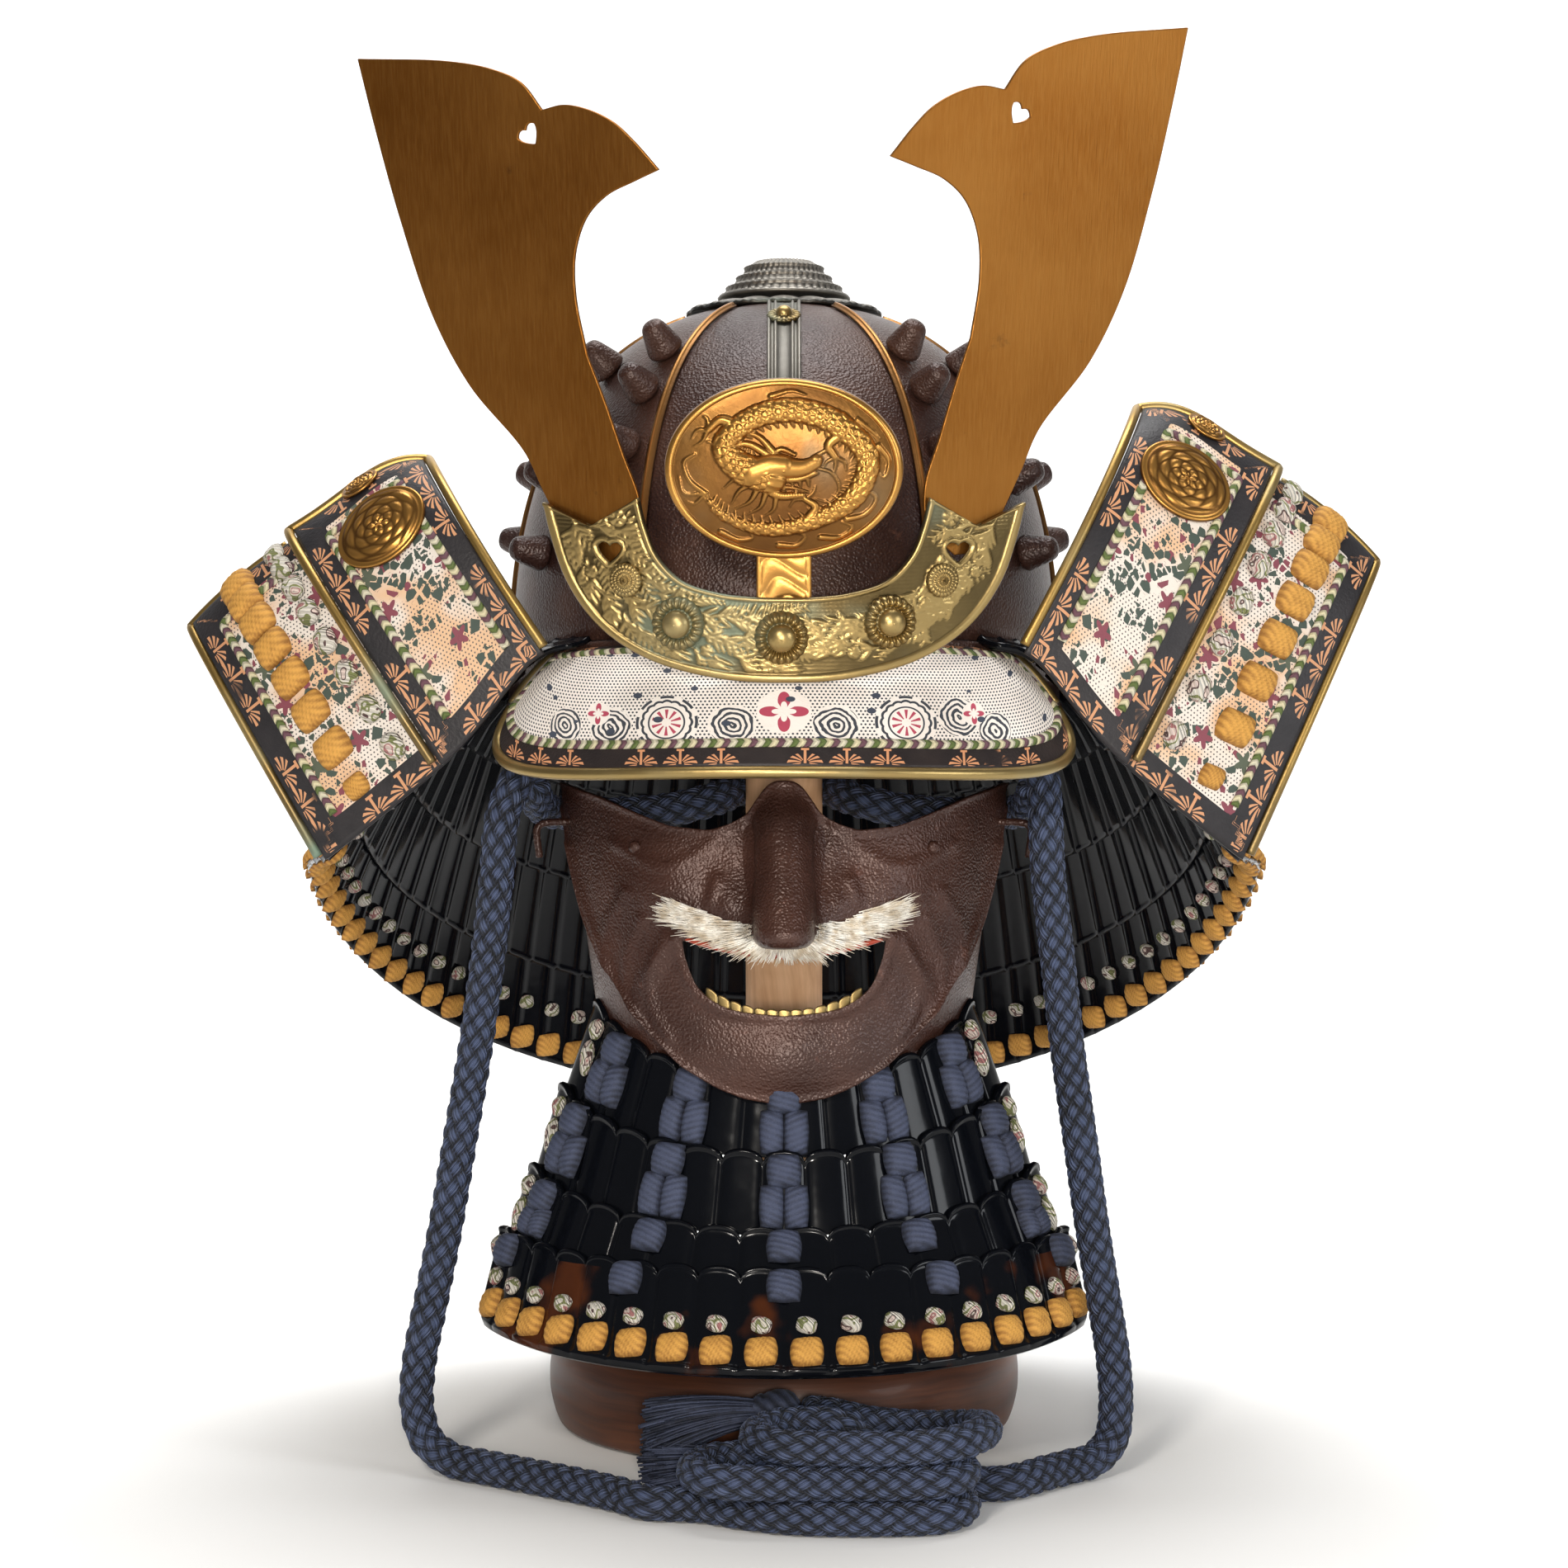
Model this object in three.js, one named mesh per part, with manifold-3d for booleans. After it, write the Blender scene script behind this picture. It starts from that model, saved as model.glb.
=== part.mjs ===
// A kabuto helmet with its face mask and throat guard on a wooden stand.
// Millimetres, +Z up, the front faces -Y, the origin is the centre of the stand's foot.
import * as THREE from 'three';
import { mergeVertices } from 'three/addons/utils/BufferGeometryUtils.js';
import Module from 'manifold-3d';

const wasm = await Module();
wasm.setup();

const clearance = 0.3;

// Stand
const baseRadius = 97;
const baseHeight = 48;
const postRadius = 15.8;
const headRadius = 42;
const headHeight = 34;

// Helmet bowl, in its own frame: the waist is at height 0
const waistHeight = 315;
const helmetTilt = 9;
const bowlHalfWidth = 111;
const bowlHalfDepth = 123;
const bowlHeight = 148;
const bowlSquareness = 2.4;
const plateThickness = 2.2;
const crownHole = 20;
const frontPlateAngle = 31;
const sidePlateAngle = 90;
const rearPlateAngle = 149;
const ridgeWidth = 4;
const ridgeThickness = 1.8;
const bandDrop = 18;
const bandRise = 2;
const bandProud = 2;
const rivetRadius = 6.8;
const rivetHeight = 15;
const rivetRoot = 1.6;

// Crown fitting and front strip
const crownRadius = 39;
const crownThickness = 2.4;
const crownHeight = 16;
const crownOpening = 9;
const stripWidth = 15;
const stripThickness = 1.6;
const stripBossRadius = 6.5;

// Visor
const visorAngle = 50;
const visorReach = 39;
const visorDrop = 49.5;
const visorThickness = 2.5;
const visorRimRadius = 2.4;

// Crescent holder, horns and crest disc, in a plane that leans forward from the visor
const frontLean = 14;
const frontBendRadius = 142.9;
const holderHalfWidth = 93;
const holderHeight = 70;
const holderThickness = 2.4;
const holderWall = 9;
const holderNotch = 10;
const bossRadius = 10;
const rosetteRadius = 6.5;
const hornHeight = 194;
const hornWidth = 97;
const hornThickness = 1.5;
const hornFoot = 73;
const hornFootHeight = 40;
const rightHornTurn = 3;
const rightHornLift = 7;
const heartWidth = 9;
const discHalfWidth = 45.5;
const discHalfHeight = 34.5;
const discHeight = 82.6;
const discDome = 5;
const discRim = 2.6;
const dragonRadius = 4.6;
const stemWidth = 21;
const stemThickness = 2.4;

// Neck guard
const rimHalfWidth = 194;
const rimHalfDepth = 190;
const rimDrop = 82;
const rimRearSlope = 0.49;
const neckThickness = 2;
const neckLames = 4;
const neckOverlap = 0.03;
const neckEndSetback = 0.005;

// Turned-back wings
const wingReach = 58;
const wingDepth = 38;
const leftWingHeight = 90;
const rightWingHeight = 115;
const wingThickness = 3;
const wingCurl = 78;
const wingRimRadius = 2;
const wingStandoff = 0.8;
const wingUnderlap = 5;
const wingCrestRadius = 20;

// Face mask, with its own height above the floor
const maskHalfWidth = 90;
const chinHeight = 151;
const maskHeight = 126.5;
const maskDepth = 78;
const maskSideY = -40;
const maskThickness = 2;
const noseLength = 30;
const mouthWidth = 80;
const mouthHeight = 29;
const mouthRise = 35;
const toothThickness = 1.2;
const moustacheThickness = 4;
const moustacheHalfWidth = 54;
const moustacheHeight = 9;
const moustacheRise = 17;
const hookRadius = 1.5;

// Throat guard: it hangs from just behind the chin and the jaws
const throatThickness = 2;
const throatSetback = 5.3;
const throatTopRise = 10.2;
const throatTopHalfWidth = 74;
const throatEndRise = 36.2;
const throatEndReach = 58;
const throatBottomHeight = 52;
const throatBottomHalfWidth = 121;
const throatBottomReach = 165;
const throatBottomEndRise = 5.2;
const throatBottomEndReach = 80;

// Cords, all of one thick round braid
const cordRadius = 6.6;
const hankHeight = 27;
const hankTopHeight = 40;
const tasselRadius = 11;

const radians = THREE.MathUtils.degToRad;
const vec = (x, y, z) => new THREE.Vector3(x, y, z);
const mix = THREE.MathUtils.lerp;

// Evenly spaced stations from one value to another
function stations(from, to, steps) {
  return Array.from({ length: steps + 1 }, (_, i) => mix(from, to, i / steps));
}

// A straight-line table lookup: rows are [position, value]
function lookUp(rows, position) {
  const last = rows.length - 1;
  if (position <= rows[0][0]) return rows[0][1];
  for (let i = 0; i < last; i += 1) {
    const [from, low] = rows[i];
    const [to, high] = rows[i + 1];
    if (position <= to) return mix(low, high, (position - from) / (to - from));
  }
  return rows[last][1];
}

// A closed geometry from points and triangles, turned so that its faces point out
function closedGeometry(points, triangles) {
  let volume = 0;
  for (const [a, b, c] of triangles) {
    volume += points[a].dot(vec(0, 0, 0).crossVectors(points[b], points[c]));
  }
  const faces = volume < 0 ? triangles.map(([a, b, c]) => [a, c, b]) : triangles;
  const geometry = new THREE.BufferGeometry();
  geometry.setAttribute('position', new THREE.Float32BufferAttribute(points.flatMap((p) => p.toArray()), 3));
  geometry.setIndex(faces.flat());
  geometry.computeVertexNormals();
  return geometry;
}

// A solid wrapped round rings that all have the same number of points
function skin(rings) {
  const points = rings.flat();
  const count = rings[0].length;
  const triangles = [];
  for (let i = 0; i < rings.length - 1; i += 1) {
    for (let j = 0; j < count; j += 1) {
      const a = i * count + j;
      const b = i * count + ((j + 1) % count);
      triangles.push([a, b, b + count], [a, b + count, a + count]);
    }
  }
  for (const first of [0, (rings.length - 1) * count]) {
    const middle = vec(0, 0, 0);
    for (let j = 0; j < count; j += 1) middle.addScaledVector(points[first + j], 1 / count);
    const centre = points.push(middle) - 1;
    for (let j = 0; j < count; j += 1) {
      const edge = [first + j, first + ((j + 1) % count)];
      triangles.push(first === 0 ? [centre, edge[1], edge[0]] : [centre, edge[0], edge[1]]);
    }
  }
  return closedGeometry(points, triangles);
}

// Which way a surface faces at (u, v)
function facing(surface, u, v) {
  const step = 1e-3;
  const alongU = surface(u + step, v).sub(surface(u - step, v));
  const alongV = surface(u, v + step).sub(surface(u, v - step));
  return alongU.cross(alongV).normalize();
}

// A wall that follows surface(u, v), from `back` behind it to `front` before it
function sheet(surface, us, vs, back, front, wraps = false) {
  const columns = wraps ? us.length - 1 : us.length;
  const rows = vs.length;
  const points = [];
  for (const offset of [front, -back]) {
    for (let i = 0; i < columns; i += 1) {
      for (const v of vs) {
        points.push(surface(us[i], v).addScaledVector(facing(surface, us[i], v), offset));
      }
    }
  }
  const half = columns * rows;
  const triangles = [];
  const quad = (a, b, c, d) => triangles.push([a, b, c], [a, c, d]);
  for (let i = 0; i < (wraps ? columns : columns - 1); i += 1) {
    const here = i * rows;
    const next = ((i + 1) % columns) * rows;
    for (let j = 0; j < rows - 1; j += 1) {
      quad(here + j, next + j, next + j + 1, here + j + 1);
      quad(half + here + j, half + here + j + 1, half + next + j + 1, half + next + j);
    }
    quad(here, half + here, half + next, next);
    quad(here + rows - 1, next + rows - 1, half + next + rows - 1, half + here + rows - 1);
  }
  if (!wraps) {
    const end = (columns - 1) * rows;
    for (let j = 0; j < rows - 1; j += 1) {
      quad(j, j + 1, half + j + 1, half + j);
      quad(end + j, half + end + j, half + end + j + 1, end + j + 1);
    }
  }
  return closedGeometry(points, triangles);
}

// A turned solid about +Z from [radius, height] rows
function turned(rows, sides) {
  const profile = rows.map(([radius, height]) => new THREE.Vector2(radius, height));
  const geometry = new THREE.LatheGeometry(profile, sides).rotateX(Math.PI / 2);
  return solidToGeometry(geometryToSolid(geometry));
}

// Turn a solid made about +Z so that it stands along `direction` at `place`
function stoodOn(geometry, place, direction) {
  const turn = new THREE.Quaternion().setFromUnitVectors(vec(0, 0, 1), direction.clone().normalize());
  return geometry.clone().applyQuaternion(turn).translate(place.x, place.y, place.z);
}

// A path through given points that keeps their spacing, so that corners stay where they are
class PointPath extends THREE.Curve {
  constructor(points) {
    super();
    this.points = points;
  }

  getPoint(t) {
    const along = THREE.MathUtils.clamp(t, 0, 1) * (this.points.length - 1);
    const index = Math.min(Math.floor(along), this.points.length - 2);
    return this.points[index].clone().lerp(this.points[index + 1], along - index);
  }

  getPointAt(t) {
    return this.getPoint(t);
  }

  getTangentAt(t) {
    return this.getTangent(t);
  }
}

// A round bar along a path
function bar(path, radius, sides, steps) {
  const section = new THREE.Shape(Array.from({ length: sides }, (_, i) => {
    const angle = (i / sides) * 2 * Math.PI;
    return new THREE.Vector2(radius * Math.cos(angle), radius * Math.sin(angle));
  }));
  return new THREE.ExtrudeGeometry(section, { steps, bevelEnabled: false, extrudePath: path });
}

function geometryToSolid(geometry) {
  const bare = new THREE.BufferGeometry();
  bare.setAttribute('position', geometry.getAttribute('position'));
  if (geometry.index) bare.setIndex(geometry.index);
  const merged = mergeVertices(bare, 1e-4);
  const triVerts = [];
  for (let i = 0; i < merged.index.count; i += 3) {
    const [a, b, c] = [0, 1, 2].map((k) => merged.index.getX(i + k));
    if (a !== b && b !== c && c !== a) triVerts.push(a, b, c);
  }
  const solid = new wasm.Manifold(new wasm.Mesh({
    numProp: 3,
    vertProperties: Float32Array.from(merged.attributes.position.array),
    triVerts: Uint32Array.from(triVerts),
  }));
  return solid.volume() < 0 ? geometryToSolid(flipped(merged)) : solid;
}

function flipped(geometry) {
  const faces = Array.from(geometry.index.array);
  for (let i = 0; i < faces.length; i += 3) [faces[i + 1], faces[i + 2]] = [faces[i + 2], faces[i + 1]];
  return geometry.clone().setIndex(faces);
}

function solidToGeometry(solid) {
  const { vertProperties, triVerts, numProp } = solid.getMesh();
  const geometry = new THREE.BufferGeometry();
  const places = [];
  for (let i = 0; i < vertProperties.length; i += numProp) {
    places.push(vertProperties[i], vertProperties[i + 1], vertProperties[i + 2]);
  }
  geometry.setAttribute('position', new THREE.Float32BufferAttribute(places, 3));
  geometry.setIndex(Array.from(triVerts));
  geometry.computeVertexNormals();
  return geometry;
}

function fused(first, ...others) {
  return solidToGeometry(others.reduce((sum, other) => sum.add(geometryToSolid(other)), geometryToSolid(first)));
}

function cut(first, ...tools) {
  return solidToGeometry(tools.reduce((rest, tool) => rest.subtract(geometryToSolid(tool)), geometryToSolid(first)));
}

// The outline of the heart-shaped holes
function heartHole(width, depth) {
  const half = width / 2;
  const shape = new THREE.Shape();
  shape.moveTo(0, -half);
  shape.quadraticCurveTo(half, -half * 0.2, half, half * 0.4);
  shape.quadraticCurveTo(half * 0.5, half, 0, half * 0.4);
  shape.quadraticCurveTo(-half * 0.5, half, -half, half * 0.4);
  shape.quadraticCurveTo(-half, -half * 0.2, 0, -half);
  const hole = new THREE.ExtrudeGeometry(shape, { depth, bevelEnabled: false, curveSegments: 3 });
  return hole.translate(0, 0, -depth / 2).rotateX(Math.PI / 2);
}

function finish(color, metalness, roughness) {
  return new THREE.MeshStandardMaterial({ color, metalness, roughness });
}

const russetIron = finish('#4a3430', 0.4, 0.5);
const antiqueBrass = finish('#a87a3a', 0.9, 0.4);
const hornBrass = finish('#8a5f2b', 0.9, 0.35);
const darkBronze = finish('#3c362f', 0.8, 0.5);
const printedLeather = finish('#d9cbb8', 0, 0.7);
const blackLacquer = finish('#0d0d10', 0.1, 0.2);
const darkWood = finish('#5a2a1c', 0, 0.45);
const paleWood = finish('#a9805c', 0, 0.6);
const navyCord = finish('#2b3556', 0, 0.8);
const creamBristle = finish('#e9e0c8', 0, 0.8);

const kabuto = new THREE.Group();
const helmet = new THREE.Group();
helmet.position.set(0, 0, waistHeight);
helmet.rotation.x = radians(-helmetTilt);
kabuto.add(helmet);

function place(group, name, geometry, material) {
  const mesh = new THREE.Mesh(geometry, material);
  mesh.name = name;
  group.add(mesh);
}

helmet.updateMatrixWorld(true);
const toWorld = (point) => point.clone().applyMatrix4(helmet.matrixWorld);

// Bowl: angle 0 is the front, rise 0 the waist and 90 degrees the crown
function bowlPoint(angle, rise, proud = 0) {
  const reach = Math.cos(rise) ** (2 / bowlSquareness);
  const level = Math.sin(rise) ** (2 / bowlSquareness);
  const point = vec(
    bowlHalfWidth * reach * Math.sin(angle),
    -bowlHalfDepth * reach * Math.cos(angle),
    bowlHeight * level,
  );
  const outward = vec(
    (reach ** (bowlSquareness - 2) * point.x) / bowlHalfWidth ** 2,
    (reach ** (bowlSquareness - 2) * point.y) / bowlHalfDepth ** 2,
    level ** (bowlSquareness - 1) / bowlHeight,
  ).normalize();
  return point.addScaledVector(outward, proud);
}

const bowlNormal = (angle, rise) => bowlPoint(angle, rise, 1).sub(bowlPoint(angle, rise));
const riseAtHeight = (height) => Math.asin((height / bowlHeight) ** (bowlSquareness / 2));
const riseAtRadius = (radius) => Math.acos((radius / bowlHalfWidth) ** (bowlSquareness / 2));

const lowRise = riseAtHeight(bandRise + clearance);
const ridgeRises = stations(lowRise, riseAtRadius(crownRadius + 1.5), 6);
const plateRises = [...ridgeRises, riseAtRadius(crownHole)];

// Plates are rings of two skins, so that neighbours share the same facets
function bowlPlate(from, to, steps) {
  const margin = clearance / 2 / bowlHalfWidth;
  const angles = stations(radians(from) + margin, radians(to) - margin, steps);
  return sheet((angle, rise) => bowlPoint(angle, rise), angles, plateRises, plateThickness, 0);
}

function rivet(angle, rise) {
  const spike = turned([
    [0, -rivetRoot],
    [rivetRadius, -rivetRoot],
    [rivetRadius * 0.72, rivetHeight * 0.55],
    [0, rivetHeight],
  ], 5);
  return stoodOn(spike, bowlPoint(angle, rise), bowlNormal(angle, rise));
}

const rivetColumns = [
  { angle: 38, rises: [7, 17, 28, 40, 51] },
  { angle: 61, rises: [12, 24, 36, 48] },
  { angle: 104, rises: [7, 17, 28, 40, 51] },
  { angle: 128, rises: [12, 24, 36, 48] },
];

function rivetsBetween(from, to, side) {
  return rivetColumns
    .filter((column) => column.angle > from && column.angle < to)
    .flatMap((column) => column.rises.map((rise) => rivet(radians(side * column.angle), radians(rise))));
}

function buildBowl() {
  place(helmet, 'plate_front', bowlPlate(-frontPlateAngle, frontPlateAngle, 5), russetIron);
  place(helmet, 'plate_rear', bowlPlate(rearPlateAngle, 360 - rearPlateAngle, 5), russetIron);
  for (const [sideName, side] of [['left', -1], ['right', 1]]) {
    for (const [name, from, to] of [
      ['plate_front', frontPlateAngle, sidePlateAngle],
      ['plate_rear', sidePlateAngle, rearPlateAngle],
    ]) {
      const plate = side < 0 ? bowlPlate(-to, -from, 5) : bowlPlate(from, to, 5);
      place(helmet, `${name}_${sideName}`, fused(plate, ...rivetsBetween(from, to, side)), russetIron);
    }
    for (const [name, angle] of [['front', frontPlateAngle], ['side', sidePlateAngle], ['rear', rearPlateAngle]]) {
      const ridge = (u, rise) => {
        const spread = ridgeWidth / (bowlHalfWidth * Math.cos(rise) ** (2 / bowlSquareness));
        return bowlPoint(radians(side * angle) + u * spread, rise, clearance);
      };
      place(helmet, `ridge_${name}_${sideName}`, sheet(ridge, [-0.5, 0.5], ridgeRises, 0, ridgeThickness), antiqueBrass);
    }
  }
  const band = (angle, height) => vec(
    (bowlHalfWidth + bandProud) * Math.sin(angle),
    -(bowlHalfDepth + bandProud) * Math.cos(angle),
    height,
  );
  const bandWall = plateThickness + bandProud;
  place(helmet, 'waist_band', sheet(band, stations(0, 2 * Math.PI, 28), [-bandDrop, bandRise], bandWall, 0, true),
    russetIron);
}

// Crown fitting: a flat ring that follows the bowl, and tiers round an open hole
const domeHeight = (radius) => bowlHeight * (1 - (radius / bowlHalfDepth) ** bowlSquareness) ** (1 / bowlSquareness);

function buildCrown() {
  const sides = 12;
  const radii = stations(crownOpening, crownRadius, 3);
  const under = radii.map((radius) => [radius, domeHeight(radius) + clearance]);
  const over = radii.map((radius) => [radius, domeHeight(radius) + clearance + crownThickness]).reverse();
  place(helmet, 'crown_ring', turned([...under, ...over, under[0]], sides), darkBronze);
  const seat = over[over.length - 1][1] + clearance;
  const tier = (share, rise) => [mix(crownOpening, crownRadius, share), seat + crownHeight * rise];
  const cone = [
    [crownOpening, seat],
    tier(0.6, 0),
    tier(0.6, 0.1),
    tier(0.44, 0.32),
    tier(0.27, 0.66),
    tier(0.16, 1),
    tier(0.05, 1),
    [crownOpening, seat + crownHeight * 0.9],
    [crownOpening, seat],
  ];
  place(helmet, 'crown_cone', turned(cone, sides), darkBronze);
  const strip = (u, rise) => {
    const spread = stripWidth / (bowlHalfDepth * Math.cos(rise) ** (2 / bowlSquareness));
    return bowlPoint(u * spread, rise, clearance);
  };
  const bossRise = radians(62);
  const boss = turned([
    [0, -stripThickness * 0.6],
    [stripBossRadius, -stripThickness * 0.6],
    [stripBossRadius * 0.9, 2.2],
    [stripBossRadius * 0.5, 3.8],
    [0, 4.4],
  ], 10);
  const riveted = stoodOn(boss, bowlPoint(0, bossRise, stripThickness + clearance), bowlNormal(0, bossRise));
  const channel = sheet(strip, [-0.5, 0, 0.5], ridgeRises.slice(2), 0, stripThickness);
  place(helmet, 'front_strip', fused(channel, riveted), darkBronze);
}

// Visor: a shade that springs from the band and curves down to a square-cornered edge
const seatProud = bandProud + 2 * clearance;

function visorPoint(share, reach) {
  const angle = share * radians(visorAngle);
  const corner = 0.3 + 0.7 * (1 - Math.min(Math.abs(share), 1) ** 5) ** 0.2;
  const out = reach * corner;
  const heading = angle * 1.2;
  return vec(
    (bowlHalfWidth + seatProud) * Math.sin(angle) + visorReach * out * Math.sin(heading),
    -(bowlHalfDepth + seatProud) * Math.cos(angle) - visorReach * out * Math.cos(heading),
    -bandRise - visorDrop * Math.max(out, 0) ** 1.5,
  );
}

function buildVisor() {
  const shares = [-1, -0.985, -0.95, -0.88, -0.78, -0.62, -0.42, -0.2, 0, 0.2, 0.42, 0.62, 0.78, 0.88, 0.95, 0.985, 1];
  const half = visorThickness / 2;
  place(helmet, 'visor', sheet(visorPoint, shares, stations(0, 1, 3), half, half), printedLeather);
  const beyond = 1 + (visorRimRadius + 2 * clearance) / visorReach;
  const edge = shares.slice(1, -1).map((share) => {
    const point = visorPoint(share, beyond);
    return point.setZ(point.z - 0.6);
  });
  place(helmet, 'visor_rim', bar(new PointPath(edge), visorRimRadius, 5, edge.length - 1), antiqueBrass);
}

// The plane of the holder, horns and crest: x across, w up, d behind
const visorSeat = visorPoint(0, 0.54);
const front = new THREE.Group();
front.position.set(0, visorSeat.y, visorSeat.z + visorThickness / 2 + 5 * clearance);
front.rotation.x = radians(frontLean);
helmet.add(front);

const bentBack = (x) => (x * x) / (2 * frontBendRadius);

function mirroredCurve(rows) {
  const right = rows.map(([x, w]) => vec(x * holderHalfWidth, 0, w * holderHeight));
  const left = rows.slice(0, -1).reverse().map(([x, w]) => vec(-x * holderHalfWidth, 0, w * holderHeight));
  return new THREE.CatmullRomCurve3([...right, ...left], false, 'centripetal');
}

// Rows are [x as a share of the half width, w as a share of the height], tip to middle
const holderOuter = mirroredCurve([[1, 0.94], [0.97, 0.77], [0.9, 0.51], [0.77, 0.28], [0.57, 0.115], [0.28, 0.02], [0, 0]]);
const holderInner = mirroredCurve([[0.6, 1], [0.57, 0.84], [0.52, 0.68], [0.42, 0.55], [0.27, 0.49], [0.14, 0.472], [0, 0.47]]);

function holderPoint(along, across) {
  const within = THREE.MathUtils.clamp(along, 0, 1);
  const point = holderOuter.getPoint(within).lerp(holderInner.getPoint(within), across);
  const nearTip = Math.max(0, 1 - Math.min(along, 1 - along) / 0.07);
  const notch = holderNotch * nearTip * (1 - Math.abs(2 * across - 1));
  return vec(point.x, bentBack(point.x), point.z - notch);
}

function domed(radius, height) {
  return turned([
    [0, 0],
    [radius, 0],
    [radius, height * 0.25],
    [radius * 0.68, height * 0.35],
    [radius * 0.55, height * 0.75],
    [0, height],
  ], 8);
}

function onHolder(geometry, x, w) {
  const slope = Math.atan(x / frontBendRadius);
  const outward = vec(Math.sin(slope), -Math.cos(slope), 0);
  const proud = holderThickness / 2 + clearance + 0.5;
  return stoodOn(geometry, vec(x, bentBack(x), w).addScaledVector(outward, proud), outward);
}

function buildHolder() {
  const alongs = [0, 0.035, ...stations(0.07, 0.93, 12), 0.965, 1];
  const half = holderThickness / 2;
  const plate = sheet(holderPoint, alongs, [0, 0.25, 0.5, 1], half, half);
  const wallPoint = (along, depth) => {
    const edge = holderPoint(along, 0.045);
    const room = THREE.MathUtils.smoothstep(Math.abs(edge.x) / holderHalfWidth, 0.3, 0.65);
    return vec(edge.x, edge.y + depth * mix(holderThickness * 0.4, holderWall, room), edge.z);
  };
  const wall = sheet(wallPoint, alongs.slice(2, -2), [0, 1], holderThickness * 0.4, holderThickness * 0.4);
  const hearts = [-1, 1].map((side) => {
    const x = side * holderHalfWidth * 0.72;
    return heartHole(heartWidth, 16).translate(x, bentBack(x), holderHeight * 0.7);
  });
  place(front, 'holder', cut(fused(plate, wall), ...hearts), antiqueBrass);
  const bosses = [['left', -0.43, 0.32], ['middle', -0.01, 0.255], ['right', 0.43, 0.33]];
  for (const [name, x, w] of bosses) {
    place(front, `boss_${name}`, onHolder(domed(bossRadius, 7), x * holderHalfWidth, w * holderHeight), antiqueBrass);
  }
  for (const [name, side] of [['left', -1], ['right', 1]]) {
    const rosette = onHolder(domed(rosetteRadius, 3.4), side * holderHalfWidth * 0.645, holderHeight * 0.545);
    place(front, `rosette_${name}`, rosette, antiqueBrass);
  }
}

// Horn outline: rows are [a share of the width outwards, a share of the height] from the foot
const hornEdges = {
  outer: [[0.06, 0], [0.22, 0.15], [0.3, 0.23], [0.52, 0.355], [0.67, 0.49], [0.8, 0.68], [0.9, 0.86], [0.97, 1]],
  crown: [[0.97, 1], [0.6, 1], [0.42, 0.987], [0.3, 0.962], [0.215, 0.91]],
  lobe: [[0.215, 0.91], [0.13, 0.921], [0.03, 0.913], [-0.07, 0.89], [-0.15, 0.855], [-0.25, 0.8]],
  throat: [[-0.25, 0.8], [-0.15, 0.775], [-0.04, 0.745], [0.04, 0.7], [0.085, 0.63], [0.085, 0.545], [0.04, 0.43]],
  inner: [[0.04, 0.43], [-0.03, 0.34], [-0.1, 0.24], [-0.17, 0.14], [-0.16, 0.06], [-0.06, 0]],
};

function hornGeometry(side, turn, lift) {
  const slope = Math.atan(hornFoot / frontBendRadius);
  const scale = ([a, h]) => new THREE.Vector2((side * a * hornWidth) / Math.cos(slope), h * hornHeight);
  const shape = new THREE.Shape();
  const start = scale(hornEdges.outer[0]);
  shape.moveTo(start.x, start.y);
  for (const edge of Object.values(hornEdges)) shape.splineThru(edge.slice(1).map(scale));
  const plate = new THREE.ExtrudeGeometry(shape, { depth: hornThickness, bevelEnabled: false, curveSegments: 2 });
  const upright = plate.rotateX(Math.PI / 2).translate(0, hornThickness, 0);
  const hole = heartHole(heartWidth, 12).rotateY(side * radians(40));
  const [a, h] = [0.27, 0.86];
  const holeX = (side * a * hornWidth) / Math.cos(slope);
  const pierced = cut(upright, hole.translate(holeX, 0, h * hornHeight));
  // behind the bent holder by the depth of its bend over the horn's foot
  const sag = bentBack(hornWidth * 0.2);
  return pierced
    .rotateY(side * radians(-turn))
    .translate(0, holderThickness / 2 + sag + clearance, 0)
    .rotateZ(side * slope)
    .translate(side * hornFoot, bentBack(hornFoot), hornFootHeight + lift);
}

function buildHorns() {
  place(front, 'horn_left', hornGeometry(-1, 0, 0), hornBrass);
  place(front, 'horn_right', hornGeometry(1, rightHornTurn, rightHornLift), hornBrass);
}

// Crest disc: an oval with a raised rim, a dome and a coiled dragon
const dragonPath = [
  { across: -0.12, up: -0.06, girth: 1.5 },
  { across: -0.34, up: 0.02, girth: 1.35 },
  { across: -0.5, up: 0.26, girth: 1 },
  { across: -0.28, up: 0.56, girth: 0.95 },
  { across: 0.08, up: 0.66, girth: 1 },
  { across: 0.46, up: 0.5, girth: 1.05 },
  { across: 0.7, up: 0.14, girth: 1 },
  { across: 0.6, up: -0.28, girth: 0.9 },
  { across: 0.26, up: -0.56, girth: 0.75 },
  { across: -0.16, up: -0.66, girth: 0.6 },
  { across: -0.52, up: -0.5, girth: 0.4 },
  { across: -0.68, up: -0.26, girth: 0.2 },
];

function domeOfDisc(across, up) {
  const share = Math.min(1, across * across + up * up);
  return discRim + discDome * (1 - share) ** 0.8;
}

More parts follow.
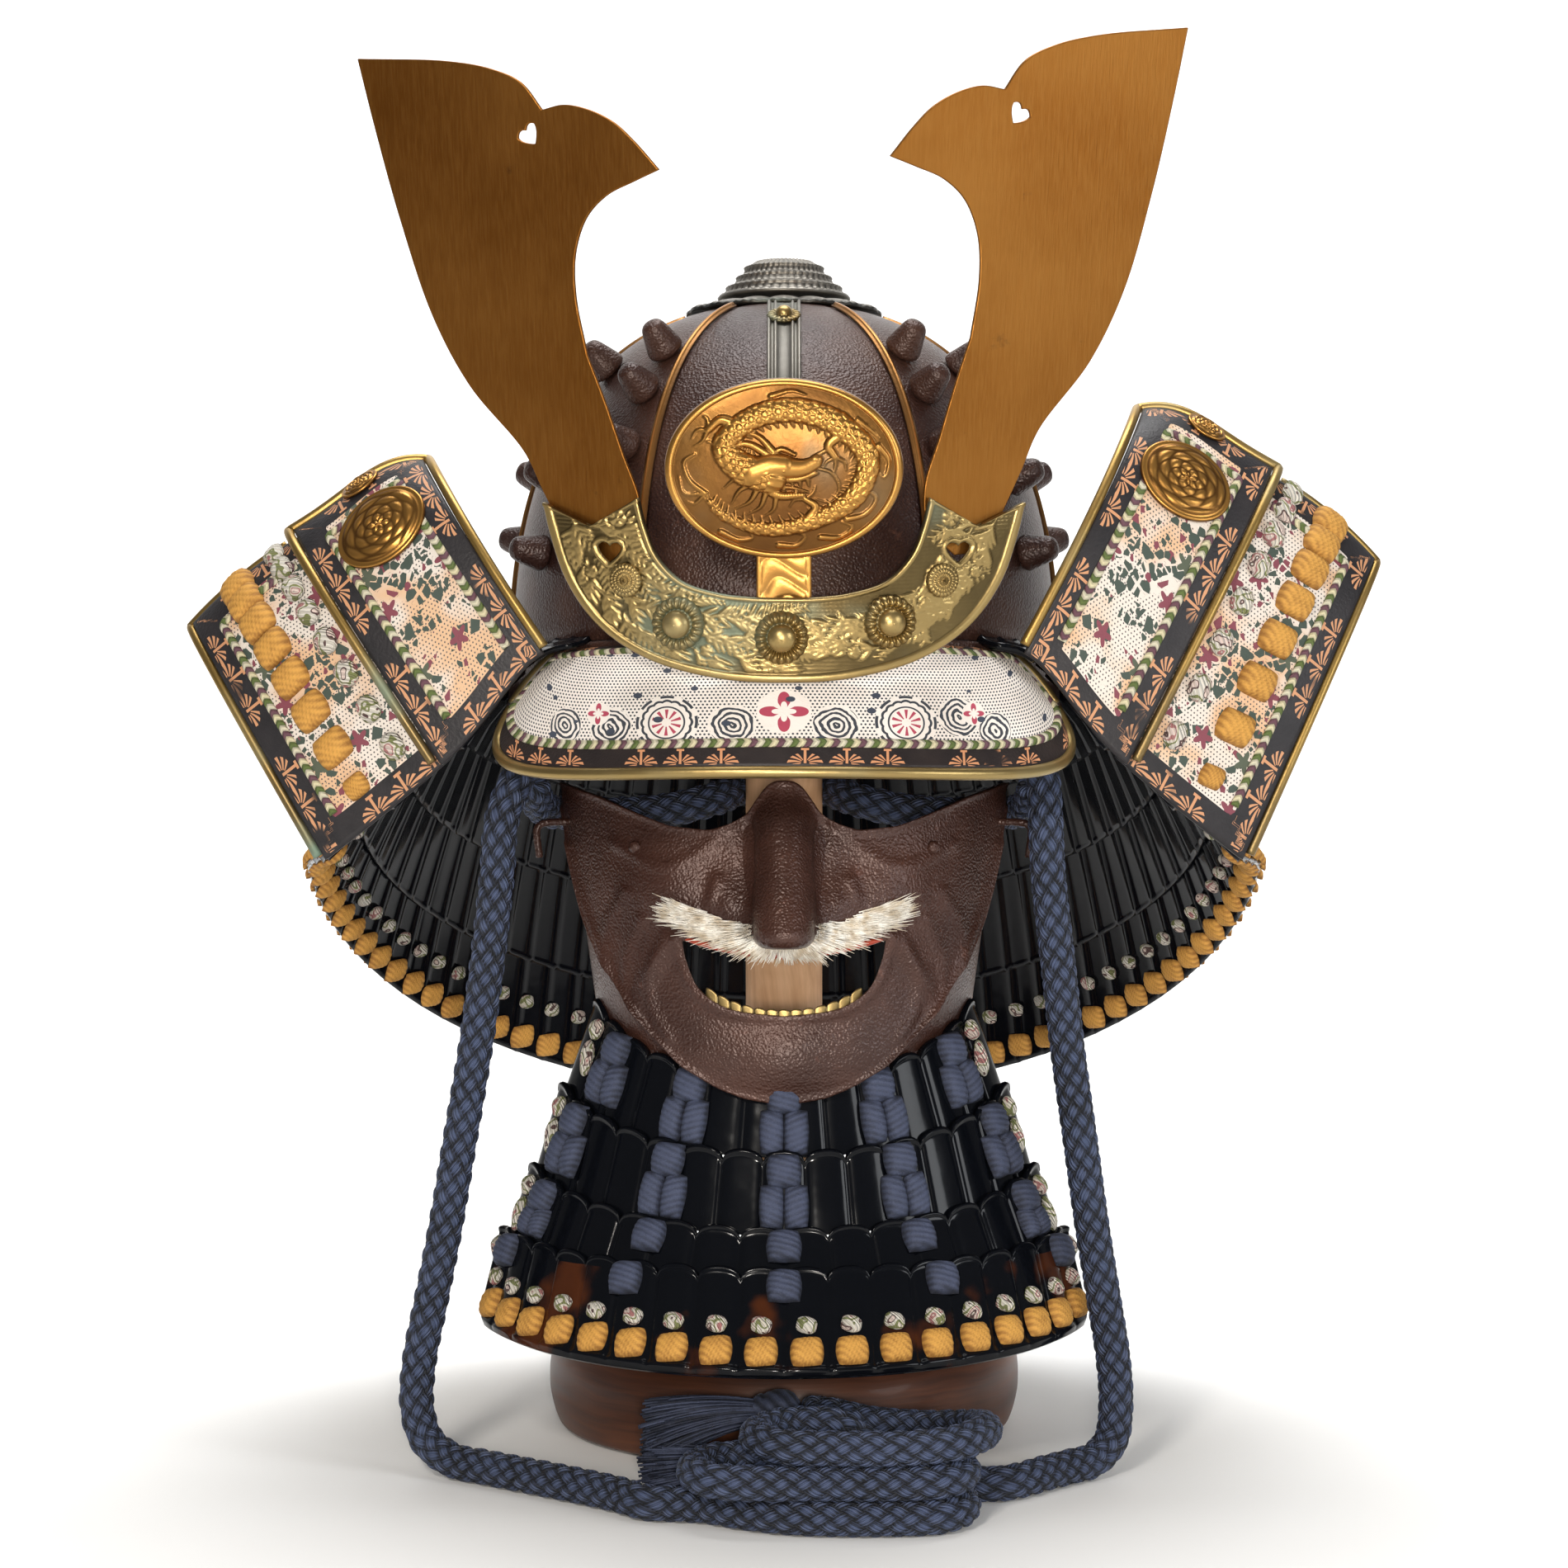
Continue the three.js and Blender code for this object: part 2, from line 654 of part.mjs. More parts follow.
function buildCrest() {
  const profile = stations(1, 0, 3).map((share) => [share * 0.93, domeOfDisc(share * 0.93, 0)]);
  const rows = [[0, 0], [1, 0], [1, discRim * 1.2], [0.94, discRim * 1.2], ...profile];
  const plate = turned(rows, 18).rotateX(Math.PI / 2).scale(discHalfWidth, 1, discHalfHeight);
  const path = new THREE.CatmullRomCurve3(dragonPath.map(({ across, up }) => vec(across, 0, up)));
  const girths = dragonPath.map(({ girth }, i) => [i / (dragonPath.length - 1), girth]);
  const rings = stations(0, 1, 16).map((along) => {
    const centre = path.getPoint(along);
    const heading = path.getTangent(along);
    const sideways = vec(heading.z, 0, -heading.x);
    const radius = dragonRadius * lookUp(girths, along);
    const middle = vec(centre.x * discHalfWidth, -domeOfDisc(centre.x, centre.z), centre.z * discHalfHeight);
    return Array.from({ length: 5 }, (_, i) => {
      const angle = (i / 5) * 2 * Math.PI;
      return middle.clone()
        .addScaledVector(sideways, radius * Math.cos(angle))
        .add(vec(0, -radius * 0.55 * Math.sin(angle), 0));
    });
  });
  const crest = fused(plate, skin(rings));
  const stemFront = holderThickness / 2 + bentBack(stemWidth / 2) + 2 * clearance;
  place(front, 'crest_disc', crest.translate(0, stemFront - clearance, discHeight), antiqueBrass);
  const stemBottom = holderHeight * 0.15;
  const stemTop = discHeight + discHalfHeight * 0.4;
  const stem = new THREE.BoxGeometry(stemWidth, stemThickness, stemTop - stemBottom);
  place(front, 'crest_stem', stem.translate(0, stemFront + stemThickness / 2, (stemTop + stemBottom) / 2), antiqueBrass);
}

// Neck guard: share 0 is the band, 1 the rim; the front ends run along a slanting fold
const foldAngle = (share) => 41 + 27.5 * Math.max(0, (share - 0.15) / 0.85) ** 0.8;

function neckPoint(angle, share) {
  const root = bandProud + 2 * clearance + neckThickness / 2;
  const halfWidth = mix(bowlHalfWidth + root, rimHalfWidth, share);
  const halfDepth = mix(bowlHalfDepth + root, rimHalfDepth, share);
  const y = -halfDepth * Math.cos(angle);
  const rimY = -rimHalfDepth * Math.cos(angle);
  const rearwards = (rimY + Math.hypot(rimY, 20)) / 2;
  const frontness = THREE.MathUtils.smoothstep(radians(72) - Math.abs(angle), 0, radians(20));
  const rootHeight = mix(-0.45 * bandDrop, 0.5 * bandRise, frontness);
  const rimHeight = -rimDrop - rimRearSlope * rearwards;
  const hump = Math.exp(-(((share - 0.24) / 0.17) ** 2));
  const height = mix(rootHeight, rimHeight, share) + 0.17 * rimDrop * frontness * hump;
  return vec(halfWidth * Math.sin(angle), y, height);
}

const aroundNeck = (turn, share) => {
  const span = Math.PI - radians(foldAngle(share));
  return Math.PI + turn * span;
};

function neckLame(index) {
  const top = index === 0 ? 0 : index / neckLames - neckOverlap;
  const bottom = (index + 1) / neckLames;
  const run = bottom - top;
  const step = index === 0 ? 0 : (neckThickness + 4.5 * clearance) / (1 - neckOverlap / run);
  const surface = (turn, share) => {
    const base = (u, v) => {
      const angle = aroundNeck(u, v);
      return neckPoint(angle > Math.PI ? angle - 2 * Math.PI : angle, v);
    };
    const outward = facing(base, turn, share);
    const offset = step * (1 - (share - top) / run);
    return base(turn, share).addScaledVector(outward, -offset);
  };
  const end = 1 - neckEndSetback;
  const turns = stations(-end, end, 22);
  return sheet(surface, turns, stations(top, bottom, 2), neckThickness / 2, neckThickness / 2);
}

function buildNeckGuard() {
  for (let i = 0; i < neckLames; i += 1) place(helmet, `neck_lame_${i + 1}`, neckLame(i), blackLacquer);
}

// Wings: each side's ribs run out from the fold and curl back; shares of reach, depth and height
const wingRibs = [
  { fold: 0.22, reach: 0.9, depth: 1.12, height: 0.83 },
  { fold: 0.57, reach: 1.03, depth: 0.9, height: 1.01 },
  { fold: 1, reach: 0.95, depth: 0.76, height: 1.05 },
];

// A value between the three ribs, on one smooth curve; u is 0, 1 and 2 at the ribs
function acrossRibs(name, u) {
  const [low, middle, high] = wingRibs.map((rib) => rib[name]);
  return (low * (1 - u) * (2 - u)) / 2 + middle * u * (2 - u) + (high * u * (u - 1)) / 2;
}

function foldPoint(u) {
  const share = acrossRibs('fold', u);
  return neckPoint(radians(foldAngle(share)), share);
}

function wingSurface(side, height) {
  const curl = radians(wingCurl);
  return (u, v) => {
    const out = Math.sin(v * curl) / Math.sin(curl);
    const back = (1 - Math.cos(Math.max(0, v) * curl)) / (1 - Math.cos(curl));
    const root = foldPoint(u);
    return vec(
      side * (root.x + wingReach * acrossRibs('reach', u) * out),
      root.y + wingDepth * acrossRibs('depth', u) * back,
      root.z + height * acrossRibs('height', u) * out,
    );
  };
}

function raised(surface, side, distance) {
  return (u, v) => surface(u, v).addScaledVector(facing(surface, u, v), side * distance);
}

function buildWing(sideName, side, height) {
  const half = wingThickness / 2;
  const outerLift = wingStandoff + half;
  const innerLift = outerLift + wingThickness + clearance;
  const surface = wingSurface(side, height);
  const inner = raised(surface, side, innerLift);
  const outer = raised(surface, side, outerLift);
  const vs = stations(0, 1, 6);
  const innerWidth = foldPoint(0).distanceTo(foldPoint(1));
  const outerWidth = foldPoint(1).distanceTo(foldPoint(2));
  const innerEnd = 1 - 0.5 / innerWidth;
  const outerStart = 1 - wingUnderlap / innerWidth;
  place(helmet, `wing_inner_${sideName}`, sheet(inner, stations(0, innerEnd, 3), vs, half, half), printedLeather);
  place(helmet, `wing_outer_${sideName}`, sheet(outer, [outerStart, ...stations(1, 2, 3)], vs, half, half), printedLeather);

  // brass bars just outside the free edges
  const aside = wingRimRadius + 2 * clearance;
  const endRun = surface(1, 1).distanceTo(surface(1, 1.01)) / 0.01;
  const end = 1 + aside / endRun;
  const ups = [...stations(0.02, 1, 6), end];
  const beside = (panel, u) => ups.map((v) => panel(u, v));
  const along = (panel, us) => us.map((u) => panel(u, end));
  const lifted = raised(surface, side, innerLift + 1.2);
  const innerEdge = [
    ...beside(lifted, -aside / innerWidth),
    ...along(lifted, [0, 0.33, 0.66, innerEnd]),
    ...beside(lifted, innerEnd + aside / innerWidth).reverse(),
  ];
  const outerEdge = [
    ...along(outer, [1.1, 1.33, 1.67, 2]),
    ...beside(outer, 2 + aside / outerWidth).reverse(),
  ];
  for (const [name, edge] of [['inner', innerEdge], ['outer', outerEdge]]) {
    const rim = bar(new PointPath(edge), wingRimRadius, 5, edge.length - 1);
    place(helmet, `wing_rim_${name}_${sideName}`, rim, antiqueBrass);
  }

  const crestAt = [0.45, 0.66];
  const outward = facing(inner, ...crestAt).multiplyScalar(side);
  const seat = inner(...crestAt).addScaledVector(outward, half + clearance);
  const crest = turned([[0, 0], [1, 0], [1, 1.2], [0.8, 2.6], [0, 4]], 14);
  crest.scale(wingCrestRadius, wingCrestRadius * 0.8, 1);
  place(helmet, `wing_crest_${sideName}`, stoodOn(crest, seat, outward), antiqueBrass);
}

// Mask outline: rows are [x as a share of the half width, height as a share above the chin]
const jawLine = [[0, 0], [0.18, 0.02], [0.3, 0.055], [0.45, 0.12], [0.58, 0.21], [0.73, 0.35],
  [0.83, 0.45], [0.89, 0.56], [0.93, 0.69], [0.967, 0.775], [1, 0.93]];
const browLine = [[0, 1], [0.05, 0.995], [0.09, 0.96], [0.13, 0.91], [0.22, 0.865], [0.32, 0.842], [0.49, 0.85],
  [0.63, 0.882], [0.82, 0.928], [0.97, 0.948], [1, 0.95]];

const jawHeight = (x) => chinHeight + maskHeight * lookUp(jawLine, Math.abs(x) / maskHalfWidth);
const browHeight = (x) => chinHeight + maskHeight * lookUp(browLine, Math.abs(x) / maskHalfWidth);

function maskPoint(x, z, proud = 0) {
  const level = (z - chinHeight) / maskHeight;
  const across = Math.min(Math.abs(x) / maskHalfWidth, 0.999);
  const bulge = lookUp([[-0.2, 0.94], [0, 0.96], [0.12, 1.02], [0.3, 1.0], [0.45, 0.99], [0.8, 0.88], [1, 0.8]], level);
  const face = maskDepth * bulge * (1 - across ** 2.2) ** 0.62;
  const bridge = THREE.MathUtils.clamp((level - 0.53) / 0.47, 0, 1);
  const underNose = THREE.MathUtils.smoothstep(level, 0.5, 0.545);
  const noseWidth = mix(15, 8.5, bridge);
  const nose = noseLength * mix(1, 0.22, bridge) * underNose * Math.exp(-(Math.abs(x / noseWidth) ** 2.4));
  const cheek = 5 * Math.exp(-(((Math.abs(x) - 46) / 17) ** 2) - ((level - 0.66) / 0.13) ** 2);
  return vec(x, maskSideY - face - nose - cheek - proud, z);
}

function buildMask() {
  const shares = [0, 0.07, 0.14, 0.22, 0.34, 0.49, 0.65, 0.82, 0.93, 0.99];
  const xs = [...shares.slice(1).reverse().map((share) => -share), ...shares];
  const surface = (u, v) => {
    const x = u * maskHalfWidth;
    return maskPoint(x, mix(jawHeight(x), browHeight(x), v));
  };
  const half = maskThickness / 2;
  const levels = [0, 0.18, 0.36, 0.48, 0.53, 0.62, 0.74, 0.87, 1];
  const shell = sheet(surface, xs, levels, half, half);
  const mouth = new THREE.Shape();
  const corner = (x, z) => new THREE.Vector2(x * mouthWidth, z * mouthHeight);
  mouth.moveTo(-0.5 * mouthWidth, mouthHeight);
  mouth.splineThru([corner(-0.48, 0.72), corner(-0.4, 0.3), corner(-0.25, 0.08), corner(0, 0)]);
  mouth.splineThru([corner(0.25, 0.08), corner(0.4, 0.3), corner(0.48, 0.72), corner(0.5, 1)]);
  mouth.splineThru([corner(0.25, 0.86), corner(0, 0.79), corner(-0.25, 0.86), corner(-0.5, 1)]);
  const tool = new THREE.ExtrudeGeometry(mouth, { depth: maskDepth, bevelEnabled: false, curveSegments: 2 })
    .rotateX(Math.PI / 2).translate(0, maskSideY - maskDepth * 0.5, chinHeight + mouthRise);
  place(kabuto, 'mask', cut(shell, tool), russetIron);

  // teeth along the lower lip, scalloped on their upper edge
  const teeth = (u, v) => {
    const x = u * mouthWidth * 0.36;
    const lip = chinHeight + mouthRise + mouthHeight * (0.02 + 0.3 * (Math.abs(u) ** 2.4));
    const point = maskPoint(x, lip + mix(-4, 3.2 - 1.1 * Math.abs(Math.sin(u * 6.5 * Math.PI)), v));
    return point.setY(point.y + half + toothThickness / 2 + clearance + 0.4);
  };
  place(kabuto, 'mask_teeth', sheet(teeth, stations(-1, 1, 20), [0, 1], toothThickness / 2, toothThickness / 2),
    antiqueBrass);

  // bristles: a lens of hair under the nose that rises at both ends
  const outwards = (x) => Math.abs(x) / moustacheHalfWidth;
  const lip = (x) => chinHeight + mouthRise + mouthHeight * 0.93 + moustacheRise * outwards(x) ** 1.4;
  const hair = stations(-moustacheHalfWidth, moustacheHalfWidth, 14).map((x) => {
    const tall = moustacheHeight * (1 - (0.9 * outwards(x)) ** 3);
    const back = Math.min(...[0, 0.5, 1].map((k) => maskPoint(x, lip(x) + k * tall).y)) - half - clearance - 1.2;
    return [
      vec(x, back, lip(x)),
      vec(x, back - moustacheThickness, lip(x) + 0.2 * tall),
      vec(x, back - moustacheThickness * 0.8, lip(x) + 0.8 * tall),
      vec(x, back, lip(x) + tall),
    ];
  });
  place(kabuto, 'moustache', skin(hair), creamBristle);

  for (const [name, side] of [['left', -1], ['right', 1]]) {
    const x = maskHalfWidth * 0.955;
    const z = chinHeight + maskHeight * 0.83;
    const outward = facing((across, height) => maskPoint(across, height), x, z);
    const root = maskPoint(x, z).addScaledVector(outward, half + clearance + 0.4);
    const elbow = vec(maskHalfWidth * 1.1, root.y - 3, root.z - 1);
    const hook = [root, elbow, vec(elbow.x - 1, elbow.y, elbow.z - 13)].map((p) => p.setX(side * p.x));
    place(kabuto, `hook_${name}`, bar(new PointPath(hook), hookRadius, 6, 2), russetIron);
  }
}

// Throat guard: seams between the lames, as shares of the way from the chin to the lowest edge,
// on the centre line and at the ends
const throatSeams = [
  { reach: 0, height: 0, halfWidth: 0, endReach: 0, endHeight: 0 },
  { reach: 0.152, height: 0.286, halfWidth: 0.271, endReach: 0.091, endHeight: 0.288 },
  { reach: 0.333, height: 0.552, halfWidth: 0.521, endReach: 0.318, endHeight: 0.532 },
  { reach: 0.548, height: 0.69, halfWidth: 0.76, endReach: 0.545, endHeight: 0.736 },
  { reach: 1, height: 1, halfWidth: 1, endReach: 1, endHeight: 1 },
];

function seamPoint(seam, turn) {
  const spread = radians(75);
  const bow = (Math.cos(turn * spread) - Math.cos(spread)) / (1 - Math.cos(spread));
  const topReach = -maskPoint(0, chinHeight).y - throatSetback;
  const reach = mix(topReach, throatBottomReach, seam.reach);
  const endReach = mix(throatEndReach, throatBottomEndReach, seam.endReach);
  const halfWidth = mix(throatTopHalfWidth, throatBottomHalfWidth, seam.halfWidth);
  const height = mix(chinHeight + throatTopRise, throatBottomHeight, seam.height);
  const endHeight = mix(chinHeight + throatEndRise, throatBottomHeight + throatBottomEndRise, seam.endHeight);
  return vec(
    (halfWidth * Math.sin(turn * spread)) / Math.sin(spread),
    mix(-endReach, -reach, bow),
    mix(height, endHeight, turn * turn),
  );
}

function throatLame(index) {
  const [upper, lower] = throatSeams.slice(index, index + 2);
  const shape = (turn, down) => seamPoint(upper, turn).lerp(seamPoint(lower, turn), down);
  const step = index === 0 ? 0 : throatThickness + 3 * clearance;
  return (turn, down) => shape(turn, down).addScaledVector(facing(shape, turn, Math.max(down, 0)), step * (down - 1));
}

function buildThroatGuard() {
  const half = throatThickness / 2;
  for (let i = 0; i < throatSeams.length - 1; i += 1) {
    const downs = i === 0 ? stations(0, 1, 3) : stations(-0.08, 1, 2);
    place(kabuto, `throat_lame_${i + 1}`, sheet(throatLame(i), stations(-1, 1, 14), downs, half, half), blackLacquer);
  }
}

// Stand: the post's head lifts until it meets the inside of the tilted bowl
function headProfile(radius) {
  return headHeight * Math.sqrt(Math.max(0, 1 - (radius / headRadius) ** 2));
}

function seatOfHead() {
  let lowest = Infinity;
  for (const angle of stations(0, 2 * Math.PI, 36)) {
    for (const rise of stations(radians(20), plateRises[plateRises.length - 1], 30)) {
      const inside = toWorld(bowlPoint(angle, rise, -plateThickness - 2 * clearance));
      const radius = Math.hypot(inside.x, inside.y);
      if (radius <= headRadius) lowest = Math.min(lowest, inside.z - headProfile(radius));
    }
  }
  return lowest - clearance;
}

function buildStand() {
  const base = [[0, 0], [0.93, 0], [0.97, 0.08], [1, 0.3], [1, 0.52], [0.97, 0.74], [0.9, 0.9], [0.74, 0.98], [0.3, 1], [0, 1]];
  const baseRows = base.map(([radius, height]) => [radius * baseRadius, height * baseHeight]);
  place(kabuto, 'stand_base', turned(baseRows, 20), darkWood);
  const seat = seatOfHead();
  const dome = stations(headRadius, 0, 5).map((radius) => [radius, seat + headProfile(radius)]);
  const rows = [
    [0, baseHeight + clearance],
    [postRadius, baseHeight + clearance],
    [postRadius, seat - 14],
    [headRadius * 0.8, seat - 5],
    ...dome,
  ];
  place(kabuto, 'stand_post', turned(rows, 14), paleWood);
}

// Cord routes, points chosen by hand
const leftCordPoints = [
  [-91, -57, 297], [-96, -70, 289], [-105, -88, 277], [-111, -97, 262], [-113, -100, 240], [-117, -101, 205],
  [-122, -102, 170], [-128, -102, 135], [-134, -101, 100], [-140, -99, 70], [-145, -98, 45], [-146, -99, 27],
  [-142, -102, 14], [-132, -108, 7.4], [-118, -119, 6.8], [-100, -134, 6.8], [-80, -151, 6.8], [-63, -167, 6.8],
  [-52, -180, 6.8], [-42.6, -181.6, 6.8],
];
const rightCordPoints = [
  [91, -57, 297], [96, -70, 289], [102, -88, 277], [103, -97, 262], [104, -100, 240], [108, -101, 205],
  [112, -102, 170], [117, -102, 135], [122, -101, 100], [127, -99, 70], [131, -98, 45], [132, -99, 27],
  [130, -102, 14], [123, -108, 7.4], [113, -118, 6.8], [102, -130, 6.8], [93, -141, 6.8], [85, -147.5, 6.8],
  [76.7, -148.6, 6.8],
];
const tieCordPoints = [
  [-100.5, -74.5, 273.5], [-98.6, -56, 264], [-95.6, -40, 259], [-87.4, -28, 257], [-70, -24, 256], [-50, -21, 257],
  [-33, -15, 260], [-23.5, -2, 262], [-19, 14, 263], [-8, 22.2, 263], [8, 22.2, 263], [19, 14, 263],
  [23.5, -2, 262], [33, -15, 260], [50, -21, 257], [70, -24, 256], [87.4, -28, 257], [95.6, -40, 259], [98.6, -56, 264],
  [100, -74.9, 273.5],
];
const hankFootprint = { left: -42, right: 76, front: -212, back: -152 };
const hankTopFootprint = { left: 4, right: 76, front: -178, back: -116 };

function cordGeometry(points, steps) {
  const path = new THREE.CatmullRomCurve3(points.map((p) => vec(...p)), false, 'centripetal');
  return bar(path, cordRadius, 8, steps);
}

function stadium({ left, right, front: near, back }, height) {
  const radius = (back - near) / 2;
  const middle = (back + near) / 2;
  const shape = new THREE.Shape();
  shape.absarc(right - radius, middle, radius, -Math.PI / 2, Math.PI / 2, false);
  shape.absarc(left + radius, middle, radius, Math.PI / 2, 1.5 * Math.PI, false);
  return new THREE.ExtrudeGeometry(shape, { depth: height, bevelEnabled: false, curveSegments: 5 });
}

// Tassel: a bound head, a narrow neck and a skirt of locks along a heading
const tasselRows = [
  { along: 0, girth: 0.45, lock: 0 },
  { along: 4, girth: 0.78, lock: 0 },
  { along: 12, girth: 0.78, lock: 0 },
  { along: 16, girth: 0.6, lock: 0.04 },
  { along: 26, girth: 0.8, lock: 0.1 },
  { along: 40, girth: 0.95, lock: 0.14 },
  { along: 54, girth: 1, lock: 0.2 },
];

function tasselGeometry(head, heading) {
  const forward = heading.clone().normalize();
  const sideways = vec(0, 0, 1).cross(forward).normalize();
  const upwards = forward.clone().cross(sideways);
  return skin(tasselRows.map(({ along, girth, lock }) => Array.from({ length: 10 }, (_, i) => {
    const angle = (i / 10) * 2 * Math.PI;
    const radius = tasselRadius * girth * (1 + (i % 2 ? -lock : lock));
    return head.clone()
      .addScaledVector(forward, along)
      .addScaledVector(sideways, radius * Math.cos(angle))
      .addScaledVector(upwards, radius * 0.9 * Math.sin(angle));
  })));
}

function buildCords() {
  place(kabuto, 'cord_left', cordGeometry(leftCordPoints, 18), navyCord);
  place(kabuto, 'cord_right', cordGeometry(rightCordPoints, 18), navyCord);
  place(kabuto, 'cord_tie', cordGeometry(tieCordPoints, 20), navyCord);
  const hank = fused(stadium(hankFootprint, hankHeight), stadium(hankTopFootprint, hankTopHeight));
  place(kabuto, 'cord_hank', hank.translate(0, 0, 0.2), navyCord);
  place(kabuto, 'tassel_lower', tasselGeometry(vec(5.2, -136, 11.2), vec(-1, 0.05, 0)), navyCord);
  place(kabuto, 'tassel_upper', tasselGeometry(vec(6.4, -131, 31.4), vec(-1, 0.12, 0)), navyCord);
}

buildStand();
buildBowl();
buildCrown();
buildVisor();
buildHolder();
buildHorns();
buildCrest();
buildNeckGuard();
buildWing('left', -1, leftWingHeight);
buildWing('right', 1, rightWingHeight);
buildMask();
buildThroatGuard();
buildCords();

export default kabuto;
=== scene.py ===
from math import acos, asin, atan, atan2, cos, pi, radians, sin

import bmesh
import bpy
import numpy as np
from mathutils import Matrix, Vector


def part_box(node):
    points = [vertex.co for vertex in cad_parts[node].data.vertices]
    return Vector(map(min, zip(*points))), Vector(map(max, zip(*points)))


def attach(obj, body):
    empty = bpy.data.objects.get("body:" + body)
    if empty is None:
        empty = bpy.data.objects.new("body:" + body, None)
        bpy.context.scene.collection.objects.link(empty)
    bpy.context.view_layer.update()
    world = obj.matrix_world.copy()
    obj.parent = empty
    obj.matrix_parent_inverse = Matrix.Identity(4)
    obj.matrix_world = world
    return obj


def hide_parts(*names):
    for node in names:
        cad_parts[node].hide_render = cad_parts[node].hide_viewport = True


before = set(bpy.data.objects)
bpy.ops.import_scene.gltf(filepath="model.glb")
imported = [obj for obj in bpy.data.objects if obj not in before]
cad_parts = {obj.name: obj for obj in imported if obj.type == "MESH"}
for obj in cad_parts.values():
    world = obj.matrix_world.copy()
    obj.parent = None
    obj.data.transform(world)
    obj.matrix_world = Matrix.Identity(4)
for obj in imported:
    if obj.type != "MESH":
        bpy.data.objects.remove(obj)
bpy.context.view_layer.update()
mm = 0.001


# Camera, light and floor

view = {"elevation": 5.5, "distance": 2.2, "aimHeight": 0.266, "lens": 122.6}


def setView():
    up = radians(view["elevation"])
    camera = bpy.data.objects.new("camera", bpy.data.cameras.new("camera"))
    bpy.context.scene.collection.objects.link(camera)
    aim = Vector((0, 0, view["aimHeight"]))
    camera.location = aim + view["distance"] * Vector((0, -cos(up), sin(up)))
    camera.rotation_euler = (pi / 2 - up, 0, 0)
    camera.data.lens = view["lens"]
    camera.data.sensor_width = 36
    camera.data.clip_start = 0.05
    bpy.context.scene.camera = camera


studio = {"Color": (0.95, 0.96, 1, 1), "Strength": 0.17}
lamps = [{"name": "key", "place": (-0.5, -2.0, 1.2), "size": 0.35, "power": 20, "color": (1, 0.94, 0.86)},
    {"name": "flash", "place": (0.05, -2.3, 0.45), "size": 0.16, "power": 25, "color": (1, 0.94, 0.86)},
    {"name": "fill", "place": (1.7, -1.3, 0.8), "size": 0.9, "power": 13, "color": (0.94, 0.97, 1)},
    {"name": "top", "place": (0.1, 0.1, 1.8), "size": 1.0, "power": 7, "color": (1, 1, 1)},
    {"name": "wall", "place": (0, 0.6, 2.1), "size": 1.6, "power": 60, "color": (1, 1, 1),
    "aim": (0, 2.4, 0.6)}]
lampAim = (0, 0, 0.28)
backdrop = {"halfWidth": 4.0, "front": -2.8, "bend": 1.4, "radius": 0.9, "top": 3.2,
    "color": (0.9, 0.9, 0.89)}


def setLights():
    for lamp in lamps:
        light = bpy.data.lights.new(lamp["name"], "AREA")
        light.shape, light.size = "DISK", lamp["size"]
        light.energy, light.color = lamp["power"], lamp["color"]
        thing = bpy.data.objects.new(lamp["name"], light)
        bpy.context.scene.collection.objects.link(thing)
        thing.location = lamp["place"]
        aim = Vector(lamp.get("aim", lampAim)) - Vector(lamp["place"])
        thing.rotation_euler = aim.to_track_quat("-Z", "Y").to_euler()
    world = bpy.data.worlds.new("studio")
    world.use_nodes = True
    for socket, value in studio.items():
        world.node_tree.nodes["Background"].inputs[socket].default_value = value
    bpy.context.scene.world = world
    bpy.context.scene.view_settings.view_transform = "Standard"


def makeBackdrop():
    # A pale floor that bends up into a wall
    half, radius, bend = backdrop["halfWidth"], backdrop["radius"], backdrop["bend"]
    curve = [(backdrop["front"], 0)] + [(bend + radius * sin(a), radius * (1 - cos(a)))
        for a in np.linspace(0, pi / 2, 16)] + [(bend + radius, backdrop["top"])]
    rows = np.array([[(x, y, z - 0.0004) for x in (-half, half)] for y, z in curve]) / mm
    paper = Finish("palePaper", backdrop["color"], 0.9).material
    piece("backdrop", Form(rows, [gridFaces(len(curve), 2, flip=True)]), paper)


# Shader maths: a wire carries one value, and Python's operators add the Math nodes

class Wire:
    def __init__(self, finish, socket):
        self.finish, self.socket = finish, socket

    def join(self, operation, *others):
        return self.finish.node("ShaderNodeMath", {"operation": operation},
            dict(enumerate((self,) + others)))

    def __rsub__(self, other):
        return (self * -1) + other

    def ramp(self, low, high):
        return self.finish.node("ShaderNodeMapRange", {"interpolation_type": "SMOOTHSTEP"},
            {"Value": self, "From Min": low, "From Max": high})


wireMaths = {"__add__": "ADD", "__radd__": "ADD", "__sub__": "SUBTRACT", "__mul__": "MULTIPLY",
    "__rmul__": "MULTIPLY", "__truediv__": "DIVIDE", "__pow__": "POWER", "__gt__": "GREATER_THAN",
    "__lt__": "LESS_THAN", "wrapped": "FLOORED_MODULO", "most": "MAXIMUM", "size": "ABSOLUTE",
    "sine": "SINE", "cosine": "COSINE", "floor": "FLOOR", "angleTo": "ARCTAN2"}
for label, operation in wireMaths.items():
    setattr(Wire, label, lambda wire, *others, operation=operation: wire.join(operation, *others))


